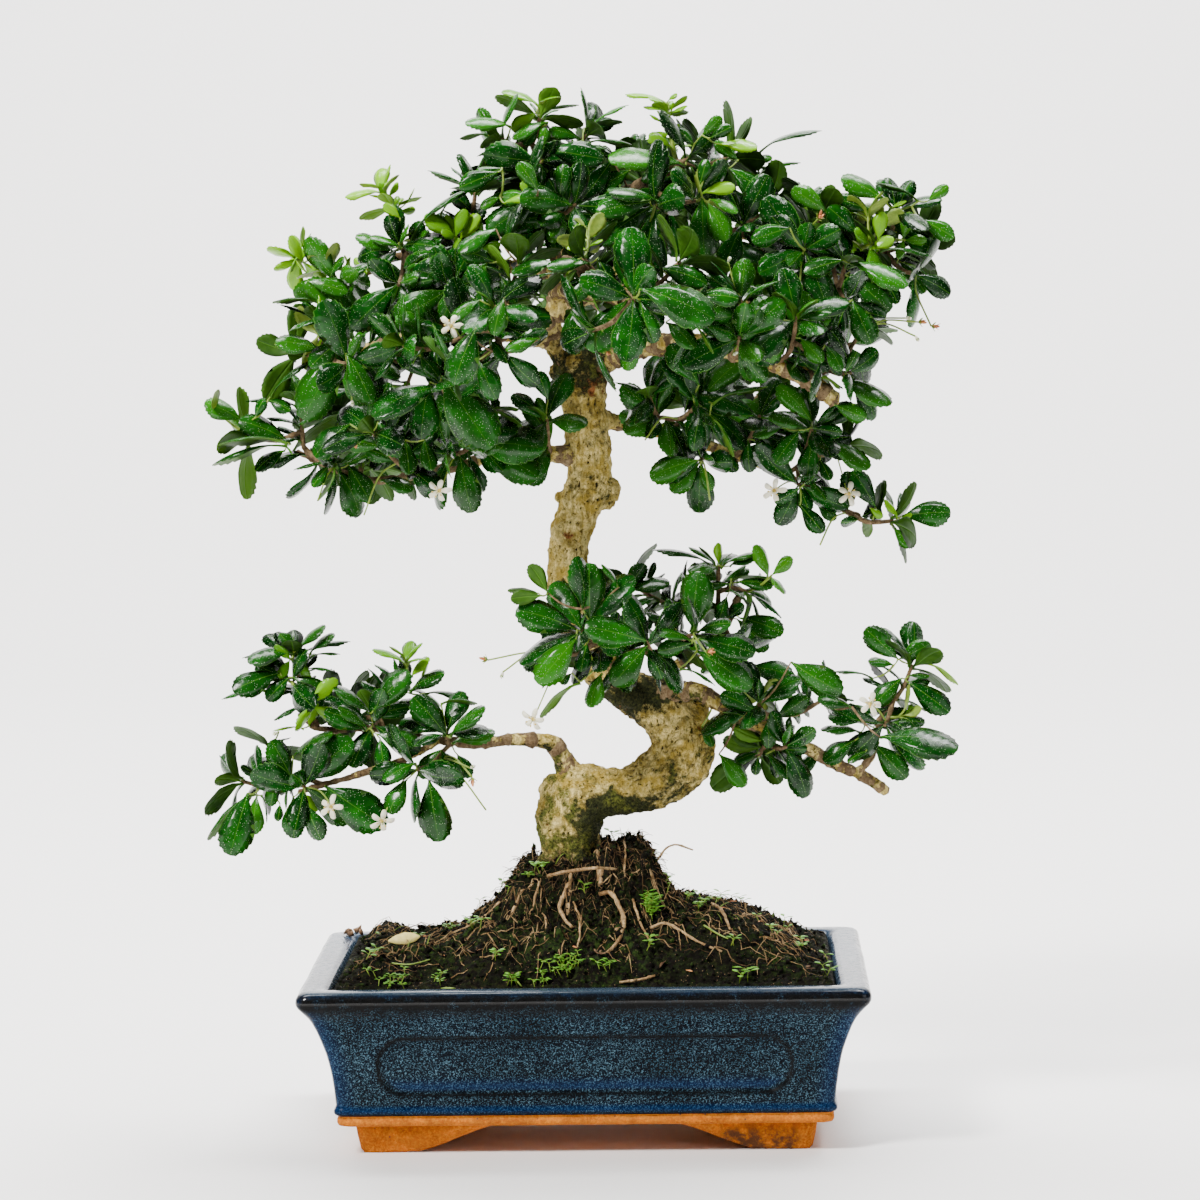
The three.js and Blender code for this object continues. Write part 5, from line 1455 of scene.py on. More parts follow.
def bark_cover(at, far, down, red):
    """How much algae, moss and scar there is at a point; the algae share is also painted shade on bark facing
    down and under the trunk's low bend.
    """
    x, y, z = at
    patch = bumps(x, y, z, 11, 3)
    low = smooth(232, 196, z)
    # Painted shade: bark facing down, and bark under the trunk's low bend and in its fork, gets more of the
    # black algae colour.
    under = smooth(0.1, -0.7, down)
    under_bend_shade = smooth(7, 14, x) * smooth(26, 18, x) * smooth(150, 120, z)
    fork = bell(x - 10, 15) * bell(z - 140, 11)
    hood = bell(x - 26, 15) * bell(z - 196, 8)
    inner = smooth(20, 12, far)
    top = smooth(326, 336, z) * inner
    algae = 0.24 + 0.18 * patch + low * (0.13 + 0.2 * under) + 0.24 * top
    algae += 0.55 * fork + 0.5 * hood + 0.5 * under_bend_shade
    algae += 0.16 * smooth(275, 285, z) * inner + 0.35 * smooth(131, 119, z)
    moss = 0.2 + 0.24 * patch + low * 0.17 + 0.2 * top + 0.12 * fork
    moss += 0.24 * smooth(170, 120, z) * smooth(4, -8, x)
    scar = 0.2 + red + 0.25 * bell(x - 14, 9) * bell(z - 187, 9)
    scar += 0.3 * fork * smooth(134, 128, z) + 0.26 * bell(z - 333, 7) * smooth(-4, 4, x)
    return algae, moss, scar


def build_wood():
    solid = merged_wood()
    count = len(solid.vertices)
    places = np.empty(count * 3, dtype=np.float32)
    solid.vertices.foreach_get("co", places)
    places = (places.reshape(-1, 3) - SHIFT) * 1000
    normals = np.empty(count * 3, dtype=np.float32)
    solid.vertex_normals.foreach_get("vector", normals)
    normals = normals.reshape(-1, 3)
    moved = np.empty_like(places)
    numbers = np.zeros((4, count), dtype=np.float32)
    for n, place in enumerate(places):
        at = Vector([float(c) for c in place])
        _, index, far = CENTRE_TREE.find(at)
        up, shade, red = bark_relief(at, far, index)
        # The relief is lower on twigs and under the soil.
        small = smooth(2.0, 9.0, far) if far < 20 else 0.3
        moved[n] = place + normals[n] * up * (0.35 + 0.65 * small) * (1.0 if at.z > 90 else 0.3)
        numbers[:, n] = shade, *bark_cover(at, far, float(normals[n][2]), red)
    solid.vertices.foreach_set("co", (moved * 0.001 + SHIFT).astype(np.float32).ravel())
    for label, values in zip(("height", "algae", "moss", "scar"), numbers):
        solid.attributes.new(label, "FLOAT", "POINT").data.foreach_set("value", values)
    solid.polygons.foreach_set("use_smooth", [True] * len(solid.polygons))
    solid.name = "wood"
    solid.update()
    piece(solid, "wood", [BARK], "bark", "trunk")


# How thick the five surface roots of the source are in the scene, as a share.
ROOT_THICKNESS = (0.7, 0.7, 0.45, 0.45, 0.5)


def build_branches():
    """The thin outer lengths of the branches and roots, which are too fine for the merged wood."""
    form = Form("height", "algae", "moss", "scar")
    for path in list(BRANCHES.values()) + ROOTS[2:]:
        is_root = path in ROOTS
        line = curve_points(path, 1.6)
        if is_root:
            # They leave the trunk under the soil and show further out, the side ones only here and there.
            place = ROOTS.index(path) - 2
            for i, q in enumerate(line):
                q[3] *= ROOT_THICKNESS[place]
                if place < 4:
                    deep = -2.6 - 1.2 * smooth(0.5, 0.34, i / len(line))
                    if place > 1:
                        deep = -0.8 + 1.6 * noise.noise(Vector((i * 0.13, place, 2)))
                    q[2] = mound(q[0], q[1]) + deep
        seed = chance.uniform(0, 50)
        for i, q in enumerate(line):
            q[0] += 0.5 * noise.noise(Vector((i * 0.3, seed, 1)))
            q[2] += 0.5 * noise.noise(Vector((i * 0.3, seed, 7)))
            q[3] *= 1 + 0.4 * noise.noise(Vector((i * 0.5, seed, 3)))
            if i % 7 == 4:
                q[3] *= 1.2

        def wobble(i, a):
            return 1 + 0.13 * noise.noise(Vector((i * 0.5, 1.7 * math.cos(a), 1.7 * math.sin(a) + seed)))

        sides = 10
        high = []
        for i in range(len(line)):
            for k in range(sides):
                angle = 2 * math.pi * k / sides
                spot = Vector((i * 0.35, 2.4 * math.cos(angle), 2.4 * math.sin(angle) + seed))
                high.append(0.55 + 0.6 * noise.noise(spot))
        low = 0.12 * smooth(240, 190, path[0][2])
        add_tube(form, line, sides, 1 if is_root else 0, wobble,
                 height=high + [0.5], algae=0.22 + low, moss=0.12 + low, scar=0.2)
    piece(form, "branches", [TWIG_BARK, ROOT], "bark")


build_wood()
build_branches()


# Shoots and leaves


class Draws:
    """The part's own repeatable numbers, in the part's order."""

    seed = 20240

    def __call__(self):
        self.seed = (self.seed * 1664525 + 1013904223) % 4294967296
        return self.seed / 4294967296


def attach_point(branch, target):
    centres = [vec(*q[:3]) for q in branch]
    best = None
    for i in range(len(centres) - 1):
        for step in range(8):
            share = step / 8
            point = centres[i] + (centres[i + 1] - centres[i]) * share
            distance = np.linalg.norm(point - target)
            if i + share > 0.5 and (best is None or distance < best[0]):
                best = (distance, point, i + share)
    back = min(0.5 * best[0], 9)
    place, point = best[2], best[1]
    while place > 0.6 and np.linalg.norm(point - best[1]) < back:
        place -= 0.05
        i = math.floor(place)
        point = centres[i] + (centres[i + 1] - centres[i]) * (place - i)
    return point


def angle_between(a, b):
    return math.acos(max(-1.0, min(1.0, float(np.dot(unit(a), unit(b))))))


def node_tree(name):
    """The corners of a CAD node, to look points up in."""
    return tree_of([(np.array(v.co) - SHIFT) * 1000 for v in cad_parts[name].data.vertices])


def off(tree, point):
    return tree.find(Vector(point))[2]


def with_radii(centres, radii):
    return [[*c, r] for c, r in zip(centres, radii)]


def grow_twigs(name, on, tips, draws):
    """The shoots of a spray, each with the way that it really took in the node's mesh."""
    tree = node_tree("spray_" + name)
    points = [vec(*t[:3]) for t in tips]
    centre = sum(points) / len(points)
    root = attach_point(BRANCHES[on], centre)
    reach = max(0.4 * np.linalg.norm(root - centre), 7)
    fork = root + unit(centre - root) * reach
    order = sorted(range(len(tips)), key=lambda i: angle_between(points[i] - fork, fork - root))
    joints = [fork] if len(tips) > 1 else [root]
    shoots = []
    for number, index in enumerate(order):
        tip = points[index]
        start = min(joints, key=lambda joint: np.linalg.norm(joint - tip))
        length = np.linalg.norm(start - tip)
        sagging = (start + tip) / 2 + vec(0, 0, -0.12 * length)
        spin = 2 * math.pi * draws()
        best = None
        for bend in TWIG_TRIES:
            middle = sagging + vec(*bend) * length
            bud = tip - unit(tip - middle) * 1.5
            centres, radii = [start, middle, bud, tip], [0.8, 1.3, 1.1, 1.1]
            if number == 0:
                radii[0] = 1.6
                if len(tips) > 1:
                    centres.insert(0, root)
                    radii.insert(0, 1.6)
            rings = tube_rings(with_radii(centres, radii), 4, 0, spin)
            miss = sum(off(tree, corner) for corner in rings[-3])
            if best is None or miss < best[0] - 0.05:
                best = (miss, middle, centres, rings)
        joints.append(best[1])
        shoots.append({"middle": best[1], "tip": tip, "centres": best[2], "rings": best[3], "leaves": [],
                       "count": tips[index][3], "size": tips[index][4], "index": index, "miss": best[0]})
    return shoots, tree


def leaf_at(shoot, rank, side, draws, attempt):
    turn, tilt, scale = attempt
    axis = unit(shoot["tip"] - shoot["middle"])
    low, high = shoot["rings"][-2:]
    after = (side + 1) % 4
    root = (low[side] + low[after] + high[side] + high[after]) / 4
    outward = root - shoot["tip"]
    outward = unit(outward - axis * np.dot(outward, axis))
    outward = turned(outward, axis, math.radians(20 * (draws[0] - 0.5) + turn))
    opening = math.radians(80 - 34 * rank + 16 * (draws[1] - 0.5) + tilt)
    along = axis * math.cos(opening) + outward * math.sin(opening)
    normal = axis * math.sin(opening) - outward * math.cos(opening)
    normal = turned(normal, along, 0.5 * (draws[2] - 0.5))
    length = shoot["size"] * scale * (1 - 0.26 * rank) * (0.98 + 0.16 * draws[3])
    return root, along, normal, length


def find_leaves(shoot, tree, draws):
    """The leaves that the node's mesh has on a shoot."""
    missing = 0
    for number in range(shoot["count"]):
        numbers = [draws(), draws(), draws(), draws()]
        rank = number / (shoot["count"] - 1) if shoot["count"] > 1 else 0
        best = None
        for attempt in LEAF_TRIES:
            leaf = leaf_at(shoot, rank, BUD_SIDES[number], numbers, attempt)
            root, along, normal, length = leaf
            miss = off(tree, root + along * length - normal * 0.16 * length)
            if best is None or miss < best[0]:
                best = (miss, leaf)
        if best[0] < 0.2:
            shoot["leaves"].append(best[1])
        else:
            missing += 1
    return missing


# A leaf's half width at shares of its length, with the shallow teeth of its tip.
PROFILE = [
    (0.0, 0.07), (0.05, 0.09), (0.12, 0.19), (0.21, 0.4), (0.32, 0.62), (0.44, 0.82), (0.56, 0.96),
    (0.66, 1.0), (0.735, 0.985), (0.757, 0.895), (0.83, 0.885), (0.852, 0.755), (0.912, 0.7),
    (0.932, 0.51), (0.985, 0.36), (1.0, 0.08),
]
FINE, PLAIN = (-1.0, -0.52, 0.0, 0.52, 1.0), (-1.0, 0.0, 1.0)


def leaf_template(across):
    """A leaf's points and faces, with that many lines of points from side to side."""
    rows = len(PROFILE)
    columns = len(across)
    top = [(s, t, w) for s, w in PROFILE for t in across]
    faces, slots = [], []
    for i in range(rows - 1):
        for j in range(columns - 1):
            a = i * columns + j
            faces.append((a, a + 1, a + columns + 1, a + columns))
            slots.append(0)
    # The underside shares the outline with the top and has its own inner points.
    first = len(top)
    inner = {}
    for i in range(rows):
        for j in range(1, columns - 1):
            inner[(i, j)] = first + len(inner)

    def low(i, j):
        return inner[(i, j)] if (i, j) in inner else i * columns + j

    for i in range(rows - 1):
        for j in range(columns - 1):
            faces.append((low(i + 1, j), low(i + 1, j + 1), low(i, j + 1), low(i, j)))
            slots.append(1)
    for i, sign in ((0, 1), (rows - 1, -1)):
        loop = [i * columns + j for j in range(columns)] + [low(i, j) for j in range(columns - 2, 0, -1)]
        faces.append(tuple(loop[::-1] if sign > 0 else loop))
        slots.append(1)
    under = [(PROFILE[i][0], across[j], PROFILE[i][1]) for (i, j) in inner]
    return np.array(top + under), np.array([0.0] * len(top) + [1.0] * len(under)), faces, slots


TEMPLATES = {name: leaf_template(across) for name, across in (("fine", FINE), ("plain", PLAIN))}


def add_leaf(form, leaf, tint, identity, loose=1.0, narrow=1.0, detail="fine"):
    """A finished leaf: convex, with a channelled midrib, a bent tip and toothed shoulders."""
    root, along, normal, length = leaf
    across = unit(np.cross(normal, along))
    corners, low, faces, slots = TEMPLATES[detail]
    s, t, w = corners.T
    rnd = random.Random(identity)
    half = 0.275 * length * narrow
    wave = rnd.uniform(0, 6.28)
    ripple = rnd.uniform(0.004, 0.014) * loose
    cup = rnd.uniform(0.07, 0.12)
    curl = rnd.uniform(0.9, 1.15) if loose < 1 else rnd.uniform(0.75, 1.5)
    sweep = rnd.uniform(-0.05, 0.05) * loose
    twist = rnd.uniform(-0.25, 0.25) * loose
    uneven = 1 + 0.05 * np.sin(s * 7 + wave) * np.sign(t)
    x = t * w * half * uneven + sweep * s * s * length
    arch = 0.208 * s * (1 - s) - 0.16 * curl * np.maximum(0, s - 0.25) ** 2 / 0.5625
    fold = -cup * (w * np.abs(t)) ** 2
    groove = -0.012 * (np.abs(t) < 0.1) * np.sin(np.pi * np.minimum(1, s * 1.1))
    z = (arch + fold + groove + ripple * np.abs(t) * np.sin(s * 16 + wave + 2.0 * np.sign(t))) * length
    z += twist * s * x
    z -= low * (0.32 + 0.5 * (np.abs(t) < 0.1) * (1 - 0.8 * s)) * min(1.0, length / 18)
    # The stalk end is rounder than the blade.
    stalk = np.clip(1 - s / 0.14, 0, 1)
    z -= low * stalk * 0.55
    points = root + np.outer(s * length, along) + np.outer(x, across) + np.outer(z, normal)
    points = np.clip(points, BOX_LOW, BOX_HIGH)
    place = np.stack([t * w * half, s * length, np.full_like(s, (identity % 997) * 9.0)], axis=1)
    form.add(points.tolist(), faces, slots, tint=tint, place=place.tolist(), edge=np.abs(t).tolist())


def coarse_leaf(leaf):
    """A leaf in ten triangles, to test it against its neighbours."""
    root, along, normal, length = leaf
    across = unit(np.cross(normal, along))
    half = 0.285 * length
    points = [root + along * length * 0.1]
    for s, w in ((0.4, -0.6), (0.7, -1.0), (0.88, -0.75), (1.0, 0.0), (0.88, 0.75), (0.7, 1.0), (0.4, 0.6)):
        droop = 0.16 * max(0, s - 0.3) ** 2 * 2 + 0.05 * abs(w)
        points.append(root + along * length * s + across * half * w - normal * length * droop)
    points.append(root + along * length * 0.55 + normal * length * 0.045)
    faces = [(8, i, i + 1) for i in range(7)] + [(8, 7, 0)]
    return points, faces


class Crowd:
    """What is already there, kept in boxes of space for quick tests."""

    size = 14.0

    def __init__(self):
        self.boxes = {}

    def cells(self, points):
        low = np.floor(np.min(points, axis=0) / self.size).astype(int)
        high = np.floor(np.max(points, axis=0) / self.size).astype(int)
        for i in range(low[0], high[0] + 1):
            for j in range(low[1], high[1] + 1):
                for k in range(low[2], high[2] + 1):
                    yield (i, j, k)

    def put(self, points, faces):
        tree = BVHTree.FromPolygons([Vector(p) for p in points], faces)
        for cell in self.cells(points):
            self.boxes.setdefault(cell, []).append(tree)

    def free(self, points, faces):
        tree = BVHTree.FromPolygons([Vector(p) for p in points], faces)
        tried = set()
        for cell in self.cells(points):
            for other in self.boxes.get(cell, ()):
                if id(other) not in tried:
                    tried.add(id(other))
                    if tree.overlap(other):
                        return False
        return True


def put_tube(crowd, points, sides=5):
    """A tube, in short lengths so that each stays in few boxes."""
    for i in range(len(points) - 1):
        rings = tube_rings(points[i:i + 2], sides, 0.25)
        flat = [p for ring in rings for p in ring]
        crowd.put(flat, ring_faces(2, sides))


# Young shoots are bright: spray and which of its tips, then how bright.
YOUNG = {
    ("left_high_tip", 1): 1.0, ("left_high_mid", 0): 0.95, ("top_right", 0): 0.9,
    ("right_high_tip", 1): 0.75, ("left_tip", 0): 0.55, ("top", 0): 0.45, ("left_high_tip", 0): 0.35,
    ("top", 1): 0.25, ("mid_side", 1): 0.3,
}
# More young shoots: the pixel of the top, the depth, size, leaves and brightness.
SPROUTS = [
    (213, 408, -6, 11, 4, 0.95), (588, 236, -46, 10, 5, 0.85), (868, 214, -18, 12, 5, 0.85),
    (313, 706, -24, 12, 3, 0.85), (540, 104, -2, 12, 4, 0.7), (384, 190, -6, 12, 5, 0.95),
    (300, 258, -6, 13, 5, 1.0), (667, 102, -6, 13, 6, 0.9), (456, 236, -20, 11, 4, 0.7),
    (700, 200, -34, 10, 3, 0.6), (330, 268, -16, 11, 4, 0.6), (406, 660, -12, 11, 5, 0.7),
    (903, 716, -14, 10, 4, 0.7), (880, 225, -12, 10, 4, 0.6), (772, 575, -8, 11, 3, 0.5),
    (290, 660, -8, 9, 3, 0.6), (480, 250, -14, 9, 3, 0.6), (318, 335, -22, 12, 3, 0.75),
    (905, 240, -10, 9, 3, 0.5), (640, 250, -40, 9, 3, 0.5), (760, 700, -20, 9, 4, 0.55),
    (596, 745, -34, 8, 2, 0.6), (400, 210, -4, 8, 3, 0.8),
]
# Where leaves would hide wood or flowers that the photograph shows: boxes of x, y and z.
OPEN_WOOD = [
    ((-17, 17), (-70, 4), (240, 262)), ((-13, 19), (-70, 4), (262, 306)),
    ((-9, 15), (-60, 4), (306, 344)), ((-26, 62), (-80, 10), (70, 190)),
    ((-60, -8), (-60, 10), (150, 190)), ((90, 160), (-60, 60), (240, 262)),
    ((-100, -24), (-60, 60), (226, 272)), ((-160, -100), (-60, 60), (242, 280)),
    ((18, 60), (-60, 20), (262, 292)),
]


def in_limits(points):
    """Whether the points stay in the box of the source."""
    low, high = np.min(points, axis=0), np.max(points, axis=0)
    return bool(np.all(low > LIMIT_LOW) and np.all(high < LIMIT_HIGH))


def in_open(points):
    low, high = np.min(points, axis=0), np.max(points, axis=0)
    for (x0, x1), (y0, y1), (z0, z1) in OPEN_WOOD:
        if high[0] > x0 and low[0] < x1 and high[1] > y0 and low[1] < y1 and high[2] > z0 and low[2] < z1:
            return True
    for _, _, at, _ in FLOWERS:
        middle = (low + high) / 2
        if abs(middle[0] - at[0]) < 12 and abs(middle[2] - at[2]) < 12 and middle[1] < at[1] + 6:
            return True
    return False


draws = Draws()
sprays = {}
for name, on, tips in SPRAYS:
    sprays[name] = grow_twigs(name, on, tips, draws)
lost = 0
for name, (shoots, tree) in sprays.items():
    for shoot in shoots:
        lost += find_leaves(shoot, tree, draws)
found = sum(len(shoot["leaves"]) for shoots, _ in sprays.values() for shoot in shoots)
worst = max(shoot["miss"] for shoots, _ in sprays.values() for shoot in shoots)
print(f"leaves found {found}, not found {lost}, worst shoot {worst:.2f} mm")

crowd = Crowd()
for path in list(BRANCHES.values()) + ROOTS[2:]:
    put_tube(crowd, path)
put_tube(crowd, TRUNK, 8)
for shoots, _ in sprays.values():
    for shoot in shoots:
        put_tube(crowd, with_radii(shoot["centres"], [1.3] * len(shoot["centres"])), 4)
        for leaf in shoot["leaves"]:
            crowd.put(*coarse_leaf(leaf))
for _, _, at, faces in FLOWERS:
    at, faces = vec(*at), unit(vec(*faces))
    side = unit(np.cross(vec(0, 0, 1), faces))
    up = np.cross(faces, side)
    disc = [at + faces * 2 + (side * math.cos(k) + up * math.sin(k)) * 7 for k in range(6)]
    crowd.put(disc, [(0, k, k + 1) for k in range(1, 5)])


# The leaves that the photograph shows best: the pixels of the root and the tip, how the leaf lies (b broad
# to the viewer, m slanted, n edge on, u with its underside shown) and how light it is (y young, l light,
# o olive, d dark).
POSED = """
590,621>590,564b 583,609>576,558md 577,630>518,608b 647,641>580,626b 647,646>613,684b 649,647>661,679b
694,632>697,572b 692,643>658,651b 691,640>658,632m 699,639>754,654b 697,651>751,687b 697,632>731,623m
674,626>647,614m 576,639>537,682bl 572,637>544,651m 577,634>561,648m 587,643>581,671md 548,593>531,564u
542,596>511,598u 538,593>508,590n 624,590>644,564b 627,590>669,583m 619,587>602,565m 602,673>591,707ml
580,682>540,716nl 572,673>561,684m 713,566>654,548n 718,565>718,543my 729,566>756,557m 731,579>780,582n
736,582>772,587m 730,584>702,587m 727,596>719,621bd 740,618>783,632m 737,619>766,651b
747,668>793,676m 791,662>841,693b 758,712>722,693b 747,718>723,712n 776,718>808,698b 769,718>769,748b
852,707>815,698m 898,659>865,630b 899,659>930,644b 894,665>869,662m 874,678>833,672n 902,678>874,704b
908,682>949,712b 908,676>929,676m 924,662>958,684ny 865,723>829,716m 861,732>822,729m 855,740>824,761b
874,726>908,712b 877,729>924,721m 880,737>962,751m 874,743>905,779b 866,751>848,762m 822,751>798,772m
758,753>734,762m 758,757>755,775b 766,754>791,779m 719,754>745,786bl 702,726>713,746m
296,649>280,634b 298,650>324,626m 309,654>334,634m 293,652>248,660m 295,673>307,650ml 309,657>340,654n
302,670>333,670n 280,673>234,691m 266,690>222,699n 289,677>267,700b 293,677>330,698b 309,726>316,698by
370,713>334,688m 373,711>409,673b 368,729>339,707m 366,731>325,711m 373,717>409,707b 377,734>416,745b
373,736>361,763b 380,738>384,768m 447,736>413,698b 450,736>484,709m 452,743>494,734ml 447,747>420,777b
441,750>459,779b 416,763>384,781m 407,779>389,813m 429,779>438,841b 457,754>470,777md 409,693>443,673m
425,693>466,698n 441,703>477,703n 411,677>429,659my 255,786>193,784n 259,779>241,766m 291,777>271,741b
275,777>271,806b 255,793>207,838n 257,795>255,834bl 248,793>230,854m 280,804>278,821m 293,797>293,838b
307,804>321,840b 325,786>384,827b 302,781>352,741b 293,756>332,734m
302,262>290,236my 302,262>310,240my 300,262>280,248my 387,200>370,195my 387,198>379,183my 389,198>398,183my
400,218>384,204by 395,252>356,238ml 410,240>465,188n 440,213>468,190n 456,236>446,216by 460,240>478,215my
380,260>400,280b 342,280>367,265m 330,278>343,257m 310,277>330,259bl 343,305>306,282bl 346,300>354,283ml
320,302>273,303n 320,346>320,296ny 321,350>276,342bo 342,339>311,367b 342,347>304,419b 346,353>372,402b
360,353>398,378m 420,356>438,376m 470,335>462,388b 442,376>490,448b 430,382>420,438b 480,380>496,398m
350,424>314,455b 378,422>400,456b 405,440>410,474m 424,440>432,470m 460,456>472,512b 348,465>370,501b
380,480>413,489m 337,464>294,469n 336,468>318,501no 287,440>240,420b 288,443>220,444no 287,445>213,465n
285,450>256,470md 242,420>205,403bl 255,418>265,399md 268,400>290,410m 270,397>310,360n 290,455>345,412no
511,126>466,123ml 488,135>460,138n 508,147>477,156n 518,152>495,167bl 536,113>512,130by 538,108>552,94bl
540,115>578,104n 548,122>513,139m 538,125>525,145m 541,150>545,128bl 548,150>602,160b 582,140>550,130m
590,128>627,104nl 584,128>622,122n 584,143>632,144n 590,145>611,154md 686,165>610,159ml 673,170>642,180ml
612,160>582,200bd 630,170>590,196b 538,191>518,160bo 560,200>565,165b 536,199>522,182by 536,201>500,198bl
500,197>481,208bl 502,168>473,181b 498,172>460,188b 474,214>452,192bd 536,201>487,231b 496,229>460,252m
495,262>460,250b 488,262>475,280bl 452,272>440,285b 500,275>516,303b 555,262>513,274md 590,263>548,268m
568,273>518,284nl 600,275>570,298b 598,258>612,284bd 652,206>600,241b 650,202>597,213b 660,202>608,190m
702,197>704,257b 708,203>727,239ml 683,175>668,208b 684,178>690,200nl 700,185>707,160b 702,193>734,186by
710,199>737,212ml 666,105>649,98my 668,101>677,94my 666,119>657,111my 670,115>687,106my 664,125>650,115my
670,133>648,141by 694,145>676,129b 702,135>722,118bl 710,138>731,127b 738,160>715,142bl 740,158>756,146by
757,153>820,129n 760,173>800,162n 748,162>772,158ml 729,168>777,206b 828,212>793,189bo 884,201>842,178bo
919,201>879,183n 928,201>948,186bl 926,219>969,209bo 922,220>953,238b 951,227>966,228n 897,232>935,250bd
890,220>912,232b 880,250>931,256n 878,240>882,212by 870,250>893,238by 862,250>841,239my 858,234>829,207b
870,210>838,200bd 842,258>822,237bd 843,260>804,272b 850,263>907,284mo 900,262>925,292b 905,262>938,287nl
853,277>890,310b 885,280>898,303m 850,272>833,303bd 852,300>872,343b 843,312>833,342bd 805,250>772,218bd
790,228>752,240b 726,242>770,262m 660,268>706,284b 640,289>714,318b 700,296>738,298bd 627,300>590,350b
582,300>573,352b 640,300>655,342bd 636,335>626,370bl 666,322>694,347m 690,322>714,352nl 699,385>670,345bd
705,395>740,360bo 548,400>538,372bd 504,298>493,338b 490,340>508,363md 476,328>452,388b 478,360>497,398b
462,282>443,318bd 480,300>452,320m 540,338>507,350mo 778,318>770,362bl 800,338>822,362bl 825,345>842,370m
845,373>857,352bo 842,380>890,404mo 716,407>760,413bo 712,403>767,387no 812,422>780,385bo 835,405>866,418bo
812,428>842,432bd 826,442>870,466ml 800,430>775,463b 812,440>806,478b 820,460>830,480m 702,410>693,450bd
710,415>735,455nl 697,460>650,475bo 700,462>672,492bo 700,465>712,490bo 716,452>738,470bd 748,440>750,472bd
755,440>772,460md 785,427>754,437mo 800,488>775,502bd 800,505>822,533bd 815,500>835,520b 808,480>825,500m
876,508>852,472b 870,508>882,518by 898,518>884,501my 902,516>950,512b 900,520>912,514my 900,522>912,528my
893,528>912,547bo
945,222>968,205n 330,465>313,487b 680,668>715,684n 900,255>921,262n 262,795>267,822n 215,770>198,783n
308,281>347,292bl 275,344>321,348nl 402,248>371,237ml 504,203>534,196my 582,244>578,224by 588,248>602,240my
589,251>567,248my 720,144>756,148my 672,148>649,135my 890,209>906,201my 300,793>318,810by 304,728>273,731ny
411,693>430,659ny
"""
LIES = {"b": (0, -1, 0.3, -0.12), "m": (0, -0.6, 0.85, -0.35), "n": (0, 0.1, 1, 0.0), "u": (0, 1, 0.35, -0.1)}
LIGHT = {"y": 0.85, "l": 0.36, "o": 0.28, "d": 0.0, "": 0.07}
DEPTH_TRIES = (0, -4, 4, -8, 8, -12, 12, -16, -20, 16, -25, 20, -30, 24)
# The longest stem that joins a leaf or a young shoot to the wood.
LONGEST_STEM = 34
# The side of a small square of the picture, in pixels.
CELL = 6.0


def project(point):
    away = point - CAMERA_AT
    deep = np.dot(away, FORWARD)
    offset = vec(np.dot(away, RIGHT), -np.dot(away, UP))
    return PIXELS / 2 + FOCAL * offset / deep


def cells_of(points):
    """The small squares of the picture that a leaf covers, with its depth there."""
    flat = {}
    corners = np.array(points)
    middle = corners[-1]
    for corner in corners[:-1]:
        for share in (0.0, 0.35, 0.7, 1.0):
            at = middle + (corner - middle) * share
            px, py = project(at) / CELL
            cell = (int(px), int(py))
            flat[cell] = min(flat.get(cell, 1e9), at[1])
    return flat


def pose_leaf(kind, start, end, y, scale):
    root = at_depth(*start, y)
    length = math.dist(start, end) / 2.237
    *hint, lean = LIES[kind]
    tip = at_depth(*end, y + lean * length)
    straight = unit(tip - root)
    hint = vec(*hint) + vec(posing.gauss(0, 0.18), posing.gauss(0, 0.1), posing.gauss(0, 0.18))
    if kind == "n" and abs(straight[2]) > 0.75:
        hint = vec(1, 0.1, 0.3)
    normal = unit(hint - straight * np.dot(hint, straight))
    length = np.linalg.norm(tip - root) * scale
    along = unit(straight + normal * 0.15)
    normal = unit(normal - along * np.dot(normal, along))
    return root, along, normal, length


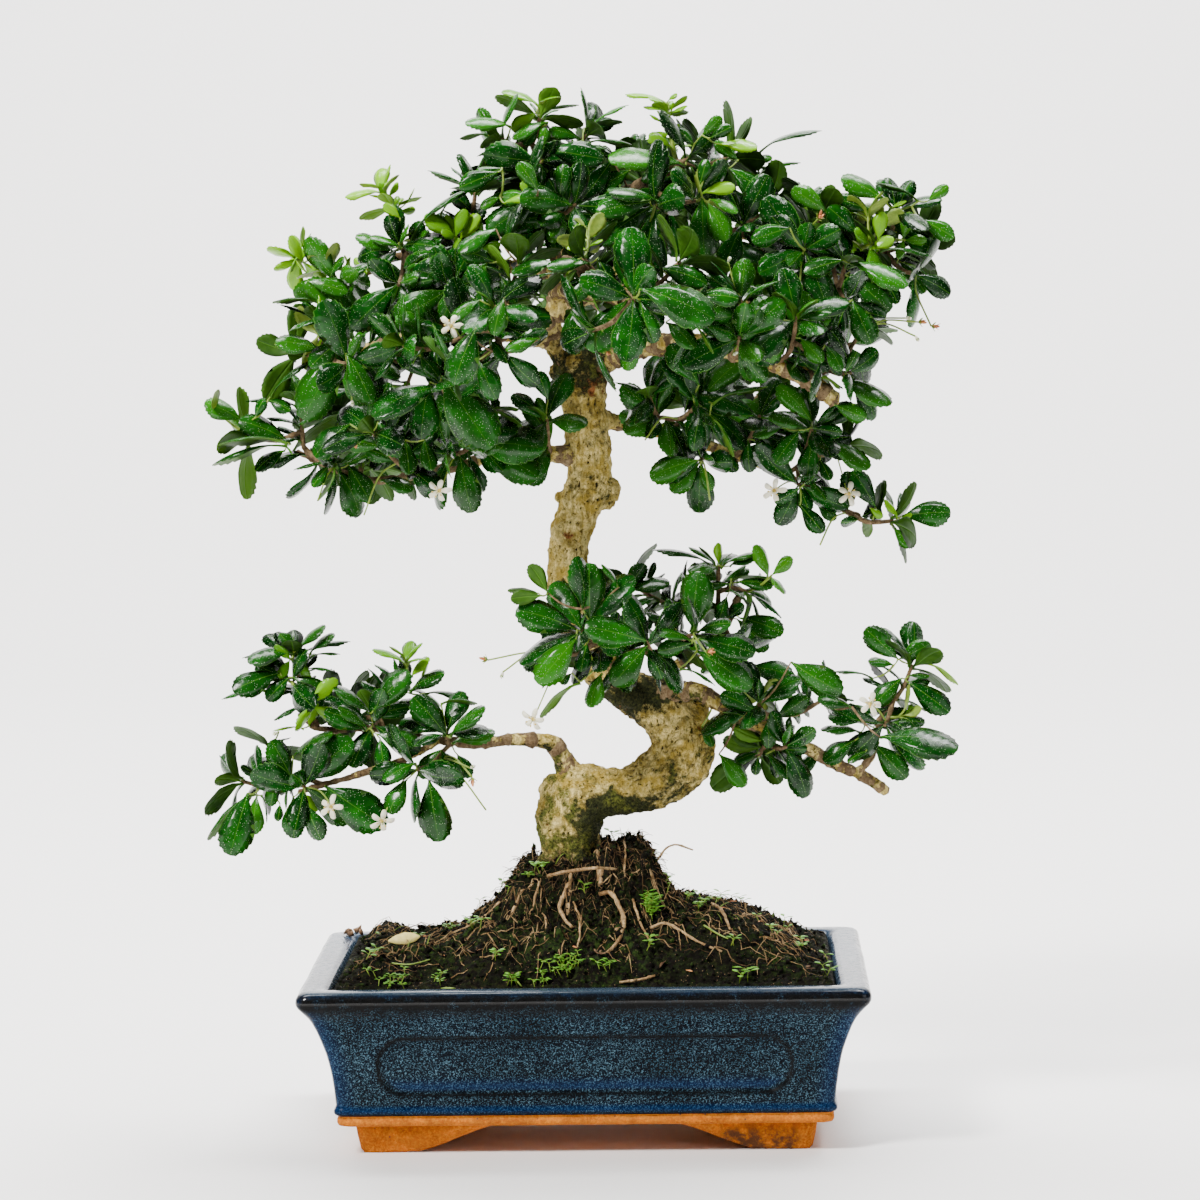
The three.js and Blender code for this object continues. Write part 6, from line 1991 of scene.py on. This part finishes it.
def pose_leaves():
    """The leaves of POSED, each at the depth of the foremost shoot there and joined to the wood by a stem."""
    first = {}
    anchors = []
    for name, (shoots, _) in sprays.items():
        for shoot in shoots:
            for a, b in zip(shoot["centres"], shoot["centres"][1:]):
                for t in (0.0, 0.25, 0.5, 0.75, 1.0):
                    anchors.append((a + (b - a) * t, name))
    for name, on, _ in SPRAYS:
        first.setdefault(on, name)
    for on, path in BRANCHES.items():
        if on in first:
            for q in curve_points(path, 3.0)[3:]:
                anchors.append((vec(*q[:3]), first[on]))
    flat = np.array([project(at) for at, _ in anchors])
    deep = np.array([at[1] for at, _ in anchors])
    placed = {name: [] for name in sprays}
    stems = {name: [] for name in sprays}
    cover = {}
    for token in POSED.split():
        start, rest = token.split(">")
        letters = rest.lstrip("0123456789,")
        start = [int(n) for n in start.split(",")]
        end = [int(n) for n in rest[:len(rest) - len(letters)].split(",")]
        kind, light = letters[0], LIGHT[letters[1:]]
        cost = np.hypot(flat[:, 0] - start[0], flat[:, 1] - start[1]) / 2.237 + 0.3 * deep
        y = anchors[int(np.argmin(cost))][0][1] - 2
        for shift in DEPTH_TRIES:
            leaf = pose_leaf(kind, start, end, y + shift, 1.0 if shift > -20 else 0.92)
            points, faces = coarse_leaf(leaf)
            if not in_limits(points) or not crowd.free(points, faces):
                continue
            root = leaf[0]
            far = np.array([np.linalg.norm(at - root) for at, _ in anchors])
            near = int(np.argmin(far))
            if far[near] > LONGEST_STEM:
                continue
            at, name = anchors[near]
            crowd.put(points, faces)
            placed[name].append((leaf, light))
            for cell, depth in cells_of(points).items():
                cover[cell] = max(cover.get(cell, -1e9), depth)
            if far[near] > 0.8:
                sag = vec(posing.gauss(0, 0.06), posing.gauss(0, 0.06), -0.1) * far[near]
                stem = [at + (root - at) * t + sag * 4 * t * (1 - t) for t in (0.0, 0.3, 0.65, 1.0)]
                thick = 0.5 if far[near] > 9 else 0.38
                stems[name].append(with_radii(stem, [thick + 0.1, thick, thick - 0.06, 0.36]))
                for extra in stem[1:]:
                    anchors.append((extra, name))
            break
    return placed, stems, cover


# Where the photograph shows the backdrop between or beside the leaves, in pixels: left, right, top, bottom.
GAPS = [
    (270, 296, 310, 322), (497, 520, 360, 402), (528, 552, 350, 376), (400, 420, 368, 384),
    (260, 281, 350, 406), (260, 292, 200, 236), (346, 368, 184, 225), (790, 838, 160, 184),
    (700, 770, 84, 116), (822, 845, 126, 176), (760, 790, 200, 210), (950, 980, 240, 294),
    (940, 975, 258, 294), (900, 940, 296, 330), (660, 684, 410, 422), (890, 960, 380, 468),
    (868, 889, 340, 466), (622, 656, 455, 510), (724, 768, 478, 545), (672, 716, 500, 545),
    (600, 650, 520, 556), (780, 860, 530, 575), (222, 274, 704, 738), (336, 366, 625, 680),
    (190, 240, 600, 650), (190, 218, 660, 765), (302, 322, 598, 622), (440, 486, 655, 690),
    (384, 398, 840, 858), (840, 858, 334, 350),
]


def in_gap(points):
    for point in points:
        px, py = project(point)
        if any(left < px < right and top < py < low for left, right, top, low in GAPS):
            return True
    return False


def share_hidden(points):
    """How much of a leaf the posed ones stand before."""
    cells = cells_of(points)
    return sum(cell in cover for cell in cells) / len(cells)


def hides(points):
    """Whether a leaf would stand before one of the posed ones."""
    return any(depth < cover[cell] for cell, depth in cells_of(points).items() if cell in cover)


def fits(points, faces):
    """Whether a small leaf may stand there."""
    if not in_limits(points) or in_open(points) or in_gap(points) or hides(points):
        return False
    return crowd.free(points, faces)


def small_tint(young, points):
    """How light a small leaf is: painted shade makes it darker where posed ones stand before it."""
    high = 0.1 * smooth(395, 430, points[0][2])
    usual = chance.random() < 0.8
    plain = max(0, chance.gauss(0.07 + high, 0.07)) if usual else chance.uniform(0.15, 0.5)
    # Painted shade: the more of the leaf the posed ones stand before, the darker it is.
    return young * chance.uniform(0.7, 1.0) if young else plain - 0.75 * share_hidden(points)


def more_leaves(name, shoots):
    """Further leaves of a spray: rosettes on its shoots between those of the source."""
    out = []
    for shoot in shoots:
        young = YOUNG.get((name, shoot["index"]), 0.0)
        centres = shoot["centres"]
        run = [np.linalg.norm(b - a) for a, b in zip(centres, centres[1:])]
        total = sum(run)
        size = shoot["size"]
        sites = max(1, round((total - 3) / 6.5))
        for k in range(sites + 1):
            reach = total - 3.5 - k * 6.5 if k else total - 0.6
            if reach < 3:
                break
            i, left = 0, reach
            while i < len(run) - 1 and left > run[i]:
                left -= run[i]
                i += 1
            way = unit(centres[i + 1] - centres[i])
            at = centres[i] + way * min(left, run[i])
            any_side = unit(np.cross(way, vec(0.3, 0.2, 1)))
            for number in range(5 if k else 3):
                base = size * chance.uniform(0.62, 1.04) * (0.6 if young > 0.5 else 1)
                for attempt in range(8):
                    angle = 2.4 * number + chance.uniform(-0.9, 0.9) + attempt * 0.9
                    outward = turned(any_side, way, angle)
                    if outward[2] < -0.55 and chance.random() < 0.7:
                        continue
                    opening = math.radians(chance.uniform(15, 50) if k == 0 else chance.uniform(45, 95))
                    along = unit(way * math.cos(opening) + outward * math.sin(opening) + vec(0, -0.08, 0.12))
                    normal = unit(way - along * np.dot(way, along) + vec(0, -0.1, 0.25))
                    normal = unit(normal - along * np.dot(normal, along))
                    normal = turned(normal, along, chance.uniform(-0.4, 0.4))
                    leaf = (at + outward * 0.9, along, normal, base * (1 - 0.05 * attempt))
                    points, faces = coarse_leaf(leaf)
                    if fits(points, faces):
                        crowd.put(points, faces)
                        out.append((leaf, small_tint(young, points)))
                        break
    return out


def build_sprout(form, px, py, y, size, count, bright, number):
    """A bright young shoot that stands on the nearest twig."""
    top = at_depth(px, py, y)
    feet = [shoot[end] for shoots, _ in sprays.values() for shoot in shoots for end in ("tip", "middle")]
    foot = min(feet, key=lambda at: np.linalg.norm(at - top))
    far = np.linalg.norm(foot - top)
    if far > LONGEST_STEM:
        return
    rise = unit(top - foot)
    middle = (foot + top) / 2 + vec(chance.uniform(-1, 1), chance.uniform(-1, 1), -0.06 * far)
    stem = curve_points([[*foot, 0.8], [*middle, 0.7], [*top, 0.5]], 3)
    add_tube(form, stem, 6, 1, tint=0.0, place=[[0, 0, 0]] * (len(stem) * 6 + 1))
    put_tube(crowd, stem[1:])
    any_side = unit(np.cross(rise, vec(0.2, 1, 0.1)))
    for k in range(count):
        share = 1 - 0.13 * (count - 1 - k) if k else 0.7
        at = middle + (top - middle) * min(1.0, max(0.2, share))
        outward = turned(any_side, rise, 2.4 * k)
        opening = math.radians(62 - 40 * k / count)
        along = unit(rise * math.cos(opening) + outward * math.sin(opening))
        normal = unit(rise * math.sin(opening) - outward * math.cos(opening))
        leaf = (at, along, normal, size * (1.5 - 0.65 * k / count))
        points, faces = coarse_leaf(leaf)
        if in_limits(points):
            crowd.put(points, faces)
            add_leaf(form, leaf, bright, 9000 + number * 10 + k, 0.8, 0.98)


posing = random.Random(7)
placed, stems, cover = pose_leaves()
print("leaves posed", sum(len(some) for some in placed.values()), "of", len(POSED.split()))


def spray_leaves(form, order, name, shoots):
    """All leaves of a spray: those of the source, those of the photograph and small ones between."""
    for number, shoot in enumerate(shoots):
        young = YOUNG.get((name, shoot["index"]), 0.0)
        for k, leaf in enumerate(shoot["leaves"]):
            shown = young * (0.7 + 0.1 * k) if young else max(0.0, chance.gauss(0.06, 0.1))
            # Painted shade on the source's leaves, darker the more the posed ones stand before them.
            tint = shown if young else shown - 0.5 * share_hidden(coarse_leaf(leaf)[0])
            add_leaf(form, leaf, tint, order * 100 + number * 10 + k, 0.6)
    for k, (leaf, light) in enumerate(placed[name]):
        tint = max(0.0, light + chance.gauss(0, 0.04))
        add_leaf(form, leaf, tint, 40000 + order * 100 + k, 0.7, chance.uniform(0.92, 1.08))
    added = more_leaves(name, shoots)
    for k, (leaf, tint) in enumerate(added):
        add_leaf(form, leaf, tint, 20000 + order * 100 + k, detail="plain")
    return len(added)


def spray_stems(form, order, name, shoots):
    twig, green = 2, 3
    for number, shoot in enumerate(shoots):
        young = YOUNG.get((name, shoot["index"]), 0.0)
        centres = shoot["centres"]
        line = curve_points(with_radii(centres, np.linspace(1.25, 0.8, len(centres))), 3.0)
        sides = 7
        count = len(line) * sides + 1
        high = [0.45 + 0.5 * noise.noise(Vector((i * 0.37, number, order))) for i in range(count)]
        add_tube(form, line, sides, green if young > 0.6 else twig, tint=0.0, place=[[0, 0, 0]] * count,
                 height=high, algae=0.1, moss=0.05, scar=0.32)
    for stem in stems[name]:
        line = curve_points(stem, 3.0)
        sides = 5
        wooden = line[0][3] > 0.55 and math.dist(line[0][:3], line[-1][:3]) > 15
        add_tube(form, line, sides, twig if wooden else green, tint=0.0,
                 place=[[0, 0, 0]] * (len(line) * sides + 1), height=0.6, algae=0.1, moss=0.05, scar=0.3)


def build_sprays():
    extra = Form("tint", "place", "edge")
    for number, sprout in enumerate(SPROUTS):
        build_sprout(extra, *sprout, number)
    piece(extra, "young_shoots", [LEAF_TOP, STEM], "leaf")
    total = 0
    for order, (name, (shoots, _)) in enumerate(sprays.items()):
        form = Form("tint", "place", "edge", "height", "algae", "moss", "scar")
        spray_stems(form, order, name, shoots)
        total += spray_leaves(form, order, name, shoots)
        piece(form, "leaves_" + name, [LEAF_TOP, LEAF_UNDER, TWIG_BARK, STEM], "leaf", "spray_" + name)
    print("leaves added", total)


build_sprays()


# Flowers, buds and withered flowers


# A petal: shares of its length, with its half width and height there.
PETAL_SHAPE = [
    (0.12, 0.4, 0.3), (0.35, 0.72, 0.85), (0.6, 0.95, 1.1), (0.82, 0.9, 0.8), (0.96, 0.62, 0.2),
    (1.0, 0.2, 0.0),
]


def petal(form, middle, side, axis, length, half):
    """A thin closed petal that opens from the throat and bends back at its end."""
    across = np.cross(axis, side)
    points = []
    for lower in (0.0, 0.22):
        for s, w, h in PETAL_SHAPE:
            rise = axis * (h * 1.1 - lower)
            out = side * s * length
            points += [middle + out + rise * 1.05 - across * w * half, middle + out + rise - axis * 0.16 * w,
                       middle + out + rise * 1.05 + across * w * half]
    n = len(PETAL_SHAPE) * 3
    faces = []
    for i in range(len(PETAL_SHAPE) - 1):
        a, b = i * 3, i * 3 + n
        faces += [(a + 1, a, a + 3, a + 4), (a + 2, a + 1, a + 4, a + 5)]
        faces += [(b, b + 1, b + 4, b + 3), (b + 1, b + 2, b + 5, b + 4)]
        faces += [(a, b, b + 3, a + 3), (b + 2, a + 2, a + 5, b + 5)]
    faces += [(0, 1, n + 1, n), (1, 2, n + 2, n + 1)]
    e = n - 3
    faces += [(e + 1, e, e + n, e + n + 1), (e + 2, e + 1, e + n + 1, e + n + 2)]
    form.add(points, faces, 0)


def bead(form, at, radius, slot, along=None, stretch=1.0):
    mesh = bmesh.new()
    bmesh.ops.create_icosphere(mesh, subdivisions=1, radius=radius)
    way = unit(along) if along is not None else vec(0, 0, 1)
    points = []
    for v in mesh.verts:
        p = np.array(v.co)
        points.append(at + p + way * np.dot(p, way) * (stretch - 1))
    form.add(points, [[v.index for v in face.verts] for face in mesh.faces], slot)
    mesh.free()


def sepals(form, at, axis, side, length=2.6, spread=0.4):
    up = np.cross(axis, side)
    for k in range(5):
        angle = 2 * math.pi * (k + 0.5) / 5
        out = side * math.cos(angle) + up * math.sin(angle)
        way = unit(axis * (1 - spread) + out * spread)
        leaflet(form, at, way, unit(out - way * np.dot(out, way)), length, 0.55, 1, -0.05)


def stalk(form, start, end, axis, slot=1, thick=0.36, droop=0.12):
    length = np.linalg.norm(end - start)
    middle = (start + end) / 2 + vec(0, 0, droop * length) - axis * droop * length
    add_tube(form, curve_points([[*start, thick * 1.15], [*middle, thick], [*end, thick]], 1.6), 6, slot)


def nearest_twig(point):
    best = None
    for shoots, _ in sprays.values():
        for shoot in shoots:
            for a, b in zip(shoot["centres"], shoot["centres"][1:]):
                for t in (0.0, 0.34, 0.67, 1.0):
                    c = a + (b - a) * t
                    far = np.linalg.norm(c - point)
                    if best is None or far < best[0]:
                        best = (far, c)
    return best


def build_flowers():
    for number, (name, _, at, faces) in enumerate(FLOWERS):
        form = Form()
        at, axis = vec(*at), unit(vec(*faces))
        side = unit(np.cross(vec(0, 0, 1), axis))
        up = np.cross(axis, side)
        throat = at - axis * 0.4
        for k in range(5):
            angle = 2 * math.pi * k / 5 + 0.1 * math.sin(number + k)
            out = side * math.cos(angle) + up * math.sin(angle)
            petal(form, throat, out, axis, 5.4 + 0.5 * math.sin(2.3 * k + number), 1.3)
            between = angle + math.pi / 5
            out = side * math.cos(between) + up * math.sin(between)
            foot = throat + out * 0.5
            top = throat + out * 2.1 + axis * 3.2
            add_tube(form, [[*foot, 0.12], [*((foot + top) / 2 + axis * 0.4), 0.1], [*top, 0.09]], 4, 0)
            bead(form, top, 0.42, 2, out, 1.5)
        cup = [[*(throat - axis * 1.5), 0.75], [*(throat - axis * 0.4), 0.85], [*throat, 0.95]]
        add_tube(form, cup, 8, 1)
        bead(form, throat + axis * 0.3, 1.0, 2)
        add_tube(form, [[*throat, 0.16], [*(throat + axis * 4.2 + side * 0.3), 0.12]], 4, 1)
        bead(form, throat + axis * 4.3 + side * 0.3, 0.3, 1)
        sepals(form, at - axis * 2.3, axis, side)
        piece(form, "bloom_" + name.removeprefix("flower_"), [PETAL, STEM, ANTHER], "petal", name)
    form = Form()
    for _, on, at, faces in FLOWERS:
        at, axis = vec(*at), unit(vec(*faces))
        end = at - axis * 2.2
        shoots = sprays[on][0]
        starts = [shoot["middle"] * 0.5 + shoot["tip"] * 0.5 for shoot in shoots]
        stalk(form, min(starts, key=lambda c: np.linalg.norm(c - end)), end, axis, 0)
    piece(form, "flower_stalks", [STEM], "leaf")


# Buds and withered flowers: pixel, depth, kind and the way they point.
BUDS = [
    (472, 777, -34, "old", (0.1, -0.3, -1)), (355, 440, -40, "old", (0, -0.3, -1)),
    (488, 660, -48, "old", (-1, -0.3, 0.3)), (503, 672, -50, "bud", (-0.3, -0.3, -1)),
    (607, 350, -78, "old", (0.2, -0.8, -0.6)), (762, 343, -62, "old", (0.2, -0.8, 0.2)),
    (905, 318, -30, "bud", (1, -0.3, -0.1)), (918, 322, -30, "old", (1, -0.3, 0.0)),
    (931, 326, -28, "old", (1, -0.2, -0.1)), (915, 336, -30, "bud", (0.6, -0.3, -0.8)),
    (278, 732, -30, "bud", (-0.6, -0.5, -0.3)), (739, 285, -56, "bud", (0.2, -0.5, -1)),
    (728, 262, -58, "bud", (0.3, -0.5, 0.6)), (818, 219, -30, "old", (0.4, -0.6, 0.4)),
    (470, 768, -34, "bud", (0.7, -0.4, 0.3)), (352, 400, -48, "bud", (0.1, -0.5, -1)),
    (706, 652, -58, "old", (0.8, -0.6, 0.1)), (800, 282, -40, "bud", (0.1, -0.5, -1)),
    (588, 765, -40, "bud", (0, 0, -1)), (733, 355, -66, "bud", (0.6, -0.6, 0.4)),
    (446, 395, -66, "bud", (0.4, -0.6, 0.2)), (486, 810, -30, "stalk", (0.3, 0, -1)),
    (820, 545, -22, "stalk", (0.2, 0, -1)), (364, 515, -34, "stalk", (0.2, 0, -1)),
    (318, 500, -20, "stalk", (-0.2, 0, -1)), (710, 500, -30, "stalk", (0.1, 0, -1)),
    (645, 440, -28, "stalk", (0, 0, -1)),
]


def build_buds():
    form = Form()
    for px, py, y, kind, way in BUDS:
        at = at_depth(px, py, y)
        axis = unit(vec(*way))
        far, foot = nearest_twig(at)
        if far > 46:
            continue
        side = unit(np.cross(axis, vec(0.3, 0.2, 1)))
        stalk(form, foot, at, axis, 1 if kind != "old" else 3, 0.42, 0.1)
        if kind == "stalk":
            continue
        if kind == "bud":
            bead(form, at + axis * 1.6, 0.85, 0, axis, 2.0)
            sepals(form, at, axis, side, 2.6, 0.22)
            continue
        sepals(form, at, axis, side, 3.0, 0.5)
        for k in range(4):
            out = turned(side, axis, 1.6 * k)
            way_out = unit(axis + out * chance.uniform(0.1, 0.6))
            normal = unit(out - way_out * np.dot(out, way_out))
            length, bend = chance.uniform(2.4, 4.0), chance.uniform(-0.4, 0.5)
            leaflet(form, at + axis * 0.6, way_out, normal, length, 0.7, 2, bend)
    piece(form, "buds", [PETAL, STEM, WITHERED, STEM], "leaf")


build_flowers()
build_buds()


# Floor, light and camera


def build_stage():
    look = Look("floor", Roughness=0.6)
    floor = look.finish((0.90, 0.885, 0.875, 1.0))
    form = Form()
    wide = 6000
    back, bend = 2000, 1100
    profile = [(-5000, 0), (back, 0)]
    for k in range(1, 17):
        angle = math.pi / 2 * k / 16
        profile.append((back + bend * math.sin(angle), bend * (1 - math.cos(angle))))
    profile.append((back + bend, 5000))
    points = [(x, y, z - 0.02) for y, z in profile for x in (-wide, wide)]
    faces = [(2 * i, 2 * i + 1, 2 * i + 3, 2 * i + 2) for i in range(len(profile) - 1)]
    form.add(points, faces)
    mesh = form.mesh("backdrop")
    mesh.materials.append(floor)
    backdrop = bpy.data.objects.new("backdrop", mesh)
    bpy.context.scene.collection.objects.link(backdrop)


def add_light(name, at, target, size, power, colour=(1, 1, 1)):
    lamp = bpy.data.lights.new(name, "AREA")
    lamp.shape = "RECTANGLE"
    lamp.size, lamp.size_y = size
    lamp.energy = power
    lamp.color = colour
    holder = bpy.data.objects.new(name, lamp)
    bpy.context.scene.collection.objects.link(holder)
    holder.location = at
    way = Vector(target) - Vector(at)
    holder.rotation_euler = way.to_track_quat("-Z", "Y").to_euler()


def build_light():
    world = bpy.data.worlds.new("soft_room")
    bpy.context.scene.world = world
    world.use_nodes = True
    back = world.node_tree.nodes["Background"]
    back.inputs["Color"].default_value = (0.93, 0.94, 1.0, 1.0)
    back.inputs["Strength"].default_value = 0.058
    add_light("key", (-1.2, -1.3, 1.8), (0, 0, 0.25), (0.5, 0.5), 116, (1.0, 0.985, 0.96))
    add_light("fill", (1.7, -1.4, 0.9), (0, 0, 0.2), (1.2, 1.2), 9, (0.95, 0.97, 1.0))
    add_light("top", (0.3, 0.3, 1.9), (0, 0, 0.2), (1.0, 0.8), 38)
    add_light("wall", (0, 0.9, 3.0), (0, 2.7, 0.5), (3.4, 1.0), 330)


def build_camera():
    lens = bpy.data.cameras.new("camera")
    lens.sensor_fit = "HORIZONTAL"
    lens.sensor_width = 36.0
    lens.lens = FOCAL / PIXELS * 36.0
    lens.clip_start = 0.05
    lens.clip_end = 50
    holder = bpy.data.objects.new("camera", lens)
    bpy.context.scene.collection.objects.link(holder)
    where = CAMERA_AT * 0.001 + SHIFT
    turn = Matrix([[RIGHT[i], UP[i], -FORWARD[i]] for i in range(3)]).to_4x4()
    holder.matrix_world = Matrix.Translation(Vector(where)) @ turn
    bpy.context.scene.camera = holder


build_stage()
build_light()
build_camera()
